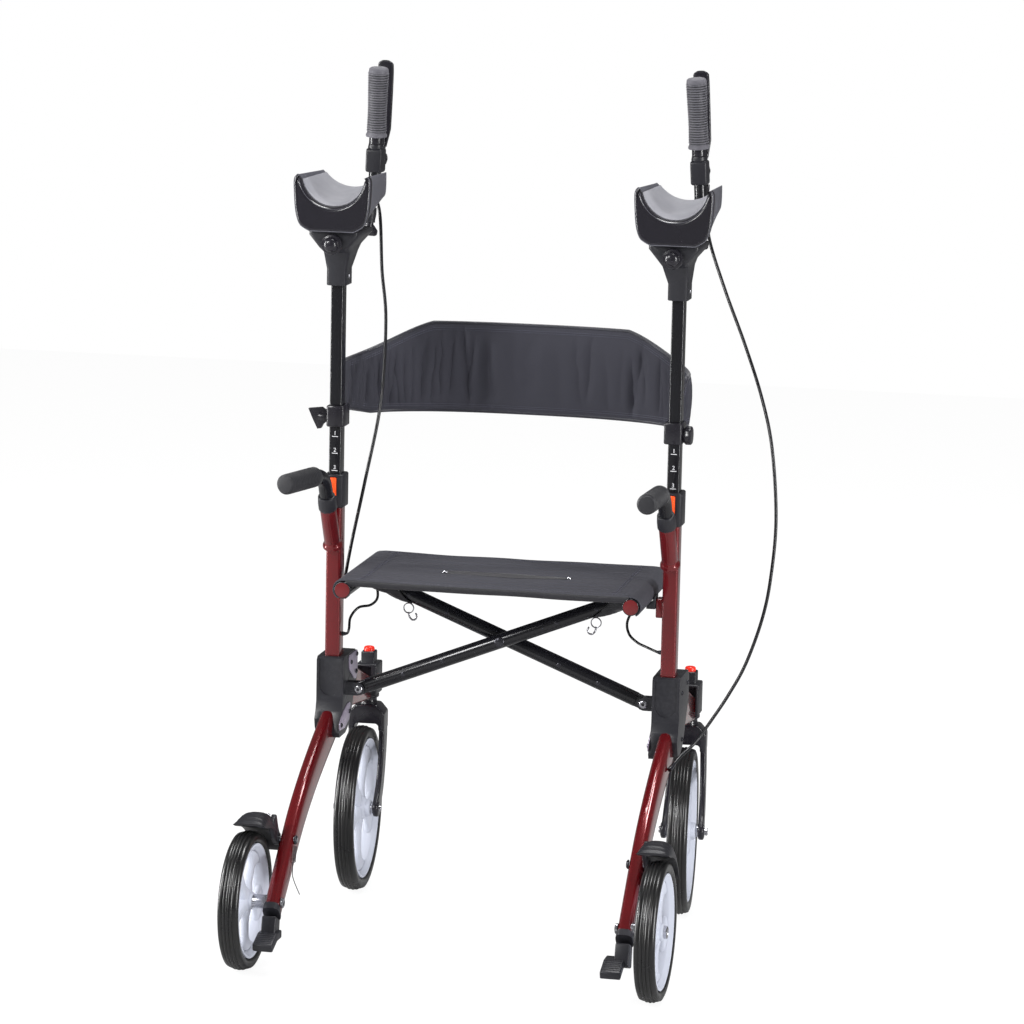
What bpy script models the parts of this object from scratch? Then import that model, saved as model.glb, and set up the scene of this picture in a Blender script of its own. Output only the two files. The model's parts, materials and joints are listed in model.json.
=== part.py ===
"""A folding upright rollator with forearm troughs, modelled in metres with +Z up.

x = 0 is the middle plane, +Y is the way it rolls, and the floor is z = 0. One side frame is modelled
around the plane of its posts (x = 0, outside at +x), then moved out to the right, and its mirror
image to the left. At the end the whole model is centred on the floor under its bounding box.
"""

import math

import bmesh
import bpy
from mathutils import Matrix, Vector

# Fits
GAP = 0.0003
WELD = 0.000002
BORE_PLAY = 0.0003

# Side frames and telescopic posts
POST_X = 0.254
TUBE_WIDTH = 0.0184
TUBE_DEPTH = 0.0236
TUBE_WALL = 0.0018
TUBE_Y = TUBE_DEPTH / 2
TUBE_BOTTOM = 0.500
TUBE_TOP = 1.000
POST_WALL = 0.0018
POST_RELIEF = 0.0003  # slimmer inside the collar and the block, so the bare stretch is a flat seat of its own
POST_BOTTOM = 0.338
POST_TOP = 0.634
POST_BORE_BOTTOM = 0.440
POST_CORNER = 0.004
POST_HALF_WIDTH = TUBE_WIDTH / 2 + GAP + POST_WALL
POST_HALF_DEPTH = TUBE_DEPTH / 2 + GAP + POST_WALL

# Height collar with its button
COLLAR_WALL = 0.0038
COLLAR_BELOW_POST_TOP = 0.012
COLLAR_HEIGHT = 0.050
COLLAR_HALF_WIDTH = POST_HALF_WIDTH + COLLAR_WALL
COLLAR_HALF_DEPTH = POST_HALF_DEPTH + 0.0058
COLLAR_BOTTOM = POST_TOP - COLLAR_BELOW_POST_TOP
COLLAR_TOP = COLLAR_BOTTOM + COLLAR_HEIGHT
HEIGHT_BUTTON_WIDTH = 0.010
HEIGHT_BUTTON_HEIGHT = 0.028
HEIGHT_BUTTON_THICKNESS = 0.0052
HEIGHT_BUTTON_PROUD = 0.0025
HEIGHT_BUTTON_TRAVEL = 0.003
HEIGHT_BUTTON_ABOVE_POST = 0.0055

# Rear branch and the handle for standing up
BRANCH_RADIUS = 0.012
BRANCH_WALL = 0.0015
BRANCH_FOOT = Vector((0.0, -0.002, 0.561))
BRANCH_HEAD = Vector((-0.001, -0.045, 0.637))
STAND_COLLAR_RADIUS = 0.0138
STAND_COLLAR_LENGTH = 0.024
STAND_TUBE_RADIUS = BRANCH_RADIUS - BRANCH_WALL - GAP
STAND_INSERT = 0.045
STAND_BEND_RADIUS = 0.038
STAND_GRIP_RADIUS = 0.015
STAND_GRIP_LENGTH = 0.088
STAND_GRIP_Y = -0.180
STAND_GRIP_Z = 0.6825
STAND_GRIP_OUT = {"left": 0.028, "right": -0.008}

# Scissor and seat
PIVOT_INSET = 0.040
PIVOT_Z = 0.347
SEAT_TUBE_Z = 0.518
SEAT_TUBE_RADIUS = 0.0125
SEAT_TUBE_REAR = -0.104
SEAT_TUBE_FRONT = 0.148
BAR_RADIUS = 0.011
BAR_REAR_Y = 0.014
BAR_SPACING = 0.024
PIVOT_PIN_RADIUS = 0.0037
CENTRE_BOLT_RADIUS = 0.005
TONGUE_RADIUS = 0.0095
TONGUE_THICKNESS = 0.012
TONGUE_REACH = 0.0125
EAR_THICKNESS = 0.004
SLEEVE_THICKNESS = 0.003
SLEEVE_RADIUS = SEAT_TUBE_RADIUS + GAP + SLEEVE_THICKNESS
SLEEVE_WRAP = math.radians(150)
SEAT_HEM = 0.003
SEAT_SAG = 0.002
SADDLE_WALL = 0.0029
SADDLE_LENGTH = 0.026
SADDLE_HEIGHT = 0.019
LUG_HEIGHT = 0.028
LUG_DEPTH = 0.024

# Joint block and the arm to the caster
BLOCK_HALF_WIDTH = 0.0205
BLOCK_TOP = 0.397
BLOCK_FRONT = 0.074
BLOCK_REAR = -0.012
BLOCK_POCKET_HALF = 0.0165
BLOCK_POCKET_DEPTH = 0.002
ARM_HALF_WIDTH = 0.010

# Casters
CASTER_X = -0.002
CASTER_Y = 0.228
CASTER_TRAIL = 0.073
CASTER_YAW = {"left": math.radians(3), "right": math.radians(5)}
FRONT_WHEEL_RADIUS = 0.127
FRONT_TYRE_WIDTH = 0.031
FRONT_TYRE_DEPTH = 0.020
FRONT_HUB_RADIUS = 0.018
FRONT_HUB_HALF = 0.020
FRONT_AXLE_RADIUS = 0.005
WHEEL_UNDER_CROWN = -0.007
CROWN_HEIGHT = 0.030
NECK_RADIUS = 0.013
NECK_LENGTH = 0.015
STEM_RADIUS = 0.008
STEM_LENGTH = 0.048
HEAD_HALF_WIDTH = 0.0165
HEAD_HEIGHT = 0.0495
HEAD_REAR = 0.208
HEAD_FRONT = 0.250
HEAD_CAP_HALF = 0.0105
HEAD_CAP_HEIGHT = 0.018
PRONG_CENTRE = 0.028
CROWN_PRONG_CENTRE = 0.0235
PRONG_THICKNESS = 0.0085
PRONG_HALF_WIDTH = 0.013
RELEASE_RADIUS = 0.0085
RELEASE_HEIGHT = 0.012
RELEASE_PROUD = 0.007
RELEASE_TRAVEL = 0.004

# Rear legs and wheels
LEG_X = 0.002
LEG_HALF_WIDTH = 0.0115
LEG_TOP_DEPTH = 0.053
LEG_END_DEPTH = 0.031
LEG_TAPER = 1.6
REAR_AXLE_Y = -0.315
REAR_WHEEL_X = 0.044
REAR_WHEEL_RADIUS = 0.100
REAR_TYRE_WIDTH = 0.030
REAR_TYRE_DEPTH = 0.018
REAR_HUB_RADIUS = 0.017
REAR_HUB_HALF = 0.012
REAR_AXLE_RADIUS = 0.006
AXLE_NUT_RADIUS = 0.0095
AXLE_NUT_LENGTH = 0.0055

# Brake and pedal
BRAKE_PIVOT_Y = -0.240
BRAKE_PIVOT_Z = 0.174
BRAKE_PIN_RADIUS = 0.004
BRAKE_ARM_THICKNESS = 0.008
BRAKE_GAP = 0.005
HOOD_THICKNESS = 0.021
HOOD_WIDTH = 0.047
PEDAL_SPAN = {"left": (-0.013, 0.016), "right": (-0.023, 0.006)}
PEDAL_THICKNESS = 0.012
PEDAL_COVER = 0.001

# Backrest
CLAMP_BOTTOM = 0.743
CLAMP_HEIGHT = 0.0315
CLAMP_INNER = -0.015
CLAMP_OUTER = 0.0125
CLAMP_REAR = 0.008
CLAMP_FRONT = 0.0316
KNOB_RADIUS = 0.014
KNOB_THICKNESS = 0.013
KNOB_STEM_RADIUS = 0.004
KNOB_STEM_LENGTH = 0.012
WING_THICKNESS = 0.007
BAND_HALF_SPAN = 0.260
BAND_START_Y = 0.060
BAND_REACH = 0.145
BAND_ROUNDNESS = 2.6
BAND_TOP = 0.880
BAND_BOTTOM = 0.747
BAND_FLAT_HALF = 0.150
BAND_END_TOP = 0.832
BAND_END_BOTTOM = 0.762
BAND_TAB_TOP = 0.797
BAND_TAB_BOTTOM = 0.757
BAND_TAB_SHARE = 0.12
BAND_CROWN = 0.016
BAND_EDGE = 0.006

# Forearm trough and its bracket
TROUGH_X = -0.0025
NECK_INSERT = 0.047
BRACKET_HEIGHT = 0.0827
BRACKET_NECK_HALF = 0.015
BRACKET_NECK_REAR = -0.008
BRACKET_NECK_FRONT = 0.035
FLANGE_HALF = 0.037
FLANGE_REAR = -0.038
FLANGE_FRONT = 0.060
TROUGH_REAR = -0.050
TROUGH_LENGTH = 0.138
TROUGH_HALF_WIDTH = 0.049
TROUGH_NARROWING = 0.0055
TROUGH_REAR_FLOOR = 0.033
TROUGH_FRONT_FLOOR = 0.0535
TROUGH_RIM_HEIGHT = 0.074
TROUGH_SKIRT = 0.033
TROUGH_LIP = 0.008
TROUGH_WALL = 0.005
KEEL_HALF = 0.017
TROUGH_KNOB_RADIUS = 0.015
TROUGH_KNOB_DROP = 0.018

# Handle rod, grip and lever
ROD_RADIUS = 0.0095
ROD_ABOVE_TROUGH_BOTTOM = 0.016
ROD_REAR = 0.010
ROD_BEND_Y = 0.173
ROD_BEND_RADIUS = 0.035
ROD_BEND_ANGLE = math.radians(96.5)
ROD_TILT = math.radians(2.8)
HOUSING_START = 0.012
HOUSING_LENGTH = 0.037
HOUSING_HALF_WIDTH = 0.0125
GRIP_START = 0.067
GRIP_LENGTH = 0.105
GRIP_RADIUS = 0.015
LEVER_PIVOT_OUT = 0.033
LEVER_WIDTH = 0.024
LEVER_ROOT = 0.010
LEVER_PIN_RADIUS = 0.003
LEVER_CHEEK = 0.004

# Cables
BRAKE_CABLE_RADIUS = 0.0025
LOCK_CABLE_RADIUS = 0.002

# Facets
WHEEL_STEPS = 24
HUB_STEPS = 12
KNOB_STEPS = 12
TUBE_STEPS = 10
LEG_STEPS = 12
TROUGH_STEPS = 10
TROUGH_STATIONS = 3

# Sizes worked out from those above
PIVOT_X = POST_X - PIVOT_INSET
BAR_FRONT_Y = BAR_REAR_Y + BAR_SPACING
CROSSING_Z = (PIVOT_Z + SEAT_TUBE_Z) / 2
CROWN_BOTTOM = 2 * FRONT_WHEEL_RADIUS + WHEEL_UNDER_CROWN
CROWN_TOP = CROWN_BOTTOM + CROWN_HEIGHT
HEAD_BOTTOM = CROWN_TOP + NECK_LENGTH
HEAD_TOP = HEAD_BOTTOM + HEAD_HEIGHT
CAP_TOP = HEAD_TOP + HEAD_CAP_HEIGHT
FRONT_AXLE = Vector((CASTER_X, CASTER_Y - CASTER_TRAIL, FRONT_WHEEL_RADIUS))
REAR_AXLE = Vector((REAR_WHEEL_X, REAR_AXLE_Y, REAR_WHEEL_RADIUS))
BRACKET_BOTTOM = TUBE_TOP - NECK_INSERT
BRACKET_TOP = BRACKET_BOTTOM + BRACKET_HEIGHT
TROUGH_BOTTOM = BRACKET_TOP + GAP
ROD_Z = TROUGH_BOTTOM + ROD_ABOVE_TROUGH_BOTTOM
TROUGH_KNOB_Z = BRACKET_TOP - TROUGH_KNOB_DROP
LEG_OUTER = LEG_X + LEG_HALF_WIDTH

PLANES = {
    "X": Matrix(((0, 0, 1), (1, 0, 0), (0, 1, 0))).to_4x4(),
    "Y": Matrix(((1, 0, 0), (0, 0, -1), (0, 1, 0))).to_4x4(),
    "Z": Matrix.Identity(4),
}
AXES = {"X": Vector((1, 0, 0)), "Y": Vector((0, 1, 0)), "Z": Vector((0, 0, 1))}

RED = ((0.17, 0.012, 0.02), 0.28, 0.55)
BLACK_METAL = ((0.018, 0.018, 0.022), 0.35, 0.4)
BLACK_PLASTIC = ((0.032, 0.032, 0.038), 0.55, 0.0)
GREY_FOAM = ((0.11, 0.11, 0.13), 0.85, 0.0)
SILVER = ((0.48, 0.50, 0.58), 0.35, 0.7)
TYRE_BLACK = ((0.012, 0.012, 0.014), 0.5, 0.0)
SIGNAL_RED = ((0.9, 0.03, 0.015), 0.4, 0.0)
SIGNAL_ORANGE = ((1.0, 0.10, 0.02), 0.4, 0.0)
SEAT_CLOTH = ((0.045, 0.043, 0.055), 0.8, 0.0)
BAND_CLOTH = ((0.03, 0.03, 0.045), 0.5, 0.0)
CABLE_BLACK = ((0.01, 0.01, 0.012), 0.45, 0.0)


def clear_scene():
    for item in list(bpy.data.objects):
        bpy.data.objects.remove(item)


def parts_collection():
    collection = bpy.data.collections.new("rollator")
    bpy.context.scene.collection.children.link(collection)
    return collection


clear_scene()
PARTS = parts_collection()


# Outlines

def rounded(points, radius, steps=3):
    """A closed outline with each corner replaced by an arc, smaller where an edge is short."""
    outline = []
    for index, corner in enumerate(points):
        here = Vector(corner)
        back = Vector(points[index - 1]) - here
        ahead = Vector(points[(index + 1) % len(points)]) - here
        half = back.angle(ahead) / 2
        reach = min(radius / math.tan(half), 0.45 * back.length, 0.45 * ahead.length)
        arc_radius = reach * math.tan(half)
        centre = here + (back.normalized() + ahead.normalized()).normalized() * (arc_radius / math.sin(half))
        first = here + back.normalized() * reach - centre
        last = here + ahead.normalized() * reach - centre
        start = math.atan2(first.y, first.x)
        sweep = math.remainder(math.atan2(last.y, last.x) - start, math.tau)
        for step in range(steps + 1):
            angle = start + sweep * step / steps
            outline.append((centre.x + arc_radius * math.cos(angle), centre.y + arc_radius * math.sin(angle)))
    return outline


def rectangle(left, right, low, high, radius=0.0, steps=2):
    corners = [(left, low), (right, low), (right, high), (left, high)]
    return rounded(corners, radius, steps) if radius else corners


def tube_rectangle(half_width, half_depth, radius):
    """A rounded section around the axis of the telescopic tube."""
    return rectangle(-half_width, half_width, TUBE_Y - half_depth, TUBE_Y + half_depth, radius)


def grown(points, distance):
    """A counter-clockwise outline with each edge moved out by a distance."""
    outline = []
    for index, corner in enumerate(points):
        here = Vector(corner)
        into = (here - Vector(points[index - 1])).normalized()
        out_of = (Vector(points[(index + 1) % len(points)]) - here).normalized()
        normal = (Vector((into.y, -into.x)) + Vector((out_of.y, -out_of.x))).normalized()
        outline.append(tuple(here + normal * (distance / normal.dot(Vector((into.y, -into.x))))))
    return outline


def strip(centreline, half_widths):
    """The outline of a flat band along a centreline, one half width for each point."""
    left = []
    right = []
    for index, point in enumerate(centreline):
        here = Vector(point)
        before = Vector(centreline[max(index - 1, 0)])
        after = Vector(centreline[min(index + 1, len(centreline) - 1)])
        along = (after - before).normalized()
        side = Vector((along.y, -along.x)) * half_widths[index]
        right.append(tuple(here + side))
        left.append(tuple(here - side))
    return right + left[::-1]


def arc(centre, radius, start, end, steps):
    return [
        (
            centre[0] + radius * math.cos(start + (end - start) * step / steps),
            centre[1] + radius * math.sin(start + (end - start) * step / steps),
        )
        for step in range(steps + 1)
    ]


# Solids

def solid(source):
    """The object's evaluated shape as a welded mesh object, placed where the source stood."""
    if source.name not in PARTS.objects:
        PARTS.objects.link(source)
    bpy.context.view_layer.update()
    graph = bpy.context.evaluated_depsgraph_get()
    mesh = bpy.data.meshes.new_from_object(source.evaluated_get(graph))
    mesh.transform(source.matrix_world)
    shape = bmesh.new()
    shape.from_mesh(mesh)
    bmesh.ops.remove_doubles(shape, verts=shape.verts, dist=WELD)
    bmesh.ops.recalc_face_normals(shape, faces=shape.faces)
    shape.to_mesh(mesh)
    shape.free()
    bpy.data.objects.remove(source)
    result = bpy.data.objects.new("solid", mesh)
    PARTS.objects.link(result)
    return result


def mesh_object(shape):
    mesh = bpy.data.meshes.new("shape")
    shape.to_mesh(mesh)
    shape.free()
    result = bpy.data.objects.new("shape", mesh)
    PARTS.objects.link(result)
    return result


def box(x, y, z):
    """A box between a low and a high value on each axis."""
    shape = bmesh.new()
    bmesh.ops.create_cube(shape, size=1.0)
    size = Vector((x[1] - x[0], y[1] - y[0], z[1] - z[0]))
    middle = Vector((x[0] + x[1], y[0] + y[1], z[0] + z[1])) / 2
    shape.transform(Matrix.Translation(middle) @ Matrix.Diagonal(size).to_4x4())
    return mesh_object(shape)


def cylinder(start, end, radius, steps=TUBE_STEPS):
    """A round bar from one point to another."""
    start = Vector(start)
    along = Vector(end) - start
    shape = bmesh.new()
    bmesh.ops.create_cone(
        shape, cap_ends=True, segments=steps, radius1=radius, radius2=radius, depth=along.length
    )
    turn = along.to_track_quat("Z", "Y").to_matrix().to_4x4()
    shape.transform(Matrix.Translation(start + along / 2) @ turn)
    return mesh_object(shape)


def bore(start, end, radius, steps=TUBE_STEPS):
    """A cutter for a hole whose flats clear a round bar of the given radius."""
    return cylinder(start, end, (radius + BORE_PLAY) / math.cos(math.pi / steps), steps)


def plate(outline, axis, low, high):
    """A flat outline, drawn in the plane across the axis, filled from low to high along it."""
    curve = bpy.data.curves.new("outline", "CURVE")
    curve.dimensions = "2D"
    curve.fill_mode = "BOTH"
    curve.extrude = (high - low) / 2
    spline = curve.splines.new("POLY")
    spline.points.add(len(outline) - 1)
    for point, (across, up) in zip(spline.points, outline):
        point.co = (across, up, 0, 1)
    spline.use_cyclic_u = True
    sheet = bpy.data.objects.new("outline", curve)
    sheet.matrix_world = Matrix.Translation(AXES[axis] * (low + high) / 2) @ PLANES[axis]
    return solid(sheet)


def pipe(points, radius, resolution):
    """A round bar along a route."""
    curve = bpy.data.curves.new("route", "CURVE")
    curve.dimensions = "3D"
    curve.bevel_depth = radius
    curve.bevel_resolution = resolution
    curve.use_fill_caps = True
    spline = curve.splines.new("POLY")
    spline.points.add(len(points) - 1)
    for point, place in zip(spline.points, points):
        point.co = (*place, 1)
    return solid(bpy.data.objects.new("route", curve))


def turned(profile, base, direction, steps, ring=False):
    """A profile of (radius, height) turned around a direction; it runs top to bottom outside."""
    count = len(profile)
    edges = [(index, index + 1) for index in range(count - 1)]
    if ring:
        edges.append((count - 1, 0))
    mesh = bpy.data.meshes.new("profile")
    mesh.from_pydata([(radius, 0, height) for radius, height in profile], edges, [])
    blank = bpy.data.objects.new("profile", mesh)
    screw = blank.modifiers.new("turn", "SCREW")
    screw.steps = steps
    screw.render_steps = steps
    screw.use_merge_vertices = True
    screw.merge_threshold = 0.00001
    half_step = Matrix.Rotation(math.pi / steps, 4, "Z")
    turn = Vector(direction).to_track_quat("Z", "Y").to_matrix().to_4x4()
    blank.matrix_world = Matrix.Translation(Vector(base)) @ turn @ half_step
    return solid(blank)


def loft(rings):
    """A closed skin over rings of equally many points."""
    shape = bmesh.new()
    rows = [[shape.verts.new(point) for point in ring] for ring in rings]
    count = len(rows[0])
    for low, high in zip(rows, rows[1:]):
        for index in range(count):
            after = (index + 1) % count
            shape.faces.new((low[index], low[after], high[after], high[index]))
    shape.faces.new(rows[0][::-1])
    shape.faces.new(rows[-1])
    bmesh.ops.recalc_face_normals(shape, faces=shape.faces)
    return mesh_object(shape)


def combine(operation, target, *others):
    for other in others:
        modifier = target.modifiers.new("combine", "BOOLEAN")
        modifier.operation = operation
        modifier.object = other
    result = solid(target)
    for other in others:
        bpy.data.objects.remove(other)
    return result


def joined(target, *others):
    return combine("UNION", target, *others)


def cut(target, *others):
    return combine("DIFFERENCE", target, *others)


def softened(target, width, segments=2, angle=40):
    bevel = target.modifiers.new("soften", "BEVEL")
    bevel.width = width
    bevel.segments = segments
    bevel.limit_method = "ANGLE"
    bevel.angle_limit = math.radians(angle)
    return solid(target)


def moved(target, matrix):
    target.data.transform(matrix)
    return target


def mirrored(source):
    """A mirror image across the plane x = 0."""
    shape = bmesh.new()
    shape.from_mesh(source.data)
    shape.transform(Matrix.Scale(-1, 4, (1, 0, 0)))
    bmesh.ops.reverse_faces(shape, faces=shape.faces)
    return mesh_object(shape)


def copied(source):
    result = bpy.data.objects.new("copy", source.data.copy())
    PARTS.objects.link(result)
    return result


def paint(target, finish):
    colour, roughness, metallic = finish
    material = bpy.data.materials.new(target.name)
    material.use_nodes = True
    shader = material.node_tree.nodes["Principled BSDF"]
    shader.inputs["Base Color"].default_value = (*colour, 1.0)
    shader.inputs["Roughness"].default_value = roughness
    shader.inputs["Metallic"].default_value = metallic
    target.data.materials.clear()
    target.data.materials.append(material)


def finish_part(target, name, pivot, look):
    """Name a piece, put its origin on its pivot, and give it its material and shading."""
    pivot = Vector(pivot)
    target.data.transform(Matrix.Translation(-pivot))
    target.location = pivot
    target.name = name
    target.data.name = name
    paint(target, look)
    target.data.shade_smooth()
    target.data.set_sharp_from_angle(angle=math.radians(35))


def place_pair(name, piece, pivot, look):
    """Put a piece modelled around the post plane on the right, and its mirror image on the left."""
    moved(piece, Matrix.Translation((POST_X, 0, 0)))
    pivot = Vector(pivot) + Vector((POST_X, 0, 0))
    twin = mirrored(piece)
    finish_part(piece, name + "_right", pivot, look)
    finish_part(twin, name + "_left", (-pivot.x, pivot.y, pivot.z), look)


def place_one(name, side, piece, pivot, look):
    """Put a piece modelled around the post plane on one side only."""
    moved(piece, Matrix.Translation((POST_X, 0, 0)))
    pivot = Vector(pivot) + Vector((POST_X, 0, 0))
    if side == "left":
        twin = mirrored(piece)
        bpy.data.objects.remove(piece)
        piece = twin
        pivot.x = -pivot.x
    finish_part(piece, name + "_" + side, pivot, look)


# Lower frame

def arm_outline():
    """The arm from the post to the caster head, seen from the side."""
    return [
        (0.005, POST_BOTTOM + 0.001),
        (0.038, POST_BOTTOM + 0.001),
        (0.062, 0.305),
        (HEAD_REAR + 0.008, HEAD_BOTTOM + 0.008),
        (HEAD_REAR + 0.008, HEAD_TOP - 0.006),
        (0.060, 0.378),
        (0.005, 0.385),
    ]


def post_envelope(bottom, top, play=0.0):
    section = tube_rectangle(POST_HALF_WIDTH + play, POST_HALF_DEPTH + play, POST_CORNER + play)
    return plate(section, "Z", bottom, top)


def tube_envelope(bottom, top, play=0.0):
    section = tube_rectangle(TUBE_WIDTH / 2 + play, TUBE_DEPTH / 2 + play, POST_CORNER - POST_WALL + play)
    return plate(section, "Z", bottom, top)


def branch_direction():
    return (BRANCH_HEAD - BRANCH_FOOT).normalized()


def branch_top():
    return BRANCH_HEAD - branch_direction() * STAND_COLLAR_LENGTH / 2


def make_frame_post():
    lug_inner = -PIVOT_INSET + SLEEVE_RADIUS + GAP + SADDLE_WALL + GAP
    lug_bottom = SEAT_TUBE_Z - SLEEVE_RADIUS - LUG_HEIGHT * 0.65
    lug = box((lug_inner, -POST_HALF_WIDTH + 0.001), (0, LUG_DEPTH), (lug_bottom, lug_bottom + LUG_HEIGHT))
    top = branch_top()
    along = branch_direction()
    frame = joined(
        post_envelope(POST_BOTTOM, POST_TOP, -POST_RELIEF),
        post_envelope(BLOCK_TOP + 2 * GAP, COLLAR_BOTTOM - 2 * GAP),
        plate(rounded(arm_outline(), 0.006, 1), "X", -ARM_HALF_WIDTH, ARM_HALF_WIDTH),
        cylinder(BRANCH_FOOT + along * 0.004, top, BRANCH_RADIUS),
        softened(lug, 0.002),
    )
    frame = cut(
        frame,
        tube_envelope(POST_BORE_BOTTOM, POST_TOP + 0.01, GAP),
        bore(top - along * (STAND_INSERT + 0.002), top + along * 0.01, STAND_TUBE_RADIUS),
    )
    place_pair("frame_post", frame, (0, TUBE_Y, POST_BOTTOM), RED)


def make_seat_saddle():
    """A cradle below the seat tube, open at the top so that the tube lifts out as the frame folds."""
    outer = -PIVOT_INSET + SLEEVE_RADIUS + GAP + SADDLE_WALL
    top = SEAT_TUBE_Z - 0.002
    block = box((-PIVOT_INSET + 0.0055, outer), (-0.001, -0.001 + SADDLE_LENGTH), (top - SADDLE_HEIGHT, top))
    seat = cylinder(
        (-PIVOT_INSET, -0.01, SEAT_TUBE_Z), (-PIVOT_INSET, 0.04, SEAT_TUBE_Z), SLEEVE_RADIUS + 3 * GAP, 28
    )
    place_pair("seat_saddle", cut(block, seat), (outer, TUBE_Y, top - SADDLE_HEIGHT), BLACK_PLASTIC)


def block_outline():
    return [
        (BLOCK_REAR, BLOCK_TOP),
        (BLOCK_REAR, 0.330),
        (-0.016, 0.316),
        (-0.026, 0.299),
        (-0.038, 0.279),
        (0.007, 0.279),
        (0.027, 0.287),
        (0.042, 0.304),
        (0.054, 0.324),
        (BLOCK_FRONT, 0.350),
        (BLOCK_FRONT, BLOCK_TOP - 0.010),
        (BLOCK_FRONT - 0.012, BLOCK_TOP),
    ]


def leg_centreline():
    end_z = REAR_WHEEL_RADIUS - 0.009
    return [
        (0.022, 0.302),
        (-0.008, 0.291),
        (-0.070, 0.264),
        (-0.130, 0.234),
        (-0.186, 0.200),
        (-0.235, end_z + 0.071),
        (-0.283, end_z + 0.030),
        (REAR_AXLE_Y - 0.010, end_z - 0.006),
    ]


def leg_skin(play=0.0):
    """The oval, tapering rear leg; play makes it larger all round."""
    line = leg_centreline()
    last = len(line) - 1
    rings = []
    for index, point in enumerate(line):
        before = Vector(line[max(index - 1, 0)])
        after = Vector(line[min(index + 1, last)])
        along = (after - before).normalized()
        across = Vector((-along.y, along.x))
        here = Vector(point)
        if play and index == 0:
            here = here - along * 2 * play
        taper = (index / last) ** LEG_TAPER
        half_depth = (LEG_TOP_DEPTH + (LEG_END_DEPTH - LEG_TOP_DEPTH) * taper) / 2 + play
        ring = []
        for step in range(LEG_STEPS):
            angle = math.tau * step / LEG_STEPS
            flat = 2 / 2.7
            side = math.copysign(abs(math.cos(angle)) ** flat, math.cos(angle)) * (LEG_HALF_WIDTH + play)
            deep = math.copysign(abs(math.sin(angle)) ** flat, math.sin(angle)) * half_depth
            centre = here + across * deep
            ring.append((LEG_X + side, centre.x, centre.y))
        rings.append(ring)
    return loft(rings)


def make_joint_block(side):
    bar_y = BAR_REAR_Y if side == "left" else BAR_FRONT_Y
    shell = plate(rounded(block_outline(), 0.005, 1), "X", -BLOCK_HALF_WIDTH, BLOCK_HALF_WIDTH)
    short_tip = [(-0.045, 0.307), (-0.0235, 0.307), (-0.0195, 0.2915), (-0.005, 0.270), (-0.045, 0.270)]
    shell = softened(cut(shell, plate(short_tip, "X", 0.005, BLOCK_HALF_WIDTH + 0.01)), 0.003, 1, 50)
    ears = []
    ear_gap = TONGUE_THICKNESS / 2 + GAP
    ear_outline = [(-BLOCK_HALF_WIDTH + 0.002, PIVOT_Z - TONGUE_RADIUS)]
    ear_outline.append((-BLOCK_HALF_WIDTH + 0.002, PIVOT_Z + TONGUE_RADIUS))
    ear_outline += arc((-PIVOT_INSET, PIVOT_Z), TONGUE_RADIUS, math.pi / 2, 3 * math.pi / 2, 5)
    for direction in (-1, 1):
        near = bar_y + direction * ear_gap
        far = near + direction * EAR_THICKNESS
        ears.append(plate(ear_outline, "Y", min(near, far), max(near, far)))
    reach = ear_gap + EAR_THICKNESS
    pin = cylinder(
        (-PIVOT_INSET, bar_y - reach - 0.0015, PIVOT_Z),
        (-PIVOT_INSET, bar_y + reach + 0.0015, PIVOT_Z),
        PIVOT_PIN_RADIUS,
        12,
    )
    shell = joined(shell, *ears, pin)
    pocket = [(-BLOCK_POCKET_HALF, BLOCK_TOP + 0.01)]
    pocket += arc((0, POST_BOTTOM + BLOCK_POCKET_HALF), BLOCK_POCKET_HALF, math.pi, math.tau, 6)
    pocket.append((BLOCK_POCKET_HALF, BLOCK_TOP + 0.01))
    shell = cut(
        shell,
        post_envelope(POST_BOTTOM - GAP, BLOCK_TOP + 0.02, GAP),
        plate(grown(rounded(arm_outline(), 0.006, 1), GAP), "X", -ARM_HALF_WIDTH - GAP, ARM_HALF_WIDTH + GAP),
        leg_skin(GAP),
        plate(pocket, "Y", BLOCK_REAR - 0.01, BLOCK_REAR + BLOCK_POCKET_DEPTH),
    )
    place_one("joint_block", side, shell, (0, TUBE_Y, BLOCK_TOP), BLACK_PLASTIC)


# Casters

def make_caster_head():
    head = box(
        (CASTER_X - HEAD_HALF_WIDTH, CASTER_X + HEAD_HALF_WIDTH),
        (HEAD_REAR, HEAD_FRONT),
        (HEAD_BOTTOM, HEAD_TOP),
    )
    cap = softened(
        box(
            (CASTER_X - HEAD_CAP_HALF, CASTER_X + HEAD_CAP_HALF),
            (CASTER_Y - HEAD_CAP_HALF - 0.001, CASTER_Y + HEAD_CAP_HALF + 0.001),
            (HEAD_TOP - 0.01, CAP_TOP),
        ),
        0.0012,
        1,
    )
    head = cut(
        joined(softened(head, 0.002), cap),
        plate(grown(rounded(arm_outline(), 0.006, 1), GAP), "X", -ARM_HALF_WIDTH - GAP, ARM_HALF_WIDTH + GAP),
        bore((CASTER_X, CASTER_Y, HEAD_BOTTOM - 0.01), (CASTER_X, CASTER_Y, stem_top() + GAP), STEM_RADIUS),
        bore(
            (CASTER_X, CASTER_Y, release_bottom() - RELEASE_TRAVEL - GAP),
            (CASTER_X, CASTER_Y, CAP_TOP + 0.01),
            RELEASE_RADIUS,
        ),
    )
    place_pair("caster_head", head, (CASTER_X, CASTER_Y, HEAD_BOTTOM), BLACK_PLASTIC)


def stem_top():
    return HEAD_BOTTOM + STEM_LENGTH


def release_bottom():
    return CAP_TOP + RELEASE_PROUD - RELEASE_HEIGHT


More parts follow.
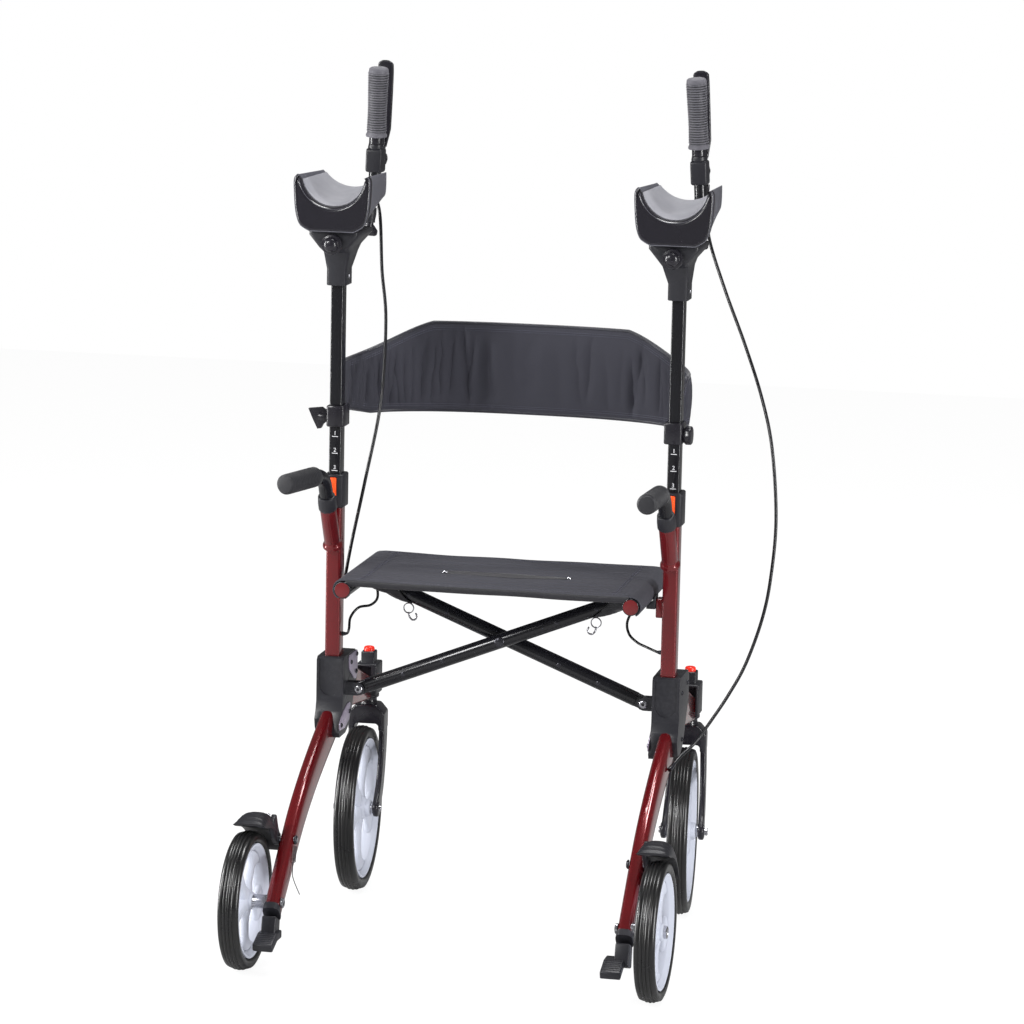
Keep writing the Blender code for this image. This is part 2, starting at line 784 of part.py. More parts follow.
def make_release_button():
    top = CAP_TOP + RELEASE_PROUD
    profile = [(0, top), (RELEASE_RADIUS - 0.001, top), (RELEASE_RADIUS, top - 0.001)]
    profile += [(RELEASE_RADIUS, release_bottom()), (0, release_bottom())]
    button = turned(profile, (CASTER_X, CASTER_Y, 0), (0, 0, 1), TUBE_STEPS)
    place_pair("release_button", button, (CASTER_X, CASTER_Y, top), SIGNAL_RED)


def prong_outline():
    """A prong from the crown to the axle, bowed forward, seen from the side."""
    axle_y = FRONT_AXLE.y
    axle_z = FRONT_AXLE.z
    line = [
        (CASTER_Y, CROWN_TOP - 0.012),
        (CASTER_Y - 0.001, CROWN_BOTTOM - 0.012),
        (CASTER_Y - 0.014, axle_z + 0.070),
        (CASTER_Y - 0.036, axle_z + 0.033),
        (axle_y + 0.014, axle_z + 0.010),
    ]
    widths = [0.019, 0.016, PRONG_HALF_WIDTH, PRONG_HALF_WIDTH, PRONG_HALF_WIDTH - 0.0005]
    band = strip(line, widths)
    toe = line[-1]
    toe_side = Vector(band[len(line)]) - Vector(toe)
    side_angle = math.atan2(toe_side.y, toe_side.x)
    end = arc((axle_y, axle_z), PRONG_HALF_WIDTH, side_angle - math.pi, side_angle, 6)
    return band[: len(line)] + end + band[len(line):]


def steered(side):
    """The turn of a caster around its steering axis, in the coordinates of the right side's frame."""
    turn = CASTER_YAW[side] if side == "right" else -CASTER_YAW[side]
    axis = Matrix.Translation((CASTER_X, CASTER_Y, 0))
    return axis @ Matrix.Rotation(turn, 4, "Z") @ axis.inverted()


def place_steered_pair(name, piece, pivot, look):
    """Put a caster's piece on both sides, each turned around its steering axis."""
    for side in ("left", "right"):
        turn = steered(side)
        place_one(name, side, moved(copied(piece), turn), turn @ Vector(pivot), look)
    bpy.data.objects.remove(piece)


def flared(prong, direction):
    """A prong that leans outward from the crown down to the axle."""
    flare = direction * (PRONG_CENTRE - CROWN_PRONG_CENTRE) / (CROWN_BOTTOM - FRONT_AXLE.z)
    shear = Matrix(((1, 0, -flare, flare * CROWN_BOTTOM), (0, 1, 0, 0), (0, 0, 1, 0), (0, 0, 0, 1)))
    return moved(prong, shear)


def make_caster_fork():
    outer = PRONG_CENTRE + PRONG_THICKNESS / 2
    inner = PRONG_CENTRE - PRONG_THICKNESS / 2
    wide = CROWN_PRONG_CENTRE + PRONG_THICKNESS / 2 + 0.0005
    slim = CROWN_PRONG_CENTRE - PRONG_THICKNESS / 2 - 0.0005
    arch = [
        (-wide, CROWN_BOTTOM - 0.012),
        (-slim, CROWN_BOTTOM - 0.012),
        (-slim, CROWN_BOTTOM),
        (slim, CROWN_BOTTOM),
        (slim, CROWN_BOTTOM - 0.012),
        (wide, CROWN_BOTTOM - 0.012),
        (wide, CROWN_TOP - 0.013),
        (NECK_RADIUS + 0.004, CROWN_TOP),
        (-NECK_RADIUS - 0.004, CROWN_TOP),
        (-wide, CROWN_TOP - 0.013),
    ]
    crown = plate(rounded(arch, 0.007, 2), "Y", CASTER_Y - 0.019, CASTER_Y + 0.019)
    prongs = []
    for direction in (-1, 1):
        centre = direction * CROWN_PRONG_CENTRE
        prong = plate(prong_outline(), "X", centre - PRONG_THICKNESS / 2, centre + PRONG_THICKNESS / 2)
        prongs.append(flared(prong, direction))
    spacers = [
        cylinder(
            (direction * (FRONT_HUB_HALF + GAP), FRONT_AXLE.y, FRONT_AXLE.z),
            (direction * (inner + 0.001), FRONT_AXLE.y, FRONT_AXLE.z),
            FRONT_AXLE_RADIUS + 0.004,
            HUB_STEPS,
        )
        for direction in (-1, 1)
    ]
    fork = joined(
        crown,
        *prongs,
        cylinder((0, CASTER_Y, CROWN_TOP - 0.006), (0, CASTER_Y, HEAD_BOTTOM - GAP), NECK_RADIUS, 16),
        cylinder((0, CASTER_Y, CROWN_TOP - 0.004), (0, CASTER_Y, stem_top()), STEM_RADIUS),
        cylinder(
            (-outer - 0.004, FRONT_AXLE.y, FRONT_AXLE.z),
            (outer + 0.008, FRONT_AXLE.y, FRONT_AXLE.z),
            FRONT_AXLE_RADIUS,
            HUB_STEPS,
        ),
        *spacers,
    )
    fork = moved(fork, Matrix.Translation((CASTER_X, 0, 0)))
    place_steered_pair("caster_fork", fork, (CASTER_X, CASTER_Y, CROWN_TOP), BLACK_PLASTIC)


# Wheels

def tyre(centre, radius, width, depth):
    """A tyre whose facets touch the floor on a flat."""
    grow = 1 / math.cos(math.pi / WHEEL_STEPS)
    half = width / 2
    steps = [(0.0, 0.5), (0.35, 1.0), (1.0, 0.8)]
    right = [((radius - depth * down) * grow, half * out) for down, out in steps]
    profile = right + [(r, -h) for r, h in reversed(right)]
    ring = turned(profile[::-1], (0, 0, 0), (1, 0, 0), WHEEL_STEPS, ring=True)
    return moved(ring, Matrix.Translation(centre))


def rim(centre, outer_radius, half_width, hub_radius, hub_half, axle_radius, spoke_width):
    """A rim ring, a hub with its bore, and five spokes."""
    grow = 1 / math.cos(math.pi / WHEEL_STEPS)
    top = outer_radius * grow
    well = top - 0.013
    profile = [(top, half_width), (well, half_width - 0.002)]
    profile += [(r, -h) for r, h in reversed(profile)]
    ring = turned(profile, (0, 0, 0), (1, 0, 0), WHEEL_STEPS, ring=True)
    hub = cylinder((-hub_half, 0, 0), (hub_half, 0, 0), hub_radius, HUB_STEPS)
    spokes = []
    for number in range(5):
        spoke = box((-0.005, 0.005), (-spoke_width / 2, spoke_width / 2), (hub_radius * 0.7, well))
        spokes.append(moved(spoke, Matrix.Rotation(math.tau * number / 5, 4, "X")))
    wheel = joined(ring, hub, *spokes)
    reach = hub_half + 0.01
    hole = bore((-reach, 0, 0), (reach, 0, 0), axle_radius, HUB_STEPS)
    return moved(cut(wheel, hole), Matrix.Translation(centre))


def make_wheels():
    place_steered_pair(
        "front_tyre",
        tyre(FRONT_AXLE, FRONT_WHEEL_RADIUS, FRONT_TYRE_WIDTH, FRONT_TYRE_DEPTH),
        FRONT_AXLE,
        TYRE_BLACK,
    )
    front = rim(
        FRONT_AXLE,
        FRONT_WHEEL_RADIUS - FRONT_TYRE_DEPTH - GAP,
        FRONT_TYRE_WIDTH * 0.36,
        FRONT_HUB_RADIUS,
        FRONT_HUB_HALF,
        FRONT_AXLE_RADIUS,
        0.016,
    )
    place_steered_pair("front_rim", front, FRONT_AXLE, SILVER)
    place_pair(
        "rear_tyre",
        tyre(REAR_AXLE, REAR_WHEEL_RADIUS, REAR_TYRE_WIDTH, REAR_TYRE_DEPTH),
        REAR_AXLE,
        TYRE_BLACK,
    )
    rear = rim(
        REAR_AXLE,
        REAR_WHEEL_RADIUS - REAR_TYRE_DEPTH - GAP,
        REAR_TYRE_WIDTH * 0.36,
        REAR_HUB_RADIUS,
        REAR_HUB_HALF,
        REAR_AXLE_RADIUS,
        0.014,
    )
    place_pair("rear_rim", rear, REAR_AXLE, SILVER)


# Rear leg, brake and pedal

def cover_region():
    """The side view of the place behind and below the leg's end that the pedal's cover takes."""
    edge = [
        (-0.040, 0.014),
        (-0.040, -0.036),
        (0.005, -0.036),
        (-0.0015, -0.021),
        (-0.0095, -0.002),
        (-0.019, 0.014),
    ]
    return [(REAR_AXLE.y + y, REAR_AXLE.z + z) for y, z in edge]


def make_rear_leg():
    hub_inner = REAR_WHEEL_X - REAR_HUB_HALF
    hub_outer = REAR_WHEEL_X + REAR_HUB_HALF
    axle_y = REAR_AXLE.y
    axle_z = REAR_AXLE.z
    leg = joined(
        cut(leg_skin(), plate(grown(cover_region(), GAP), "X", -0.03, 0.03)),
        cylinder(
            (LEG_X, axle_y, axle_z), (hub_inner - GAP, axle_y, axle_z), REAR_AXLE_RADIUS + 0.004, HUB_STEPS
        ),
        cylinder((LEG_X, axle_y, axle_z), (hub_outer + 0.003, axle_y, axle_z), REAR_AXLE_RADIUS, HUB_STEPS),
        cylinder(
            (hub_outer + GAP, axle_y, axle_z),
            (hub_outer + GAP + AXLE_NUT_LENGTH, axle_y, axle_z),
            AXLE_NUT_RADIUS,
            6,
        ),
        cylinder(
            (LEG_X - LEG_HALF_WIDTH - 0.004, axle_y, axle_z),
            (LEG_X, axle_y, axle_z),
            AXLE_NUT_RADIUS - 0.002,
            6,
        ),
        cylinder(
            (LEG_X - LEG_HALF_WIDTH - 0.0035, BRAKE_PIVOT_Y, BRAKE_PIVOT_Z),
            (LEG_OUTER + GAP + BRAKE_ARM_THICKNESS + 0.003, BRAKE_PIVOT_Y, BRAKE_PIVOT_Z),
            BRAKE_PIN_RADIUS,
            12,
        ),
    )
    place_pair("rear_leg", leg, (LEG_X, 0.022, 0.302), RED)


def hood_outline():
    """The hood from its rear tip over the wheel to its front tip: angle, lift inside, share of thickness."""
    stations = [
        (94, 0.007, 0.15),
        (85, 0.001, 0.75),
        (72, 0.0, 1.0),
        (58, 0.0, 1.0),
        (45, 0.0, 0.85),
        (35, 0.0, 0.5),
        (29, 0.002, 0.12),
    ]
    inside = []
    outside = []
    for degrees, lift, share in stations:
        angle = math.radians(degrees)
        radius = REAR_WHEEL_RADIUS + BRAKE_GAP + lift
        for outline, reach in ((inside, radius), (outside, radius + HOOD_THICKNESS * share)):
            outline.append((REAR_AXLE.y + reach * math.cos(angle), REAR_AXLE.z + reach * math.sin(angle)))
    return inside + outside[::-1]


def make_brake_shoe():
    """An arm on the leg's outer side, with a hood that arches over the rear wheel and thins to its ends."""
    near = LEG_OUTER + GAP * 3
    far = near + HOOD_WIDTH
    hood = softened(plate(hood_outline(), "X", near, far), 0.003, 1, 60)
    arm_line = [
        (BRAKE_PIVOT_Y, BRAKE_PIVOT_Z),
        (BRAKE_PIVOT_Y - 0.012, BRAKE_PIVOT_Z + 0.012),
        (BRAKE_PIVOT_Y - 0.026, BRAKE_PIVOT_Z + 0.034),
    ]
    arm = strip(arm_line, [0.009, 0.011, 0.014])
    pivot = Vector((near, BRAKE_PIVOT_Y, BRAKE_PIVOT_Z))
    hub = cylinder(pivot, pivot + Vector((BRAKE_ARM_THICKNESS, 0, 0)), 0.009)
    brake = joined(
        hood,
        plate(arm, "X", near + 0.0002, near + BRAKE_ARM_THICKNESS - 0.0002),
        hub,
    )
    hole = bore(pivot - Vector((0.01, 0, 0)), pivot + Vector((HOOD_WIDTH, 0, 0)), BRAKE_PIN_RADIUS)
    place_pair("brake_shoe", cut(brake, hole), (near, BRAKE_PIVOT_Y, BRAKE_PIVOT_Z), BLACK_PLASTIC)


def make_curb_pedal(side):
    """A cover over the leg's end that runs down into a ribbed foot pedal."""
    end = Vector((REAR_AXLE.y - 0.002, REAR_AXLE.z - 0.009))
    inner, outer = PEDAL_SPAN[side]
    neck = [
        (end.x + 0.001, end.y - 0.016),
        (end.x - 0.022, end.y - 0.004),
        (end.x - 0.032, end.y - 0.036),
        (end.x - 0.004, end.y - 0.046),
    ]
    paddle = strip(
        [(end.x - 0.006, end.y - 0.034), (end.x - 0.030, end.y - 0.033), (end.x - 0.060, end.y - 0.043)],
        [PEDAL_THICKNESS / 2] * 3,
    )
    cover = combine("INTERSECT", leg_skin(PEDAL_COVER), plate(cover_region(), "X", -0.03, 0.03))
    pedal = joined(
        softened(plate(rounded(paddle, 0.003, 2), "X", inner, outer), 0.0015, 1),
        plate(neck, "X", LEG_X - LEG_HALF_WIDTH + 0.001, LEG_X + LEG_HALF_WIDTH - 0.001),
        cover,
    )
    axle_relief = cylinder(
        (LEG_X, REAR_AXLE.y, REAR_AXLE.z),
        (REAR_WHEEL_X, REAR_AXLE.y, REAR_AXLE.z),
        REAR_AXLE_RADIUS + 0.004 + 2 * GAP,
        HUB_STEPS,
    )
    place_one("curb_pedal", side, cut(pedal, axle_relief), (LEG_X, end.x, end.y), BLACK_PLASTIC)


# Height adjustment

def make_height_collar():
    section = tube_rectangle(COLLAR_HALF_WIDTH, COLLAR_HALF_DEPTH, 0.006)
    rear = TUBE_Y - COLLAR_HALF_DEPTH
    middle = height_button_middle()
    half_height = HEIGHT_BUTTON_HEIGHT / 2 + GAP
    recess = rectangle(
        -HEIGHT_BUTTON_WIDTH / 2 - GAP,
        HEIGHT_BUTTON_WIDTH / 2 + GAP,
        middle - half_height,
        middle + half_height,
    )
    floor = rear - HEIGHT_BUTTON_PROUD + HEIGHT_BUTTON_THICKNESS + HEIGHT_BUTTON_TRAVEL + GAP
    collar = cut(
        softened(plate(section, "Z", COLLAR_BOTTOM, COLLAR_TOP), 0.0015, 1, 60),
        post_envelope(COLLAR_BOTTOM - 0.01, POST_TOP + GAP, GAP),
        tube_envelope(COLLAR_BOTTOM, COLLAR_TOP + 0.01, GAP),
        plate(recess, "Y", rear - 0.01, floor),
    )
    place_pair("height_collar", collar, (0, TUBE_Y, COLLAR_BOTTOM), BLACK_PLASTIC)


def height_button_middle():
    return POST_TOP + GAP + HEIGHT_BUTTON_ABOVE_POST + HEIGHT_BUTTON_HEIGHT / 2


def make_height_button():
    rear = TUBE_Y - COLLAR_HALF_DEPTH - HEIGHT_BUTTON_PROUD
    middle = height_button_middle()
    half_height = HEIGHT_BUTTON_HEIGHT / 2
    button = box(
        (-HEIGHT_BUTTON_WIDTH / 2, HEIGHT_BUTTON_WIDTH / 2),
        (rear, rear + HEIGHT_BUTTON_THICKNESS),
        (middle - half_height, middle + half_height),
    )
    place_pair("height_button", softened(button, 0.001, 1), (0, rear, middle), SIGNAL_ORANGE)


def make_inner_tube():
    section = tube_rectangle(
        TUBE_WIDTH / 2 - TUBE_WALL,
        TUBE_DEPTH / 2 - TUBE_WALL,
        max(POST_CORNER - POST_WALL - TUBE_WALL, 0.0005),
    )
    tube = cut(tube_envelope(TUBE_BOTTOM, TUBE_TOP), plate(section, "Z", TUBE_BOTTOM - 0.01, TUBE_TOP + 0.01))
    place_pair("inner_tube", tube, (0, TUBE_Y, TUBE_BOTTOM), BLACK_METAL)


# Handles for standing up

def bent_route(points, radius, steps=4):
    """A route with each inner corner replaced by an arc."""
    route = [Vector(points[0])]
    for before, corner, after in zip(points, points[1:], points[2:]):
        corner = Vector(corner)
        back = (Vector(before) - corner).normalized()
        ahead = (Vector(after) - corner).normalized()
        half = back.angle(ahead) / 2
        centre = corner + (back + ahead).normalized() * radius / math.sin(half)
        start = corner + back * radius / math.tan(half) - centre
        axis = start.cross(ahead).normalized()
        sweep = math.pi - 2 * half
        for step in range(steps + 1):
            route.append(centre + Matrix.Rotation(sweep * step / steps, 3, axis) @ start)
    route.append(Vector(points[-1]))
    return route


def make_stand_handle(side):
    along = branch_direction()
    top = branch_top()
    rise = (STAND_GRIP_Z - BRANCH_HEAD.z) / along.z
    corner = BRANCH_HEAD + along * rise
    end = Vector((STAND_GRIP_OUT[side], STAND_GRIP_Y, STAND_GRIP_Z))
    back = (end - corner).normalized()
    grip_start = end - back * STAND_GRIP_LENGTH
    route = bent_route([top - along * STAND_INSERT, corner, end - back * 0.01], STAND_BEND_RADIUS)
    grip = [
        (0, STAND_GRIP_LENGTH),
        (STAND_GRIP_RADIUS - 0.003, STAND_GRIP_LENGTH),
        (STAND_GRIP_RADIUS, STAND_GRIP_LENGTH - 0.003),
        (STAND_GRIP_RADIUS, 0.002),
        (STAND_GRIP_RADIUS - 0.002, 0),
        (0, 0),
    ]
    handle = joined(
        pipe(route, STAND_TUBE_RADIUS, 4),
        turned(grip, grip_start, back, TUBE_STEPS),
        cylinder(top + along * GAP, top + along * STAND_COLLAR_LENGTH, STAND_COLLAR_RADIUS),
    )
    place_one("stand_handle", side, handle, corner, BLACK_METAL)


# Backrest

def make_backrest_clamp():
    top = CLAMP_BOTTOM + CLAMP_HEIGHT
    outline = rectangle(CLAMP_INNER, CLAMP_OUTER, -CLAMP_REAR, CLAMP_FRONT, 0.005)
    clamp = cut(
        softened(plate(outline, "Z", CLAMP_BOTTOM, top), 0.0015, 1, 60),
        tube_envelope(CLAMP_BOTTOM - 0.01, top + 0.01, GAP),
    )
    place_pair("backrest_clamp", clamp, (0, TUBE_Y, CLAMP_BOTTOM), BLACK_PLASTIC)


def knob_centre():
    return Vector((CLAMP_OUTER + GAP, TUBE_Y - 0.004, CLAMP_BOTTOM + CLAMP_HEIGHT * 0.4))


def make_clamp_knobs():
    """A round knob on the right clamp, a wing knob on the left one."""
    centre = knob_centre()
    profile = [
        (0, KNOB_THICKNESS),
        (KNOB_RADIUS - 0.002, KNOB_THICKNESS),
        (KNOB_RADIUS, KNOB_THICKNESS - 0.002),
        (KNOB_RADIUS, 0.003),
        (KNOB_RADIUS - 0.004, 0),
        (0, 0),
    ]
    place_one("clamp_knob", "right", turned(profile, centre, (1, 0, 0), KNOB_STEPS), centre, BLACK_PLASTIC)
    wing = [
        (0.001, -0.006),
        (0.007, -0.011),
        (0.010, -0.017),
        (0.0155, -0.018),
        (0.023, -0.003),
        (0.0295, 0.012),
        (0.009, 0.0145),
        (0.001, 0.009),
    ]
    wing = [(centre.x + out, centre.z + up) for out, up in wing]
    knob = joined(
        softened(plate(wing, "Y", centre.y - WING_THICKNESS / 2, centre.y + WING_THICKNESS / 2), 0.0015, 1),
        cylinder(centre, centre + Vector((0.014, 0, 0)), 0.0075, 12),
    )
    place_one("clamp_knob", "left", knob, centre, BLACK_PLASTIC)


def band_plan(fraction):
    """A point of the band's path in plan; fraction runs from -1 at the left clamp to 1 at the right."""
    end_x = POST_X - 0.002
    start = CLAMP_FRONT + GAP + BAND_EDGE / 2
    straight = BAND_TAB_SHARE
    size = abs(fraction)
    sign = math.copysign(1.0, fraction)
    if size > 1 - straight:
        along = (1 - size) / straight
        outward = end_x + (BAND_HALF_SPAN - end_x) * along
        return Vector((sign * outward, start + (BAND_START_Y - start) * along))
    angle = size / (1 - straight) * math.pi / 2
    across = math.sin(angle) ** (2 / BAND_ROUNDNESS)
    ahead = math.cos(angle) ** (2 / BAND_ROUNDNESS)
    return Vector((sign * BAND_HALF_SPAN * across, BAND_START_Y + BAND_REACH * ahead))


def make_backrest_band():
    """A padded band, thickest along its middle, drawn in to its edges and its ends."""
    columns = 32
    rows = 4
    shape = bmesh.new()
    bmesh.ops.create_grid(shape, x_segments=columns, y_segments=rows, size=1.0)
    weights = {}
    for vertex in shape.verts:
        fraction = vertex.co.x
        height = (vertex.co.y + 1) / 2
        plan = band_plan(fraction)
        size = abs(fraction)
        slope = min(max((abs(plan.x) - BAND_FLAT_HALF) / (BAND_HALF_SPAN - BAND_FLAT_HALF), 0.0), 1.0)
        lift = min(max((size - 0.6) / (0.4 - BAND_TAB_SHARE), 0.0), 1.0)
        tab = max((size - 1 + BAND_TAB_SHARE) / BAND_TAB_SHARE, 0.0)
        top = BAND_TOP + (BAND_END_TOP - BAND_TOP) * max(slope, tab > 0)
        top += (BAND_TAB_TOP - top) * tab
        low = BAND_BOTTOM + (BAND_END_BOTTOM - BAND_BOTTOM) * lift
        low += (BAND_TAB_BOTTOM - low) * tab
        vertex.co = (plan.x, plan.y, low + (top - low) * height)
        swell = math.sin(math.pi * height) ** 0.5 * (1 - size ** 6)
        weights[vertex.index] = max(swell, 0.0)
    band = mesh_object(shape)
    group = band.vertex_groups.new(name="swell")
    for index, weight in weights.items():
        group.add([index], weight, "REPLACE")
    shell = band.modifiers.new("padding", "SOLIDIFY")
    shell.thickness = BAND_CROWN
    shell.offset = 0.0
    shell.vertex_group = "swell"
    shell.thickness_vertex_group = BAND_EDGE / BAND_CROWN
    finish_part(solid(band), "backrest_band", (0, BAND_START_Y + BAND_REACH, BAND_BOTTOM), BAND_CLOTH)


# Scissor and seat

def make_cross_bar(bar_y):
    """A bar that pivots on the right and carries the seat tube on the left."""
    pivot = Vector((PIVOT_X, bar_y, PIVOT_Z))
    head = Vector((-PIVOT_X, bar_y, SEAT_TUBE_Z))
    along = (head - pivot).normalized()
    root = pivot + along * TONGUE_REACH
    angle = math.atan2(along.z, along.x)
    tip = (PIVOT_X, PIVOT_Z)
    tongue = arc(tip, TONGUE_RADIUS, angle + math.pi / 2, angle + 3 * math.pi / 2, 8)
    far = root + along * 0.012
    side = Vector((-along.z, along.x)) * TONGUE_RADIUS
    tongue += [(far.x - side.x, far.z - side.y), (far.x + side.x, far.z + side.y)]
    bar = joined(
        cylinder(root, head - along * 0.002, BAR_RADIUS),
        plate(tongue, "Y", bar_y - TONGUE_THICKNESS / 2, bar_y + TONGUE_THICKNESS / 2),
        cylinder(
            (-PIVOT_X, SEAT_TUBE_REAR, SEAT_TUBE_Z),
            (-PIVOT_X, SEAT_TUBE_FRONT, SEAT_TUBE_Z),
            SEAT_TUBE_RADIUS,
            16,
        ),
    )
    hole = bore((PIVOT_X, bar_y - 0.02, PIVOT_Z), (PIVOT_X, bar_y + 0.02, PIVOT_Z), PIVOT_PIN_RADIUS)
    return cut(bar, hole)


def make_cross_bars():
    crossing = Vector((0, BAR_FRONT_Y, CROSSING_Z))
    front = make_cross_bar(BAR_FRONT_Y)
    hole = bore((0, BAR_FRONT_Y - 0.02, CROSSING_Z), (0, BAR_FRONT_Y + 0.02, CROSSING_Z), CENTRE_BOLT_RADIUS)
    finish_part(cut(front, hole), "cross_bar_front", crossing, BLACK_METAL)
    rear_half = make_cross_bar(BAR_REAR_Y)
    rear = mirrored(rear_half)
    bpy.data.objects.remove(rear_half)
    front_face = BAR_FRONT_Y + BAR_RADIUS + GAP
    rear = joined(
        rear,
        cylinder((0, BAR_REAR_Y, CROSSING_Z), (0, front_face + 0.003, CROSSING_Z), CENTRE_BOLT_RADIUS),
        cylinder((0, BAR_REAR_Y, CROSSING_Z), (0, BAR_FRONT_Y - BAR_RADIUS - GAP, CROSSING_Z), 0.0085),
        cylinder((0, front_face, CROSSING_Z), (0, front_face + 0.005, CROSSING_Z), 0.008, 6),
    )
    finish_part(rear, "cross_bar_rear", (-PIVOT_X, BAR_REAR_Y, PIVOT_Z), BLACK_METAL)


def make_seat_sling():
    """Cloth from one seat tube to the other, wrapped over and around each tube, with a slight sag."""
    radius = SEAT_TUBE_RADIUS + GAP + SLEEVE_THICKNESS / 2
    wrap = arc((PIVOT_X, SEAT_TUBE_Z), radius, math.pi / 2 - SLEEVE_WRAP, math.pi / 2, 7)
    half = wrap[::-1]
    span = 4
    flat = [(PIVOT_X * (span - step) / span, SEAT_TUBE_Z + radius) for step in range(1, span)]
    left = [(-x, z) for x, z in half[::-1]]
    middle = [(-x, z) for x, z in flat]
    section = left + middle + [(0.0, SEAT_TUBE_Z + radius)] + flat[::-1] + half
    lanes = 4
    shape = bmesh.new()
    rows = []
    for lane in range(lanes + 1):
        y = SEAT_TUBE_REAR + SEAT_HEM + (SEAT_TUBE_FRONT - SEAT_TUBE_REAR - 2 * SEAT_HEM) * lane / lanes
        row = []
        for x, z in section:
            across = max(1 - (x / PIVOT_X) ** 2, 0.0)
            sag = SEAT_SAG * across * math.sin(math.pi * (0.15 + 0.7 * lane / lanes))
            row.append(shape.verts.new((x, y, z - sag)))
        rows.append(row)
    for near, far in zip(rows, rows[1:]):
        for index in range(len(section) - 1):
            shape.faces.new((near[index], near[index + 1], far[index + 1], far[index]))
    sling = mesh_object(shape)
    shell = sling.modifiers.new("cloth", "SOLIDIFY")
    shell.thickness = SLEEVE_THICKNESS
    shell.offset = 0.0
    shell.use_even_offset = True
    finish_part(solid(sling), "seat_sling", (0, SEAT_TUBE_REAR, SEAT_TUBE_Z), SEAT_CLOTH)


# Forearm supports

def make_trough_bracket():
    """A neck on the tube that flares to the flange below the trough."""
    stations = [
        (BRACKET_BOTTOM, BRACKET_NECK_HALF, BRACKET_NECK_REAR, BRACKET_NECK_FRONT),
        (BRACKET_BOTTOM + 0.024, BRACKET_NECK_HALF, BRACKET_NECK_REAR, BRACKET_NECK_FRONT),
        (
            BRACKET_BOTTOM + 0.050,
            BRACKET_NECK_HALF + 0.005,
            BRACKET_NECK_REAR - 0.010,
            BRACKET_NECK_FRONT + 0.007,
        ),
        (TROUGH_KNOB_Z - 0.006, FLANGE_HALF - 0.015, FLANGE_REAR, FLANGE_FRONT - 0.008),
        (BRACKET_TOP - 0.006, FLANGE_HALF, FLANGE_REAR, FLANGE_FRONT),
        (BRACKET_TOP, FLANGE_HALF, FLANGE_REAR, FLANGE_FRONT),
    ]
    rings = []
    for height, half, rear, front in stations:
        middle = TROUGH_X if half > BRACKET_NECK_HALF else 0.0
        outline = rectangle(middle - half, middle + half, rear, front, 0.006)
        rings.append([(x, y, height) for x, y in outline])
    bracket = cut(
        loft(rings),
        tube_envelope(BRACKET_BOTTOM - 0.01, TUBE_TOP + GAP, GAP),
        bore(
            (TROUGH_X, FLANGE_REAR - 0.01, TROUGH_KNOB_Z),
            (TROUGH_X, FLANGE_REAR + KNOB_STEM_LENGTH + GAP, TROUGH_KNOB_Z),
            KNOB_STEM_RADIUS,
        ),
    )
    place_pair("trough_bracket", bracket, (0, TUBE_Y, BRACKET_BOTTOM), BLACK_PLASTIC)


def make_trough_knob():
    profile = [
        (0, 0.0215),
        (0.006, 0.020),
        (0.0095, 0.014),
        (0.012, 0.0125),
        (TROUGH_KNOB_RADIUS, 0.010),
        (TROUGH_KNOB_RADIUS, 0.002),
        (TROUGH_KNOB_RADIUS - 0.003, GAP),
        (KNOB_STEM_RADIUS, GAP),
        (KNOB_STEM_RADIUS, -KNOB_STEM_LENGTH),
        (0, -KNOB_STEM_LENGTH),
    ]
    base = (TROUGH_X, FLANGE_REAR, TROUGH_KNOB_Z)
    place_pair("trough_knob", turned(profile, base, (0, -1, 0), KNOB_STEPS), base, BLACK_PLASTIC)


def trough_section(fraction):
    """A gutter section at a fraction of the length: deep and boxy at the rear, a thin shell in front."""
    half = TROUGH_HALF_WIDTH - TROUGH_NARROWING * fraction
    floor = TROUGH_BOTTOM + TROUGH_REAR_FLOOR + (TROUGH_FRONT_FLOOR - TROUGH_REAR_FLOOR) * fraction
    rim = TROUGH_BOTTOM + TROUGH_RIM_HEIGHT
    depth = rim - floor
    radius = (half ** 2 + depth ** 2) / (2 * depth)
    reach = 2 * math.atan(depth / half)
    hollow = arc((0, floor + radius), radius, -math.pi / 2 - reach, reach - math.pi / 2, TROUGH_STEPS)

    def below(x):
        return floor + radius - math.sqrt(radius ** 2 - x ** 2) - TROUGH_WALL

    rear = [
        (half + TROUGH_LIP / 2, rim + TROUGH_LIP),
        (half + TROUGH_LIP, rim + TROUGH_LIP / 4),
        (half + TROUGH_LIP, rim - 0.015),
        (half + 0.0055, TROUGH_BOTTOM + 0.029),
        (half, TROUGH_BOTTOM + 0.011),
        (half - 0.008, TROUGH_BOTTOM + 0.004),
        (half - 0.016, TROUGH_BOTTOM),
    ]
    front = [
        (half + TROUGH_LIP / 2, rim + TROUGH_LIP / 2),
        (half + TROUGH_WALL, rim + TROUGH_LIP / 4),
        (half + TROUGH_WALL, rim - TROUGH_SKIRT + 0.013),
        (half + 0.003, rim - TROUGH_SKIRT + 0.002),
        (half - 0.003, rim - TROUGH_SKIRT),
        (half - 0.009, rim - TROUGH_SKIRT + 0.005),
        (half - 0.018, below(half - 0.018)),
    ]
    side = [Vector(a).lerp(Vector(b), fraction) for a, b in zip(rear, front)]
    outside = [(point.x, point.y) for point in side] + [(-point.x, point.y) for point in reversed(side)]
    return hollow, outside


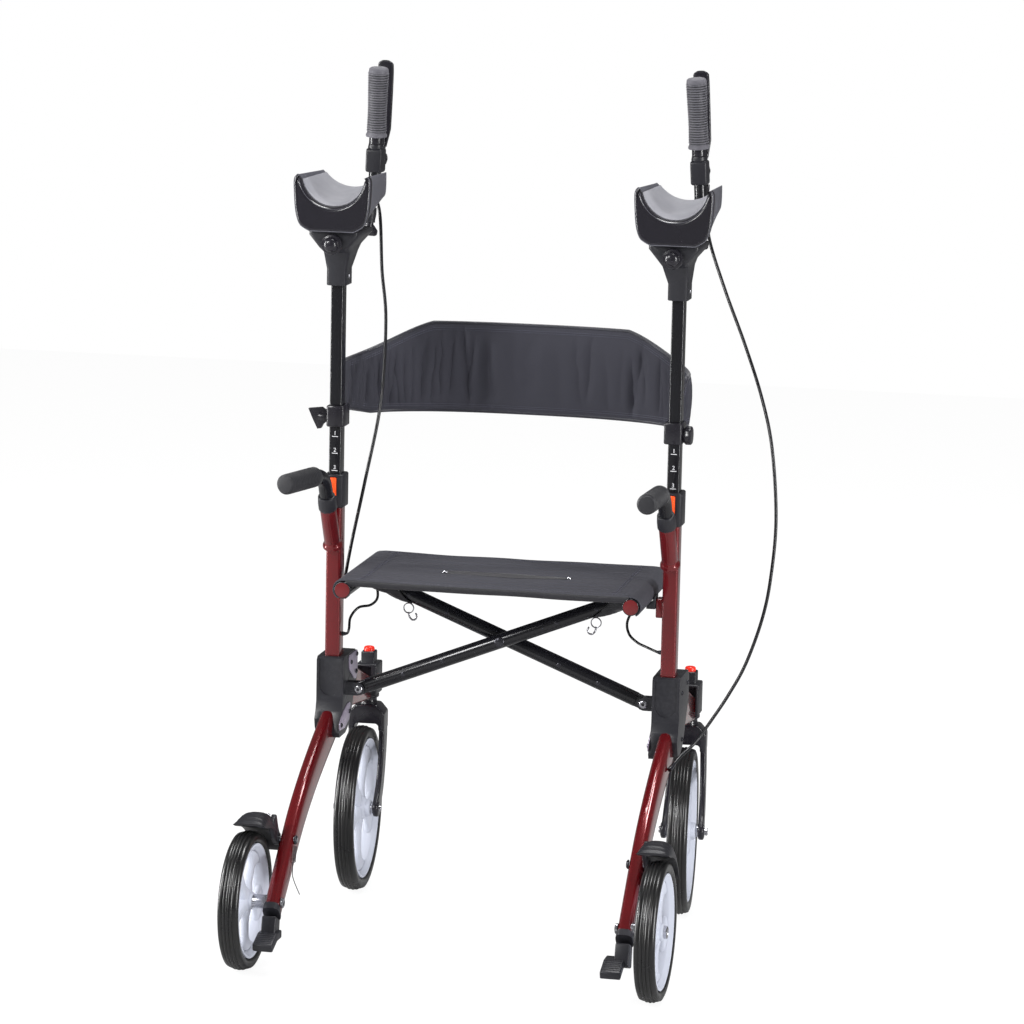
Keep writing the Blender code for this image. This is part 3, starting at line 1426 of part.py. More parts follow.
def make_arm_trough():
    """A forearm gutter with a keel that holds the handle rod."""
    rings = []
    for station in range(TROUGH_STATIONS + 1):
        fraction = station / TROUGH_STATIONS
        hollow, outside = trough_section(fraction)
        y = TROUGH_REAR + TROUGH_LENGTH * fraction
        rings.append([(TROUGH_X + x, y, z) for x, z in hollow + outside])
    keel_rear = TROUGH_REAR + 0.006
    keel_front = TROUGH_REAR + TROUGH_LENGTH - 0.012
    keel_outline = [
        (keel_rear, TROUGH_BOTTOM),
        (keel_front, TROUGH_BOTTOM),
        (keel_front, TROUGH_BOTTOM + TROUGH_FRONT_FLOOR - 0.003),
        (keel_rear, TROUGH_BOTTOM + TROUGH_REAR_FLOOR - 0.002),
    ]
    keel = plate(keel_outline, "X", TROUGH_X - KEEL_HALF, TROUGH_X + KEEL_HALF)
    trough = joined(loft(rings), keel)
    front = TROUGH_REAR + TROUGH_LENGTH + 0.05
    hole = bore((TROUGH_X, ROD_REAR - 0.045, ROD_Z), (TROUGH_X, front, ROD_Z), ROD_RADIUS)
    place_pair("arm_trough", cut(trough, hole), (TROUGH_X, TUBE_Y, TROUGH_BOTTOM), BLACK_PLASTIC)


# Handle rod, grip and lever, modelled upright and then tilted inward around the rod

def rod_tilt():
    axis = Matrix.Translation((TROUGH_X, 0, ROD_Z))
    return axis @ Matrix.Rotation(-ROD_TILT, 4, "Y") @ axis.inverted()


def rod_top_start():
    """Where the bend ends, and the direction of the upright stretch."""
    bend = ROD_BEND_ANGLE
    centre = Vector((TROUGH_X, ROD_BEND_Y, ROD_Z + ROD_BEND_RADIUS))
    start = centre + ROD_BEND_RADIUS * Vector((0, math.sin(bend), -math.cos(bend)))
    return start, Vector((0, math.cos(bend), math.sin(bend)))


def lever_pivot():
    start, up = rod_top_start()
    middle = start + up * (HOUSING_START + HOUSING_LENGTH / 2)
    return middle + Vector((0, LEVER_PIVOT_OUT, 0))


def make_handle_rod():
    start, up = rod_top_start()
    bend = arc(
        (ROD_BEND_Y, ROD_Z + ROD_BEND_RADIUS), ROD_BEND_RADIUS, -math.pi / 2, ROD_BEND_ANGLE - math.pi / 2, 5
    )
    route = [(TROUGH_X, ROD_REAR, ROD_Z)] + [(TROUGH_X, y, z) for y, z in bend]
    route.append(tuple(start + up * (GRIP_START + GRIP_LENGTH - 0.014)))
    pivot = lever_pivot()
    low = start + up * HOUSING_START
    high = low + up * HOUSING_LENGTH
    body = plate(
        rounded(
            [
                (low.y - 0.015, low.z),
                (low.y + 0.016, low.z),
                (high.y + 0.018, high.z),
                (high.y - 0.014, high.z),
            ],
            0.004,
            1,
        ),
        "X",
        TROUGH_X - HOUSING_HALF_WIDTH,
        TROUGH_X + HOUSING_HALF_WIDTH,
    )
    cheeks = []
    for direction in (-1, 1):
        near = TROUGH_X + direction * (LEVER_ROOT / 2 + GAP)
        far = near + direction * LEVER_CHEEK
        outline = [
            (low.y + 0.004, pivot.z - 0.010),
            (pivot.y, pivot.z - 0.008),
            (pivot.y + 0.007, pivot.z - 0.003),
            (pivot.y + 0.007, pivot.z + 0.003),
            (pivot.y, pivot.z + 0.008),
            (low.y + 0.004, pivot.z + 0.010),
        ]
        cheeks.append(plate(outline, "X", min(near, far), max(near, far)))
    pin_half = LEVER_ROOT / 2 + GAP + LEVER_CHEEK + 0.001
    pin = cylinder(
        (TROUGH_X - pin_half, pivot.y, pivot.z), (TROUGH_X + pin_half, pivot.y, pivot.z), LEVER_PIN_RADIUS, 12
    )
    boss_y = ROD_BEND_Y + 0.017
    boss = cylinder((TROUGH_X, boss_y, rod_knob_top() + GAP), (TROUGH_X, boss_y, ROD_Z), 0.0085, 12)
    boss_bore = bore(
        (TROUGH_X, boss_y, rod_knob_top() - 0.01),
        (TROUGH_X, boss_y, rod_knob_top() + KNOB_STEM_LENGTH + GAP),
        KNOB_STEM_RADIUS,
    )
    rod = cut(joined(pipe(route, ROD_RADIUS, 4), body, *cheeks, pin, boss), boss_bore)
    place_pair("handle_rod", moved(rod, rod_tilt()), (TROUGH_X, ROD_BEND_Y, ROD_Z), BLACK_METAL)


def rod_knob_top():
    return ROD_Z - 0.024


def make_rod_knob():
    """A wing knob below the rod's bend."""
    y = ROD_BEND_Y + 0.017
    top = rod_knob_top()
    wing = [
        (-0.012, top - 0.020),
        (0.012, top - 0.020),
        (0.013, top - 0.012),
        (0.006, top - 0.003),
        (-0.006, top - 0.003),
        (-0.013, top - 0.012),
    ]
    wing = [(TROUGH_X + x, z) for x, z in wing]
    knob = joined(
        plate(rounded(wing, 0.003, 2), "Y", y - 0.003, y + 0.003),
        cylinder((TROUGH_X, y, top - 0.012), (TROUGH_X, y, top), 0.0065, 12),
        cylinder((TROUGH_X, y, top - 0.006), (TROUGH_X, y, top + KNOB_STEM_LENGTH), KNOB_STEM_RADIUS),
    )
    place_pair("rod_knob", moved(knob, rod_tilt()), rod_tilt() @ Vector((TROUGH_X, y, top)), BLACK_PLASTIC)


def make_hand_grip():
    start, up = rod_top_start()
    base = start + up * GRIP_START
    radius = GRIP_RADIUS
    hole = (ROD_RADIUS + BORE_PLAY) / math.cos(math.pi / KNOB_STEPS)
    profile = [
        (0, GRIP_LENGTH),
        (radius - 0.004, GRIP_LENGTH),
        (radius, GRIP_LENGTH - 0.004),
        (radius, GRIP_LENGTH * 0.6),
        (radius - 0.0015, GRIP_LENGTH * 0.35),
        (radius - 0.0005, 0.006),
        (radius + 0.001, 0.004),
        (radius + 0.001, 0),
        (hole, 0),
        (hole, GRIP_LENGTH - 0.0137),
        (0, GRIP_LENGTH - 0.0137),
    ]
    grip = turned(profile, base, up, KNOB_STEPS)
    place_pair("hand_grip", moved(grip, rod_tilt()), rod_tilt() @ base, GREY_FOAM)


def make_brake_lever():
    """A lever in front of the grip, hooked back over the grip's top."""
    pivot = lever_pivot()
    root = [
        (pivot.y, pivot.z),
        (pivot.y + 0.003, pivot.z + 0.020),
        (pivot.y + 0.004, pivot.z + 0.040),
    ]
    blade = [
        (pivot.y + 0.0035, pivot.z + 0.024),
        (pivot.y + 0.005, pivot.z + 0.060),
        (pivot.y + 0.003, pivot.z + 0.100),
        (pivot.y, pivot.z + 0.132),
        (pivot.y - 0.006, pivot.z + 0.147),
    ]
    half = LEVER_ROOT / 2
    lever = joined(
        plate(rounded(strip(root, [0.006, 0.006, 0.005]), 0.003, 1), "X", TROUGH_X - half, TROUGH_X + half),
        plate(
            rounded(strip(blade, [0.004, 0.004, 0.004, 0.0045, 0.0045]), 0.002, 1),
            "X",
            TROUGH_X - LEVER_WIDTH / 2,
            TROUGH_X + LEVER_WIDTH / 2,
        ),
    )
    hole = bore((TROUGH_X - 0.02, pivot.y, pivot.z), (TROUGH_X + 0.02, pivot.y, pivot.z), LEVER_PIN_RADIUS)
    place_pair("brake_lever", moved(cut(lever, hole), rod_tilt()), rod_tilt() @ pivot, BLACK_PLASTIC)


# Cables

def smooth_route(points, spacing):
    """Points at an even spacing on a smooth curve through the route's points."""
    places = [Vector(point) for point in points]
    places = [2 * places[0] - places[1]] + places + [2 * places[-1] - places[-2]]
    fine = []
    for a, b, c, d in zip(places, places[1:], places[2:], places[3:]):
        for step in range(24):
            t = step / 24
            bow = (2 * a - 5 * b + 4 * c - d) * t ** 2 + (3 * b - a - 3 * c + d) * t ** 3
            fine.append(b + ((c - a) * t + bow) / 2)
    fine.append(places[-2])
    length = sum((after - before).length for before, after in zip(fine, fine[1:]))
    count = max(round(length / spacing), 2)
    route = [fine[0]]
    walked = 0.0
    for before, after in zip(fine, fine[1:]):
        walked += (after - before).length
        if walked >= length / count * len(route) and len(route) < count:
            route.append(after)
    route.append(fine[-1])
    return route


def make_brake_cables():
    """Each cable leaves its lever's housing; the right one bows outward and enters the leg."""
    start, up = rod_top_start()
    outlet = rod_tilt() @ (start + up * (HOUSING_START - GAP) + Vector((0.0085, 0.0118, 0)))
    outlet += up * -0.0008
    right = [
        (POST_X + outlet.x, outlet.y, outlet.z),
        (POST_X + outlet.x + 0.001, outlet.y + 0.003, outlet.z - 0.025),
        (0.263, 0.215, 1.024),
        (0.2935, 0.190, 0.949),
        (0.332, 0.150, 0.873),
        (0.3656, 0.110, 0.799),
        (0.387, 0.080, 0.729),
        (0.3986, 0.060, 0.629),
        (0.3950, 0.048, 0.5435),
        (0.3848, 0.042, 0.482),
        (0.3646, 0.030, 0.417),
        (0.3427, 0.019, 0.3725),
        (0.3204, 0.009, 0.3355),
        (0.2985, -0.008, 0.3025),
        (0.2815, -0.034, 0.2865),
        (POST_X + LEG_OUTER + 0.003, -0.062, 0.272),
    ]
    left = [
        (-POST_X - outlet.x, outlet.y, outlet.z),
        (-POST_X - outlet.x + 0.001, outlet.y + 0.003, outlet.z - 0.025),
        (-0.241, 0.208, 1.040),
        (-0.226, 0.165, 0.960),
        (-0.208, 0.120, 0.889),
        (-0.199, 0.060, 0.777),
        (-0.216, 0.038, 0.660),
        (-0.236, 0.037, 0.560),
        (-0.249, 0.044, 0.490),
        (-POST_X, 0.050, 0.440),
        (-POST_X, 0.052, BLOCK_TOP + GAP),
    ]
    for name, route in (("brake_cable_right", right), ("brake_cable_left", left)):
        cable = pipe(smooth_route(route, 6 * BRAKE_CABLE_RADIUS), BRAKE_CABLE_RADIUS, 2)
        finish_part(cable, name, route[0], CABLE_BLACK)


def make_lock_cables():
    """A short cable from below each seat tube to the inner side of its post."""
    inner = -POST_HALF_WIDTH - 2 * GAP
    tube = Vector((-PIVOT_INSET, 0.060, SEAT_TUBE_Z))
    outlet = tube + Vector((-0.35, 0, -0.937)) * (SEAT_TUBE_RADIUS + 3 * GAP)
    routes = {
        "left": [
            outlet,
            tube + Vector((-0.013, 0, -0.026)),
            (-0.055, 0.054, 0.477),
            (-0.046, 0.049, 0.4675),
            (-0.0296, 0.042, 0.464),
            (-0.0203, 0.030, 0.451),
            (-0.0216, 0.016, 0.4365),
            (inner - 0.008, TUBE_Y + 0.001, 0.430),
            (inner - 0.003, TUBE_Y, 0.429),
            (inner, TUBE_Y, 0.429),
        ],
        "right": [
            outlet,
            tube + Vector((-0.018, 0, -0.026)),
            (-0.0714, 0.056, 0.466),
            (-0.0677, 0.050, 0.4475),
            (-0.0526, 0.038, 0.4377),
            (-0.037, 0.027, 0.434),
            (inner - 0.009, TUBE_Y + 0.003, 0.431),
            (inner - 0.003, TUBE_Y, 0.4305),
            (inner, TUBE_Y, 0.4305),
        ],
    }
    for side, route in routes.items():
        cable = pipe(smooth_route(route, 5 * LOCK_CABLE_RADIUS), LOCK_CABLE_RADIUS, 2)
        place_one("lock_cable", side, cable, route[0], CABLE_BLACK)


def centre_on_floor():
    """Parent every part to one empty, placed so that the bounding box stands centred on the floor."""
    parts = list(PARTS.objects)
    bpy.context.view_layer.update()
    corners = [part.matrix_world @ vertex.co for part in parts for vertex in part.data.vertices]
    low = Vector(min(corner[axis] for corner in corners) for axis in range(3))
    high = Vector(max(corner[axis] for corner in corners) for axis in range(3))
    root = bpy.data.objects.new("rollator", None)
    PARTS.objects.link(root)
    root.location = (-(low.x + high.x) / 2, -(low.y + high.y) / 2, -low.z)
    for part in parts:
        part.parent = root


def main():
    make_frame_post()
    make_seat_saddle()
    make_joint_block("left")
    make_joint_block("right")
    make_caster_head()
    make_release_button()
    make_caster_fork()
    make_wheels()
    make_rear_leg()
    make_brake_shoe()
    make_curb_pedal("left")
    make_curb_pedal("right")
    make_height_collar()
    make_height_button()
    make_inner_tube()
    make_stand_handle("left")
    make_stand_handle("right")
    make_backrest_clamp()
    make_clamp_knobs()
    make_backrest_band()
    make_cross_bars()
    make_seat_sling()
    make_trough_bracket()
    make_trough_knob()
    make_arm_trough()
    make_handle_rod()
    make_rod_knob()
    make_hand_grip()
    make_brake_lever()
    make_brake_cables()
    make_lock_cables()
    centre_on_floor()


main()
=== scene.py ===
"""The dressed model of a folding rollator with forearm troughs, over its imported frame.

Every piece is made in metres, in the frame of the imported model. A side's pieces are written for the
right side, x growing outward from the post's plane, and are then placed on either side.
"""
import json
import logging
import math
import random
from dataclasses import dataclass, field
from enum import Enum
from typing import Sequence

import bmesh
import bpy
from mathutils import Matrix, Vector, noise


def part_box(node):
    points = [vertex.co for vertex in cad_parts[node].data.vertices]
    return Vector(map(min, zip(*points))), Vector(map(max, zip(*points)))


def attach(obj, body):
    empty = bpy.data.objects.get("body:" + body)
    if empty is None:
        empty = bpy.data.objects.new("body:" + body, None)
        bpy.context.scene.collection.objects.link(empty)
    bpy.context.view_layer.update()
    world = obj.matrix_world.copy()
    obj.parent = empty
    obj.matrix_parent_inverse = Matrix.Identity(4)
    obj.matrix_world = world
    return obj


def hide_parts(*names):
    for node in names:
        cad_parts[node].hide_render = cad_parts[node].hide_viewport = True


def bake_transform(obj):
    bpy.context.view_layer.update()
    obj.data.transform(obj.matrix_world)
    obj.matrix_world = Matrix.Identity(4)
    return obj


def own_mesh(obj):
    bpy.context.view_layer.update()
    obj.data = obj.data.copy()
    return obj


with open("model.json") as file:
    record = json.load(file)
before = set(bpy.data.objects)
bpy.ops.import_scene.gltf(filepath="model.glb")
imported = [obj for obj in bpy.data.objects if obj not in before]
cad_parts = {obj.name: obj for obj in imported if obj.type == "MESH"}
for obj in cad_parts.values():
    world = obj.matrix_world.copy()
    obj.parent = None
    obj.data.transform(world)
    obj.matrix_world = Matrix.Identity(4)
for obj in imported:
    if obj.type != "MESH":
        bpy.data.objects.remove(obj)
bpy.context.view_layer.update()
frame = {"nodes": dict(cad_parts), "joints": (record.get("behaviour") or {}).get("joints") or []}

LOG = logging.getLogger("rollator")

Flat = tuple[float, float]
Point = tuple[float, float, float]
Colour = tuple[float, float, float]

GAP = 0.0003
NEARLY_STRAIGHT = 1.56
BEVEL_FROM = 40.0
POST_X = 0.254
SEAT_TUBE_X = 0.214
SEAT_TUBE_Z = 0.518
PIVOT_Z = 0.347
TROUGH_X = -0.0025
TROUGH_BOTTOM = 1.036
ROD_Z = 1.052
REAR_AXLE = Vector((0.044, -0.315, 0.100))
FRONT_AXLE = Vector((-0.002, 0.155, 0.127))
CASTER = Vector((-0.002, 0.228, 0.0))


def frame_offset() -> Vector:
    """Where the source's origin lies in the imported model, read from the two telescopic tubes."""
    left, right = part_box("inner_tube_left"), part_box("inner_tube_right")
    middle = (left[0].x + left[1].x + right[0].x + right[1].x) / 4
    return Vector((middle, right[0].y, 0.0))


OFFSET = frame_offset()
JOINTS = {joint["name"]: joint for joint in frame["joints"]}


@dataclass(frozen=True)
class Side:
    """One side of the rollator.

    Args:
        name: the word at the end of its nodes and bodies.
        sign: -1 on the left, 1 on the right.
    """

    name: str
    sign: int

    def matrix(self) -> Matrix:
        """From a side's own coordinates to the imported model."""
        place = Matrix.Translation((OFFSET.x, OFFSET.y, 0.0)) @ Matrix.Diagonal((self.sign, 1, 1, 1))
        return place @ Matrix.Translation((POST_X, 0, 0))

    def steered(self) -> Matrix:
        """As matrix, for the pieces that turn with the caster."""
        axis = JOINTS[f"front_spin_{self.name}"]["axis"]
        turn = math.atan2(axis[1], axis[0]) * self.sign
        pole = Matrix.Translation((CASTER.x, CASTER.y, 0))
        return self.matrix() @ pole @ Matrix.Rotation(turn, 4, "Z") @ pole.inverted()


LEFT = Side("left", -1)
RIGHT = Side("right", 1)
SIDES = (LEFT, RIGHT)
WORLD = Matrix.Translation((OFFSET.x, OFFSET.y, 0.0))


# Finishes


class Pattern(Enum):
    """How a surface's small relief is made."""

    GRAINED = "grained"
    WOVEN_FLAT = "woven_flat"
    WOVEN_UPRIGHT = "woven_upright"


def group_socket(group: bpy.types.NodeTree, name: str, kind: str, value: object = None, output: bool = False) -> None:
    """Add a named socket to a node group.

    Args:
        group: the group.
        name: the socket's name.
        kind: Float, Vector or Color.
        value: the default of an input.
        output: whether it is an output.
    """
    way = "OUTPUT" if output else "INPUT"
    socket = group.interface.new_socket(name=name, in_out=way, socket_type=f"NodeSocket{kind}")
    if value is not None:
        socket.default_value = value


class Graph:
    """A node tree that is filled from left to right."""

    def __init__(self, tree: bpy.types.NodeTree) -> None:
        """Start with an emptied tree."""
        self.tree = tree
        tree.nodes.clear()

    def node(self, kind: str, settings: dict | None = None, **inputs: object) -> bpy.types.Node:
        """Add a node, set its properties and its inputs.

        Args:
            kind: the node's type.
            settings: its properties.
            inputs: values or sockets by input name, with _ for a space.

        Returns:
            The node.
        """
        made = self.tree.nodes.new(kind)
        made.location = (200 * len(self.tree.nodes), 0)
        for key, value in (settings or {}).items():
            setattr(made, key, value)
        for key, value in inputs.items():
            name = key.replace("_", " ")
            socket = made.inputs[int(key[1:])] if key[1:].isdigit() else made.inputs[name]
            if isinstance(value, bpy.types.NodeSocket):
                self.tree.links.new(value, socket)
            else:
                socket.default_value = value
        return made

    def math(self, way: str, first: object, second: object = 0.0) -> bpy.types.NodeSocket:
        """The result of a Math node."""
        return self.node("ShaderNodeMath", {"operation": way}, i0=first, i1=second).outputs[0]


def mottle_group() -> bpy.types.NodeTree:
    """Slow variation between two colours, with its mask."""
    name = "colour_mottle"
    if name in bpy.data.node_groups:
        return bpy.data.node_groups[name]
    tree = bpy.data.node_groups.new(name, "ShaderNodeTree")
    for socket, kind, value in (
        ("Vector", "Vector", None),
        ("Scale", "Float", 12.0),
        ("Base", "Color", (0.5, 0.5, 0.5, 1)),
        ("Second", "Color", (0.4, 0.4, 0.4, 1)),
    ):
        group_socket(tree, socket, kind, value)
    group_socket(tree, "Colour", "Color", output=True)
    group_socket(tree, "Mask", "Float", output=True)
    graph = Graph(tree)
    start = graph.node("NodeGroupInput").outputs
    cloud = graph.node("ShaderNodeTexNoise", Vector=start["Vector"], Scale=start["Scale"], Detail=4.0, Roughness=0.6)
    ramp = graph.node("ShaderNodeMapRange", {"clamp": True}, Value=cloud.outputs[0], From_Min=0.35, From_Max=0.65)
    mixed = graph.node("ShaderNodeMix", {"data_type": "RGBA"}, Factor=ramp.outputs[0])
    tree.links.new(start["Base"], mixed.inputs[6])
    tree.links.new(start["Second"], mixed.inputs[7])
    graph.node("NodeGroupOutput", Colour=mixed.outputs[2], Mask=ramp.outputs[0])
    return tree


def grain_group() -> bpy.types.NodeTree:
    """Fine pits and pebbles of a moulded or lacquered skin, as a height."""
    name = "skin_grain"
    if name in bpy.data.node_groups:
        return bpy.data.node_groups[name]
    tree = bpy.data.node_groups.new(name, "ShaderNodeTree")
    group_socket(tree, "Vector", "Vector")
    group_socket(tree, "Scale", "Float", 800.0)
    group_socket(tree, "Stretch", "Vector", (1.0, 1.0, 1.0))
    group_socket(tree, "Height", "Float", output=True)
    graph = Graph(tree)
    start = graph.node("NodeGroupInput").outputs
    drawn = graph.node("ShaderNodeVectorMath", {"operation": "MULTIPLY"}, i0=start["Vector"], i1=start["Stretch"])
    cells = graph.node("ShaderNodeTexVoronoi", Vector=drawn.outputs[0], Scale=start["Scale"])
    waves = graph.node("ShaderNodeTexNoise", Vector=drawn.outputs[0],
                       Scale=graph.math("MULTIPLY", start["Scale"], 0.21))
    height = graph.math("ADD", graph.math("MULTIPLY", cells.outputs[0], 0.5), waves.outputs[0])
    graph.node("NodeGroupOutput", Height=height)
    return tree


def weave_group() -> bpy.types.NodeTree:
    """Over and under threads along the first two coordinates, as a height and a thread mask."""
    name = "plain_weave"
    if name in bpy.data.node_groups:
        return bpy.data.node_groups[name]
    tree = bpy.data.node_groups.new(name, "ShaderNodeTree")
    group_socket(tree, "Vector", "Vector")
    group_socket(tree, "Threads", "Float", 1400.0)
    group_socket(tree, "Height", "Float", output=True)
    group_socket(tree, "Mask", "Float", output=True)
    graph = Graph(tree)
    start = graph.node("NodeGroupInput").outputs
    parts = graph.node("ShaderNodeSeparateXYZ", Vector=start["Vector"]).outputs
    turns = graph.math("MULTIPLY", start["Threads"], math.pi)
    warp = graph.math("SINE", graph.math("MULTIPLY", parts[0], turns))
    weft = graph.math("SINE", graph.math("MULTIPLY", parts[1], turns))
    over = graph.math("MULTIPLY", warp, weft)
    height = graph.math("ADD", graph.math("MULTIPLY", over, 0.5), 0.5)
    graph.node("NodeGroupOutput", Height=height, Mask=graph.math("GREATER_THAN", over, 0.0))
    return tree


def wear_group() -> bpy.types.NodeTree:
    """A mask of rubbed outer edges, broken up by noise."""
    name = "edge_wear"
    if name in bpy.data.node_groups:
        return bpy.data.node_groups[name]
    tree = bpy.data.node_groups.new(name, "ShaderNodeTree")
    group_socket(tree, "Vector", "Vector")
    group_socket(tree, "Amount", "Float", 0.3)
    group_socket(tree, "Mask", "Float", output=True)
    graph = Graph(tree)
    start = graph.node("NodeGroupInput").outputs
    edge = graph.node("ShaderNodeNewGeometry").outputs["Pointiness"]
    sharp = graph.node("ShaderNodeMapRange", {"clamp": True}, Value=edge, From_Min=0.52, From_Max=0.60).outputs[0]
    speck = graph.node("ShaderNodeTexNoise", Vector=start["Vector"], Scale=220.0, Detail=3.0).outputs[0]
    broken = graph.node("ShaderNodeMapRange", {"clamp": True}, Value=speck, From_Min=0.42, From_Max=0.62).outputs[0]
    rubbed = graph.math("MULTIPLY", graph.math("MULTIPLY", sharp, broken), start["Amount"])
    graph.node("NodeGroupOutput", Mask=rubbed)
    return tree


@dataclass(frozen=True)
class Finish:
    """A surface finish, built once as a procedural material.

    Args:
        name: the material's name.
        colour: base colour, linear.
        second: the colour that it drifts to.
        roughness: the middle of its roughness.
        spread: how far roughness varies to either side.
        metallic: share of metal.
        coat: weight of the clear coat.
        coat_roughness: roughness of the clear coat.
        sheen: weight of the cloth sheen.
        mottle: scale of the slow variation.
        grain: scale of the relief.
        depth: depth of the relief, in metres.
        stretch: how the relief is drawn out along x, y and z.
        threads: threads in a metre of a woven finish.
        wear: how much the edges are rubbed.
        worn: colour of a rubbed edge.
        pattern: how the relief is made.
    """

    name: str
    colour: Colour
    second: Colour
    roughness: float
    spread: float = 0.06
    metallic: float = 0.0
    coat: float = 0.0
    coat_roughness: float = 0.1
    sheen: float = 0.0
    mottle: float = 14.0
    grain: float = 900.0
    depth: float = 0.00006
    stretch: Point = (1.0, 1.0, 1.0)
    threads: float = 0.0
    wear: float = 0.0
    worn: Colour = (0.3, 0.3, 0.32)
    pattern: Pattern = Pattern.GRAINED

    def material(self) -> bpy.types.Material:
        """The material of this finish, made on first use."""
        known = bpy.data.materials.get(self.name)
        if known is not None:
            return known
        made = bpy.data.materials.new(self.name)
        made.use_nodes = True
        graph = Graph(made.node_tree)
        place = graph.node("ShaderNodeTexCoord").outputs["Object"]
        mottle = graph.node("ShaderNodeGroup", {"node_tree": mottle_group()}, Vector=place, Scale=self.mottle)
        mottle.inputs["Base"].default_value = (*self.colour, 1)
        mottle.inputs["Second"].default_value = (*self.second, 1)
        colour = mottle.outputs["Colour"]
        rough = graph.node(
            "ShaderNodeMapRange",
            Value=mottle.outputs["Mask"],
            To_Min=self.roughness - self.spread,
            To_Max=self.roughness + self.spread,
        ).outputs[0]
        if self.wear:
            worn = graph.node("ShaderNodeGroup", {"node_tree": wear_group()}, Vector=place, Amount=self.wear)
            mixed = graph.node("ShaderNodeMix", {"data_type": "RGBA"}, Factor=worn.outputs["Mask"])
            made.node_tree.links.new(colour, mixed.inputs[6])
            mixed.inputs[7].default_value = (*self.worn, 1)
            colour = mixed.outputs[2]
        height = self.relief(graph, place)
        bump = graph.node("ShaderNodeBump", Strength=1.0, Distance=self.depth, Height=height)
        shader = graph.node("ShaderNodeBsdfPrincipled", Base_Color=colour, Roughness=rough, Normal=bump.outputs[0])
        shader.inputs["Metallic"].default_value = self.metallic
        shader.inputs["Coat Weight"].default_value = self.coat
        shader.inputs["Coat Roughness"].default_value = self.coat_roughness
        shader.inputs["Sheen Weight"].default_value = self.sheen
        shader.inputs["Sheen Roughness"].default_value = 0.4
        graph.node("ShaderNodeOutputMaterial", Surface=shader.outputs[0])
        made.diffuse_color = (*self.colour, 1)
        return made

    def relief(self, graph: Graph, place: bpy.types.NodeSocket) -> bpy.types.NodeSocket:
        """The height that drives the bump.

        Args:
            graph: the material's graph.
            place: object coordinates.

        Returns:
            The height socket.
        """
        grain = graph.node("ShaderNodeGroup", {"node_tree": grain_group()}, Vector=place, Scale=self.grain)
        grain.inputs["Stretch"].default_value = self.stretch
        if self.pattern is Pattern.GRAINED:
            return grain.outputs["Height"]
        turned = place
        if self.pattern is Pattern.WOVEN_UPRIGHT:
            turned = graph.node("ShaderNodeMapping", Vector=place, Rotation=(math.pi / 2, 0, 0)).outputs[0]
        weave = graph.node("ShaderNodeGroup", {"node_tree": weave_group()}, Vector=turned, Threads=self.threads)
        soft = graph.math("MULTIPLY", grain.outputs["Height"], 0.6)
        return graph.math("ADD", weave.outputs["Height"], soft)


RED_LACQUER = Finish(
    "red_lacquer", (0.165, 0.004, 0.007), (0.135, 0.003, 0.006), 0.24, 0.03, 0.40, 1.0, 0.05,
    mottle=6.0, grain=520.0, depth=0.00001,
)
BLACK_LACQUER = Finish(
    "black_lacquer", (0.008, 0.008, 0.011), (0.006, 0.006, 0.008), 0.26, 0.03, 0.15, 0.5, 0.12,
    grain=700.0, depth=0.00001,
)
MOULDED = Finish(
    "moulded_plastic", (0.018, 0.018, 0.023), (0.014, 0.014, 0.018), 0.38, 0.05,
    mottle=5.0, grain=1500.0, depth=0.00005, wear=0.10, worn=(0.07, 0.07, 0.08),
)
SATIN_PLASTIC = Finish(
    "satin_plastic", (0.014, 0.013, 0.018), (0.011, 0.010, 0.014), 0.26, 0.04, coat=0.3, coat_roughness=0.15,
    mottle=5.0, grain=1100.0, depth=0.00003, wear=0.10, worn=(0.07, 0.07, 0.08),
)
TROUGH_SHELL = Finish(
    "trough_shell", (0.105, 0.105, 0.125), (0.085, 0.085, 0.103), 0.36, 0.05,
    mottle=6.0, grain=1300.0, depth=0.00004, wear=0.15, worn=(0.22, 0.22, 0.25),
)
TROUGH_LINING = Finish(
    "trough_lining", (0.30, 0.30, 0.33), (0.24, 0.24, 0.27), 0.52, 0.08, sheen=0.25,
    mottle=22.0, grain=1700.0, depth=0.00010, threads=900.0, pattern=Pattern.WOVEN_FLAT,
)
FOAM = Finish(
    "foam_grip", (0.120, 0.116, 0.135), (0.090, 0.088, 0.104), 0.66, 0.08, sheen=0.15,
    mottle=40.0, grain=2200.0, depth=0.00012,
)
# Dark foam: the stand grip's own colour, and on the hand grip's core a painted shade in the grooves between the ribs.
DARK_FOAM_AND_GROOVE_SHADE = Finish(
    "dark_foam", (0.020, 0.020, 0.024), (0.014, 0.014, 0.018), 0.52, 0.08, sheen=0.1,
    mottle=40.0, grain=2000.0, depth=0.00010,
)
RIM_SILVER = Finish(
    "rim_silver", (0.34, 0.345, 0.38), (0.27, 0.275, 0.31), 0.24, 0.03, 0.75, 0.3, 0.15,
    mottle=18.0, grain=1200.0, depth=0.00002, wear=0.15, worn=(0.80, 0.81, 0.85),
)
RUBBER = Finish(
    "tyre_rubber", (0.006, 0.006, 0.007), (0.009, 0.009, 0.009), 0.30, 0.05, coat=0.3, coat_roughness=0.22,
    mottle=26.0, grain=900.0, depth=0.000012,
)
SEAT_CLOTH = Finish(
    "seat_cloth", (0.042, 0.039, 0.051), (0.030, 0.028, 0.038), 0.42, 0.08, sheen=0.30,
    mottle=9.0, grain=420.0, depth=0.00018, threads=1300.0, pattern=Pattern.WOVEN_FLAT,
)
SEAT_HEM = Finish(
    "seat_hem", (0.016, 0.015, 0.020), (0.011, 0.011, 0.014), 0.55, 0.07, sheen=0.2,
    grain=600.0, depth=0.00014, threads=1100.0, pattern=Pattern.WOVEN_FLAT,
)
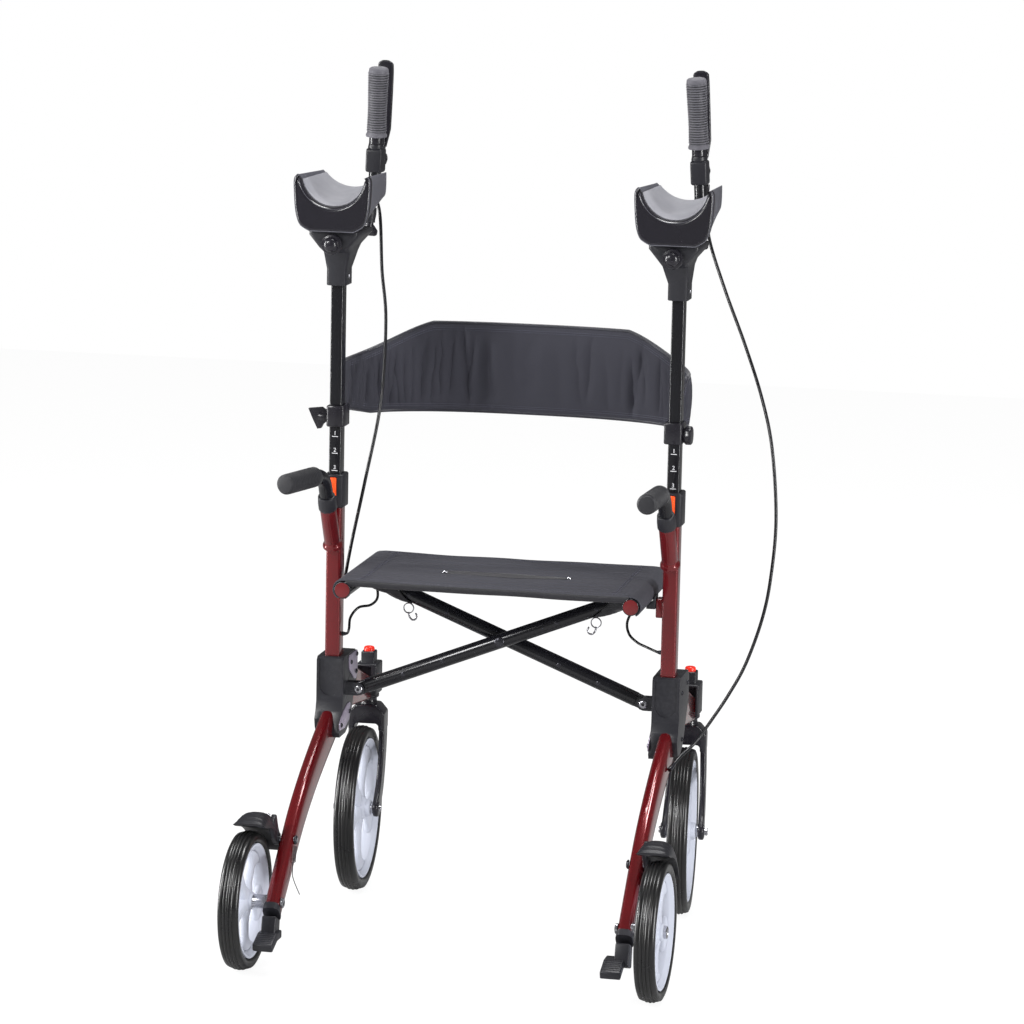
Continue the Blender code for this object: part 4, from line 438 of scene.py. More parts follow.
BAND_CLOTH = Finish(
    "band_cloth", (0.011, 0.011, 0.019), (0.008, 0.008, 0.014), 0.22, 0.04, coat=0.5, coat_roughness=0.16, sheen=0.05,
    mottle=12.0, grain=60.0, depth=0.00025, stretch=(1.0, 1.0, 0.22), threads=1600.0,
    pattern=Pattern.WOVEN_UPRIGHT,
)
BAND_BINDING = Finish(
    "band_binding", (0.024, 0.024, 0.034), (0.016, 0.016, 0.024), 0.42, 0.08, sheen=0.3,
    grain=700.0, depth=0.00012, threads=1100.0, pattern=Pattern.WOVEN_UPRIGHT,
)
THREAD = Finish("sewing_thread", (0.10, 0.10, 0.14), (0.07, 0.07, 0.10), 0.6, 0.05, grain=4000.0, depth=0.00003)
CABLE = Finish(
    "cable_sleeve", (0.006, 0.006, 0.008), (0.010, 0.010, 0.012), 0.32, 0.06, coat=0.2, grain=1500.0, depth=0.00003,
)
STEEL = Finish(
    "bright_steel", (0.62, 0.62, 0.66), (0.50, 0.50, 0.54), 0.22, 0.06, 0.95,
    mottle=60.0, grain=2500.0, depth=0.00002, stretch=(1.0, 1.0, 4.0),
)
DARK_STEEL = Finish(
    "dark_steel", (0.060, 0.060, 0.070), (0.040, 0.040, 0.048), 0.28, 0.06, 0.7, grain=2000.0, depth=0.00002,
)
LILAC_PLATE = Finish(
    "lilac_plate", (0.42, 0.37, 0.47), (0.32, 0.28, 0.38), 0.30, 0.05, 0.55, grain=1500.0, depth=0.00002,
)
SIGNAL_RED = Finish("signal_red", (0.85, 0.030, 0.018), (0.70, 0.022, 0.012), 0.32, 0.05, coat=0.3, grain=1200.0,
                    depth=0.00003)
SIGNAL_ORANGE = Finish("signal_orange", (0.95, 0.10, 0.025), (0.85, 0.08, 0.018), 0.36, 0.05, coat=0.2,
                       grain=1200.0, depth=0.00003)
RED_CAP = Finish("red_cap", (0.15, 0.006, 0.008), (0.11, 0.004, 0.006), 0.36, 0.06, coat=0.4, grain=1200.0,
                 depth=0.00003)
MARK_PAINT = Finish("mark_paint", (0.72, 0.72, 0.74), (0.62, 0.62, 0.65), 0.5, 0.05, grain=1600.0, depth=0.00002)


# Outlines


def rounded(points: Sequence[Flat], radius: float, steps: int = 4) -> list[Flat]:
    """A closed outline with each corner replaced by an arc, smaller where an edge is short.

    Args:
        points: the corners.
        radius: the arc's radius.
        steps: segments in each arc.

    Returns:
        The rounded outline.
    """
    outline: list[Flat] = []
    for index, corner in enumerate(points):
        here = Vector(corner)
        back = Vector(points[index - 1]) - here
        ahead = Vector(points[(index + 1) % len(points)]) - here
        half = back.angle(ahead) / 2
        if half > NEARLY_STRAIGHT:
            outline.append(tuple(corner))
            continue
        reach = min(radius / math.tan(half), 0.45 * back.length, 0.45 * ahead.length)
        size = reach * math.tan(half)
        centre = here + (back.normalized() + ahead.normalized()).normalized() * (size / math.sin(half))
        first = here + back.normalized() * reach - centre
        last = here + ahead.normalized() * reach - centre
        start = math.atan2(first.y, first.x)
        sweep = math.remainder(math.atan2(last.y, last.x) - start, math.tau)
        for step in range(steps + 1):
            angle = start + sweep * step / steps
            outline.append((centre.x + size * math.cos(angle), centre.y + size * math.sin(angle)))
    return outline


def rectangle(left: float, right: float, low: float, high: float, radius: float = 0.0) -> list[Flat]:
    """A rectangle's outline, with rounded corners where a radius is given."""
    corners = [(left, low), (right, low), (right, high), (left, high)]
    return rounded(corners, radius) if radius else corners


def arc(centre: Flat, radius: float, start: float, end: float, steps: int) -> list[Flat]:
    """Points on an arc, both ends among them."""
    turns = [start + (end - start) * step / steps for step in range(steps + 1)]
    return [(centre[0] + radius * math.cos(turn), centre[1] + radius * math.sin(turn)) for turn in turns]


def strip(line: Sequence[Flat], halves: Sequence[float]) -> list[Flat]:
    """The outline of a flat band along a line, one half width for each point."""
    left: list[Flat] = []
    right: list[Flat] = []
    for index, point in enumerate(line):
        before = Vector(line[max(index - 1, 0)])
        after = Vector(line[min(index + 1, len(line) - 1)])
        along = (after - before).normalized()
        across = Vector((along.y, -along.x)) * halves[index]
        right.append(tuple(Vector(point) + across))
        left.append(tuple(Vector(point) - across))
    return right + left[::-1]


def shrunk(outline: Sequence[Flat], inset: float) -> list[Flat]:
    """A closed outline moved inward, with long mitres held back.

    Args:
        outline: the corners, in either direction.
        inset: how far it moves in.

    Returns:
        The inner outline.
    """
    if not inset:
        return list(outline)
    count = len(outline)
    area = sum(outline[i - 1][0] * outline[i][1] - outline[i][0] * outline[i - 1][1] for i in range(count))
    way = -1.0 if area > 0 else 1.0
    inner: list[Flat] = []
    for index, corner in enumerate(outline):
        here = Vector(corner)
        into = here - Vector(outline[index - 1])
        out_of = Vector(outline[(index + 1) % count]) - here
        normals = [Vector((edge.y, -edge.x)).normalized() for edge in (into, out_of) if edge.length > 1e-9]
        normal = sum(normals, Vector((0, 0))).normalized()
        lean = max(normal.dot(normals[0]), 0.5)
        inner.append(tuple(here + normal * (way * inset / lean)))
    return inner


def smooth_line(points: Sequence[Sequence[float]], between: int = 6) -> list[Vector]:
    """A smooth curve through points, with some points between each two.

    Args:
        points: the points, in two or three coordinates.
        between: steps from one point to the next.

    Returns:
        The curve's points.
    """
    places = [Vector(point) for point in points]
    places = [2 * places[0] - places[1]] + places + [2 * places[-1] - places[-2]]
    fine: list[Vector] = []
    for a, b, c, d in zip(places, places[1:], places[2:], places[3:]):
        for step in range(between):
            t = step / between
            bow = (2 * a - 5 * b + 4 * c - d) * t ** 2 + (3 * b - a - 3 * c + d) * t ** 3
            fine.append(b + ((c - a) * t + bow) / 2)
    fine.append(places[-2])
    return fine


def bent_route(points: Sequence[Sequence[float]], radius: float, steps: int = 10) -> list[Vector]:
    """A route with each inner corner replaced by an arc."""
    route = [Vector(points[0])]
    for before, turn, after in zip(points, points[1:], points[2:]):
        corner = Vector(turn)
        back = (Vector(before) - corner).normalized()
        ahead = (Vector(after) - corner).normalized()
        half = back.angle(ahead) / 2
        centre = corner + (back + ahead).normalized() * radius / math.sin(half)
        start = corner + back * radius / math.tan(half) - centre
        axis = start.cross(ahead).normalized()
        for step in range(steps + 1):
            route.append(centre + Matrix.Rotation((math.pi - 2 * half) * step / steps, 3, axis) @ start)
    route.append(Vector(points[-1]))
    return route


# Meshes


class Shape:
    """A mesh in the making; paint is the number of the finish that the next faces take."""

    def __init__(self) -> None:
        """Start empty."""
        self.mesh = bmesh.new()
        self.paint = 0

    def face(self, corners: Sequence[bmesh.types.BMVert]) -> None:
        """Add a face in the present paint."""
        self.mesh.faces.new(corners).material_index = self.paint

    def loft(self, rings: Sequence[Sequence[Sequence[float]]], wrap: bool = False, caps: bool = True) -> "Shape":
        """Join closed rings of equal length.

        Args:
            rings: the rings, in order.
            wrap: join the last ring to the first.
            caps: close the two ends.

        Returns:
            The shape itself.
        """
        rows = [[self.mesh.verts.new(point) for point in ring] for ring in rings]
        pairs = list(zip(rows, rows[1:])) + ([(rows[-1], rows[0])] if wrap else [])
        for near, far in pairs:
            for index in range(len(near)):
                after = (index + 1) % len(near)
                self.face((near[index], near[after], far[after], far[index]))
        if caps and not wrap:
            self.face(rows[0][::-1])
            self.face(rows[-1])
        return self

    def slab(
        self, outline: Sequence[Flat], axis: str, low: float, high: float, edge: float = 0.001, steps: int = 3
    ) -> "Shape":
        """A plate with rounded edges.

        Args:
            outline: its outline, seen along the axis.
            axis: X, Y or Z.
            low: where it starts on the axis.
            high: where it ends.
            edge: radius of its edges.
            steps: segments of an edge.

        Returns:
            The shape itself.
        """
        place = {
            "X": lambda a, b, c: (c, a, b),
            "Y": lambda a, b, c: (a, c, b),
            "Z": lambda a, b, c: (a, b, c),
        }[axis]
        turns = [math.pi / 2 * step / steps for step in range(steps + 1)] if edge else [math.pi / 2]
        levels = [(edge * (1 - math.sin(t)), low + edge * (1 - math.cos(t))) for t in turns]
        levels += [(edge * (1 - math.sin(t)), high - edge * (1 - math.cos(t))) for t in reversed(turns)]
        return self.loft([[place(a, b, at) for a, b in shrunk(outline, inset)] for inset, at in levels])

    def tube(
        self,
        route: Sequence[Sequence[float]],
        radius: float | Sequence[float],
        steps: int = 20,
        edge: float = 0.0,
    ) -> "Shape":
        """A round bar along a route.

        Args:
            route: the points of its axis.
            radius: one radius, or one for each point.
            steps: sides of its section.
            edge: radius of the edges of its two ends.

        Returns:
            The shape itself.
        """
        line = [Vector(point) for point in route]
        radii = list(radius) if isinstance(radius, (list, tuple)) else [radius] * len(line)
        stations: list[tuple[Vector, float, int]] = [(p, r, i) for i, (p, r) in enumerate(zip(line, radii))]
        if edge:
            first = (line[1] - line[0]).normalized()
            last = (line[-1] - line[-2]).normalized()
            start = [(line[0] + first * edge * (1 - math.cos(t)), radii[0] - edge * (1 - math.sin(t)), 0)
                     for t in (0.0, 0.5, 1.05, math.pi / 2)]
            end = [(line[-1] - last * edge * (1 - math.cos(t)), radii[-1] - edge * (1 - math.sin(t)), len(line) - 1)
                   for t in (math.pi / 2, 1.05, 0.5, 0.0)]
            stations = start + stations[1:-1] + end
        tangents = [
            (line[min(i + 1, len(line) - 1)] - line[max(i - 1, 0)]).normalized() for i in range(len(line))
        ]
        across = tangents[0].orthogonal().normalized()
        frames = [across]
        for before, after in zip(tangents, tangents[1:]):
            across = before.rotation_difference(after) @ across
            across = (across - after * across.dot(after)).normalized()
            frames.append(across)
        rings = []
        for centre, size, index in stations:
            side = frames[index]
            up = tangents[index].cross(side)
            rings.append([
                centre + (side * math.cos(math.tau * k / steps) + up * math.sin(math.tau * k / steps)) * size
                for k in range(steps)
            ])
        return self.loft(rings)

    def lathe(
        self,
        profile: Sequence[Flat],
        base: Sequence[float],
        direction: Sequence[float],
        steps: int = 32,
        ring: bool = False,
    ) -> "Shape":
        """Turn a profile around an axis.

        Args:
            profile: radius and height of each point.
            base: where height is 0.
            direction: which way height grows.
            steps: sides of the turned shape.
            ring: the profile is closed and stays off the axis.

        Returns:
            The shape itself.
        """
        turn = Vector((0, 0, 1)).rotation_difference(Vector(direction)).to_matrix()
        foot = Vector(base)
        rows: list[list[bmesh.types.BMVert]] = []
        for radius, height in profile:
            if radius < 1e-7:
                rows.append([self.mesh.verts.new(foot + turn @ Vector((0, 0, height)))])
                continue
            angles = [math.tau * k / steps for k in range(steps)]
            spots = [Vector((radius * math.cos(a), radius * math.sin(a), height)) for a in angles]
            rows.append([self.mesh.verts.new(foot + turn @ spot) for spot in spots])
        pairs = list(zip(rows, rows[1:])) + ([(rows[-1], rows[0])] if ring else [])
        for near, far in pairs:
            for k in range(steps):
                after = (k + 1) % steps
                if len(near) == 1 and len(far) == 1:
                    continue
                if len(near) == 1:
                    self.face((near[0], far[after], far[k]))
                elif len(far) == 1:
                    self.face((near[k], near[after], far[0]))
                else:
                    self.face((near[k], near[after], far[after], far[k]))
        if not ring:
            for row, flip in ((rows[0], True), (rows[-1], False)):
                if len(row) > 1:
                    self.face(row[::-1] if flip else row)
        return self

    def quilt(self, grid: Sequence[Sequence[Vector]], thickness: Sequence[Sequence[float]]) -> "Shape":
        """A closed sheet with its own thickness at each point.

        Args:
            grid: rows of points through the middle of the sheet.
            thickness: the full thickness at each point.

        Returns:
            The shape itself.
        """
        rows, columns = len(grid), len(grid[0])
        upper: list[list[bmesh.types.BMVert]] = []
        lower: list[list[bmesh.types.BMVert]] = []
        for i in range(rows):
            upper.append([])
            lower.append([])
            for j in range(columns):
                along = grid[i][min(j + 1, columns - 1)] - grid[i][max(j - 1, 0)]
                across = grid[min(i + 1, rows - 1)][j] - grid[max(i - 1, 0)][j]
                normal = along.cross(across).normalized() * thickness[i][j] / 2
                upper[i].append(self.mesh.verts.new(grid[i][j] + normal))
                lower[i].append(self.mesh.verts.new(grid[i][j] - normal))
        for i in range(rows - 1):
            for j in range(columns - 1):
                self.face((upper[i][j], upper[i][j + 1], upper[i + 1][j + 1], upper[i + 1][j]))
                self.face((lower[i][j], lower[i + 1][j], lower[i + 1][j + 1], lower[i][j + 1]))
        rim = [(0, j) for j in range(columns)] + [(i, columns - 1) for i in range(1, rows)]
        rim += [(rows - 1, j) for j in range(columns - 2, -1, -1)] + [(i, 0) for i in range(rows - 2, 0, -1)]
        for (a, b), (c, d) in zip(rim, rim[1:] + rim[:1]):
            self.face((upper[a][b], lower[a][b], lower[c][d], upper[c][d]))
        return self

    def add(self, other: bpy.types.Mesh, matrix: Matrix | None = None) -> "Shape":
        """Add a finished mesh's faces, in the present paint."""
        before = len(self.mesh.faces)
        count = len(self.mesh.verts)
        self.mesh.from_mesh(other)
        self.mesh.verts.ensure_lookup_table()
        self.mesh.faces.ensure_lookup_table()
        for item in self.mesh.faces[before:]:
            item.material_index = self.paint
        if matrix is not None:
            bmesh.ops.transform(self.mesh, matrix=matrix, verts=self.mesh.verts[count:])
        return self

    def moved(self, matrix: Matrix) -> "Shape":
        """Move the whole shape so far."""
        bmesh.ops.transform(self.mesh, matrix=matrix, verts=self.mesh.verts)
        return self

    def to_mesh(self, name: str) -> bpy.types.Mesh:
        """End the shape as a mesh whose faces point outward."""
        bmesh.ops.remove_doubles(self.mesh, verts=self.mesh.verts, dist=1e-6)
        bmesh.ops.recalc_face_normals(self.mesh, faces=self.mesh.faces)
        made = bpy.data.meshes.new(name)
        self.mesh.to_mesh(made)
        self.mesh.free()
        return made


def linked(name: str, mesh: bpy.types.Mesh) -> bpy.types.Object:
    """An object of a mesh, in the scene."""
    made = bpy.data.objects.new(name, mesh)
    bpy.context.scene.collection.objects.link(made)
    return made


def baked(thing: bpy.types.Object) -> bpy.types.Object:
    """Turn an object's modifiers into plain mesh."""
    bpy.context.view_layer.update()
    graph = bpy.context.evaluated_depsgraph_get()
    mesh = bpy.data.meshes.new_from_object(thing.evaluated_get(graph))
    old = thing.data
    thing.modifiers.clear()
    thing.data = mesh
    mesh.name = thing.name
    bpy.data.meshes.remove(old)
    return thing


@dataclass
class Piece:
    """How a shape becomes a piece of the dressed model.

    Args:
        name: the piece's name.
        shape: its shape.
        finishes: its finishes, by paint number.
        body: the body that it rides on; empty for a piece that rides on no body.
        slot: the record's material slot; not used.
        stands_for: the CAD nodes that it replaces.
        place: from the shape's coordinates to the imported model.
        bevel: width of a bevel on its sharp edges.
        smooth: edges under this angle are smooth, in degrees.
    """

    name: str
    shape: Shape
    finishes: Sequence[Finish]
    body: str
    slot: str
    stands_for: Sequence[str] = ()
    place: Matrix = field(default_factory=Matrix)
    bevel: float = 0.0
    smooth: float = 38.0

    def build(self) -> bpy.types.Object:
        """Make the object, dress it and let it ride.

        Returns:
            The finished piece.
        """
        mesh = self.shape.moved(self.place).to_mesh(self.name)
        for finish in self.finishes:
            mesh.materials.append(finish.material())
        thing = linked(self.name, mesh)
        if self.bevel:
            edge = thing.modifiers.new("edges", "BEVEL")
            edge.width = self.bevel
            edge.segments = 2
            edge.limit_method = "ANGLE"
            edge.angle_limit = math.radians(BEVEL_FROM)
            baked(thing)
        thing.data.polygons.foreach_set("use_smooth", [True] * len(thing.data.polygons))
        thing.data.set_sharp_from_angle(angle=math.radians(self.smooth))
        if self.body:
            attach(thing, self.body)
        if self.stands_for:
            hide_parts(*self.stands_for)
        LOG.info("%s: %d faces", self.name, len(thing.data.polygons))
        return thing


def copied(node: str, tidy: float = 1.0) -> Shape:
    """A copy of a CAD node's mesh, merged, with its flat faces joined.

    Args:
        node: the node's name.
        tidy: faces that meet under this angle become one, in degrees.

    Returns:
        The copy.
    """
    shape = Shape()
    shape.mesh.from_mesh(frame["nodes"][node].data)
    mesh = shape.mesh
    bmesh.ops.remove_doubles(mesh, verts=mesh.verts, dist=1e-5)
    bmesh.ops.dissolve_limit(mesh, angle_limit=math.radians(tidy), verts=mesh.verts, edges=mesh.edges)
    for face in mesh.faces:
        face.material_index = 0
    return shape


def cut_by(target: bpy.types.Mesh, tool: bpy.types.Mesh, way: str = "DIFFERENCE") -> bpy.types.Mesh:
    """One mesh cut by, or kept inside, another.

    Args:
        target: the mesh to work on; it is used up.
        tool: the other mesh; it is used up.
        way: DIFFERENCE, INTERSECT or UNION.

    Returns:
        The result.
    """
    body, blade = linked("cut_body", target), linked("cut_tool", tool)
    work = body.modifiers.new("cut", "BOOLEAN")
    work.operation = way
    work.solver = "EXACT"
    work.object = blade
    baked(body)
    result = body.data
    bpy.data.objects.remove(body)
    bpy.data.objects.remove(blade)
    bpy.data.meshes.remove(tool)
    return result


# Repeats by Geometry Nodes


class Repeat(Enum):
    """Where the copies of a repeated shape stand."""

    RING = "ring"
    ROW = "row"
    PATH = "path"
    SPOTS = "spots"


def geometry_tree(kind: Repeat) -> bpy.types.NodeTree:
    """The Geometry Nodes tree of a way to repeat, built on first use.

    Args:
        kind: where the copies stand.

    Returns:
        The tree, with named inputs for its sizes.
    """
    name = f"repeat_{kind.value}"
    if name in bpy.data.node_groups:
        return bpy.data.node_groups[name]
    tree = bpy.data.node_groups.new(name, "GeometryNodeTree")
    sockets: list[tuple[str, str, object]] = [("Copy", "Object", None), ("Finish", "Material", None)]
    sockets += {
        Repeat.RING: [("Count", "Int", 5), ("Radius", "Float", 0.01)],
        Repeat.ROW: [("Count", "Int", 5), ("Start", "Vector", (0, 0, 0)), ("Step", "Vector", (0.01, 0, 0))],
        Repeat.PATH: [("Spacing", "Float", 0.003)],
        Repeat.SPOTS: [],
    }[kind]
    group_socket(tree, "Geometry", "Geometry")
    for label, what, value in sockets:
        group_socket(tree, label, what, value)
    group_socket(tree, "Geometry", "Geometry", output=True)
    graph = Graph(tree)
    start = graph.node("NodeGroupInput").outputs
    source = graph.node("GeometryNodeObjectInfo", Object=start["Copy"]).outputs["Geometry"]
    rotation: object = None
    if kind is Repeat.RING:
        points = graph.node("GeometryNodeMeshCircle", Vertices=start["Count"], Radius=start["Radius"]).outputs[0]
        facing = graph.node("GeometryNodeInputPosition").outputs[0]
        rotation = graph.node("FunctionNodeAlignRotationToVector", {"axis": "X", "pivot_axis": "Z"}, Vector=facing)
    elif kind is Repeat.ROW:
        row = graph.node("GeometryNodeMeshLine", {"mode": "OFFSET"}, Count=start["Count"])
        tree.links.new(start["Start"], row.inputs["Start Location"])
        tree.links.new(start["Step"], row.inputs["Offset"])
        points = row.outputs[0]
    elif kind is Repeat.PATH:
        curve = graph.node("GeometryNodeMeshToCurve", Mesh=start["Geometry"]).outputs[0]
        even = graph.node("GeometryNodeResampleCurve", {"mode": "LENGTH"}, Curve=curve, Length=start["Spacing"])
        points = even.outputs[0]
        facing = graph.node("GeometryNodeInputTangent").outputs[0]
        rotation = graph.node("FunctionNodeAlignRotationToVector", {"axis": "X", "pivot_axis": "AUTO"}, Vector=facing)
    else:
        points = start["Geometry"]
        facing = graph.node("GeometryNodeInputNamedAttribute", {"data_type": "FLOAT_VECTOR"}, Name="facing")
        rotation = graph.node(
            "FunctionNodeAlignRotationToVector", {"axis": "Z", "pivot_axis": "AUTO"}, Vector=facing.outputs[0]
        )
    spread = graph.node("GeometryNodeInstanceOnPoints", Points=points, Instance=source)
    if rotation is not None:
        tree.links.new(rotation.outputs[0], spread.inputs["Rotation"])
    real = graph.node("GeometryNodeRealizeInstances", Geometry=spread.outputs[0]).outputs[0]
    dressed = graph.node("GeometryNodeSetMaterial", Geometry=real, Material=start["Finish"]).outputs[0]
    graph.node("NodeGroupOutput", Geometry=dressed)
    return tree


def repeated(
    kind: Repeat,
    copy: Shape,
    finish: Finish,
    points: Sequence[Sequence[float]] = (),
    facing: Sequence[Sequence[float]] = (),
    **sizes: object,
) -> bpy.types.Mesh:
    """Repeat a small shape by Geometry Nodes.

    Args:
        kind: where the copies stand.
        copy: the shape to repeat, around its own origin.
        finish: its finish.
        points: the path, or the spots.
        facing: which way each spot's copy points.
        sizes: the tree's other inputs, by name.

    Returns:
        The copies as one plain mesh.
    """
    source = linked("copy", copy.to_mesh("copy"))
    carrier = bpy.data.meshes.new("carrier")
    edges = [(i, i + 1) for i in range(len(points) - 1)] if kind is Repeat.PATH else []
    carrier.from_pydata([tuple(point) for point in points], edges, [])
    if facing:
        known = carrier.attributes.new("facing", "FLOAT_VECTOR", "POINT")
        known.data.foreach_set("vector", [value for way in facing for value in way])
    holder = linked("carrier", carrier)
    work = holder.modifiers.new("repeat", "NODES")
    work.node_group = geometry_tree(kind)
    values = {"Copy": source, "Finish": finish.material(), **sizes}
    for item in work.node_group.interface.items_tree:
        if item.item_type == "SOCKET" and item.in_out == "INPUT" and item.name in values:
            work[item.identifier] = values[item.name]
    baked(holder)
    result = holder.data
    bpy.data.objects.remove(holder)
    bpy.data.objects.remove(source)
    return result


def bolt_head(radius: float, height: float, hexagon: bool = False) -> Shape:
    """A small fastener's head on its own origin, pointing along z.

    Args:
        radius: its radius.
        height: how far it stands up.
        hexagon: six flats with a washer instead of a domed round head.

    Returns:
        The shape.
    """
    shape = Shape()
    if hexagon:
        shape.lathe([(0, -0.001), (radius * 1.25, -0.001), (radius * 1.25, height * 0.2), (0, height * 0.2)],
                    (0, 0, 0), (0, 0, 1), 14)
        shape.lathe([(0, 0), (radius, 0), (radius, height * 0.8), (radius * 0.82, height), (0, height)],
                    (0, 0, 0), (0, 0, 1), 6)
        return shape
    dome = [(0, -0.001), (radius, -0.001), (radius, height * 0.35), (radius * 0.86, height * 0.75)]
    dome += [(radius * 0.55, height), (radius * 0.42, height), (radius * 0.38, height * 0.55), (0, height * 0.5)]
    return shape.lathe(dome, (0, 0, 0), (0, 0, 1), 14)


# Sub-assemblies


@dataclass
class SideAssembly:
    """Pieces of one side; names, bodies and nodes are given to it without the side's word."""

    side: Side

    def own(self, name: str) -> str:
        """A name with this side's word at its end."""
        return f"{name}_{self.side.name}"

    def dress(
        self, name: str, shape: Shape, finishes: Sequence[Finish], body: str, slot: str, node: str = "",
        place: Matrix | None = None, **options: float,
    ) -> bpy.types.Object:
        """Build a piece of this side.

        Args:
            name: the piece's name.
            shape: its shape.
            finishes: its finishes, by paint number.
            body: the body that it rides on.
            slot: the record's material slot.
            node: the CAD node that it replaces.
            place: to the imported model, if not by the side's own matrix.
            options: bevel or smooth, as in Piece.

        Returns:
            The finished piece.
        """
        nodes = [self.own(node)] if node else []
        where = self.side.matrix() if place is None else place
        return Piece(self.own(name), shape, finishes, self.own(body), slot, nodes, where, **options).build()

    def soften(self, name: str, node: str, finish: Finish, body: str, slot: str, bevel: float) -> None:
        """Dress a CAD node's own shape, with softened edges."""
        self.dress(name, copied(self.own(node)), [finish], body, slot, node, Matrix(), bevel=bevel)

    def bolts(
        self, name: str, spots: Sequence[tuple[Point, Point]], head: Shape, finish: Finish, body: str, slot: str
    ) -> None:
        """One piece with a fastener's head at each spot.

        Args:
            name: the piece's name.
            spots: place and outward direction of each.
            head: the head's shape.
            finish: its finish.
            body: the body that it rides on.
            slot: the record's material slot.
        """
        mesh = repeated(Repeat.SPOTS, head, finish, [s[0] for s in spots], [s[1] for s in spots])
        self.dress(name, Shape().add(mesh), [finish], body, slot)

    def dress_wheel(self, end: str, maker: "WheelMaker", place: Matrix) -> None:
        """Put the tyre and rim of the front or rear end in place."""
        body = f"{end}_wheel"
        self.dress(f"tread_{end}", maker.tyre(), [RUBBER], body, "tyre_black", f"{end}_tyre", place, smooth=50)
        self.dress(f"cast_rim_{end}", maker.rim(), [RIM_SILVER], body, "rim_silver", f"{end}_rim", place, smooth=50)


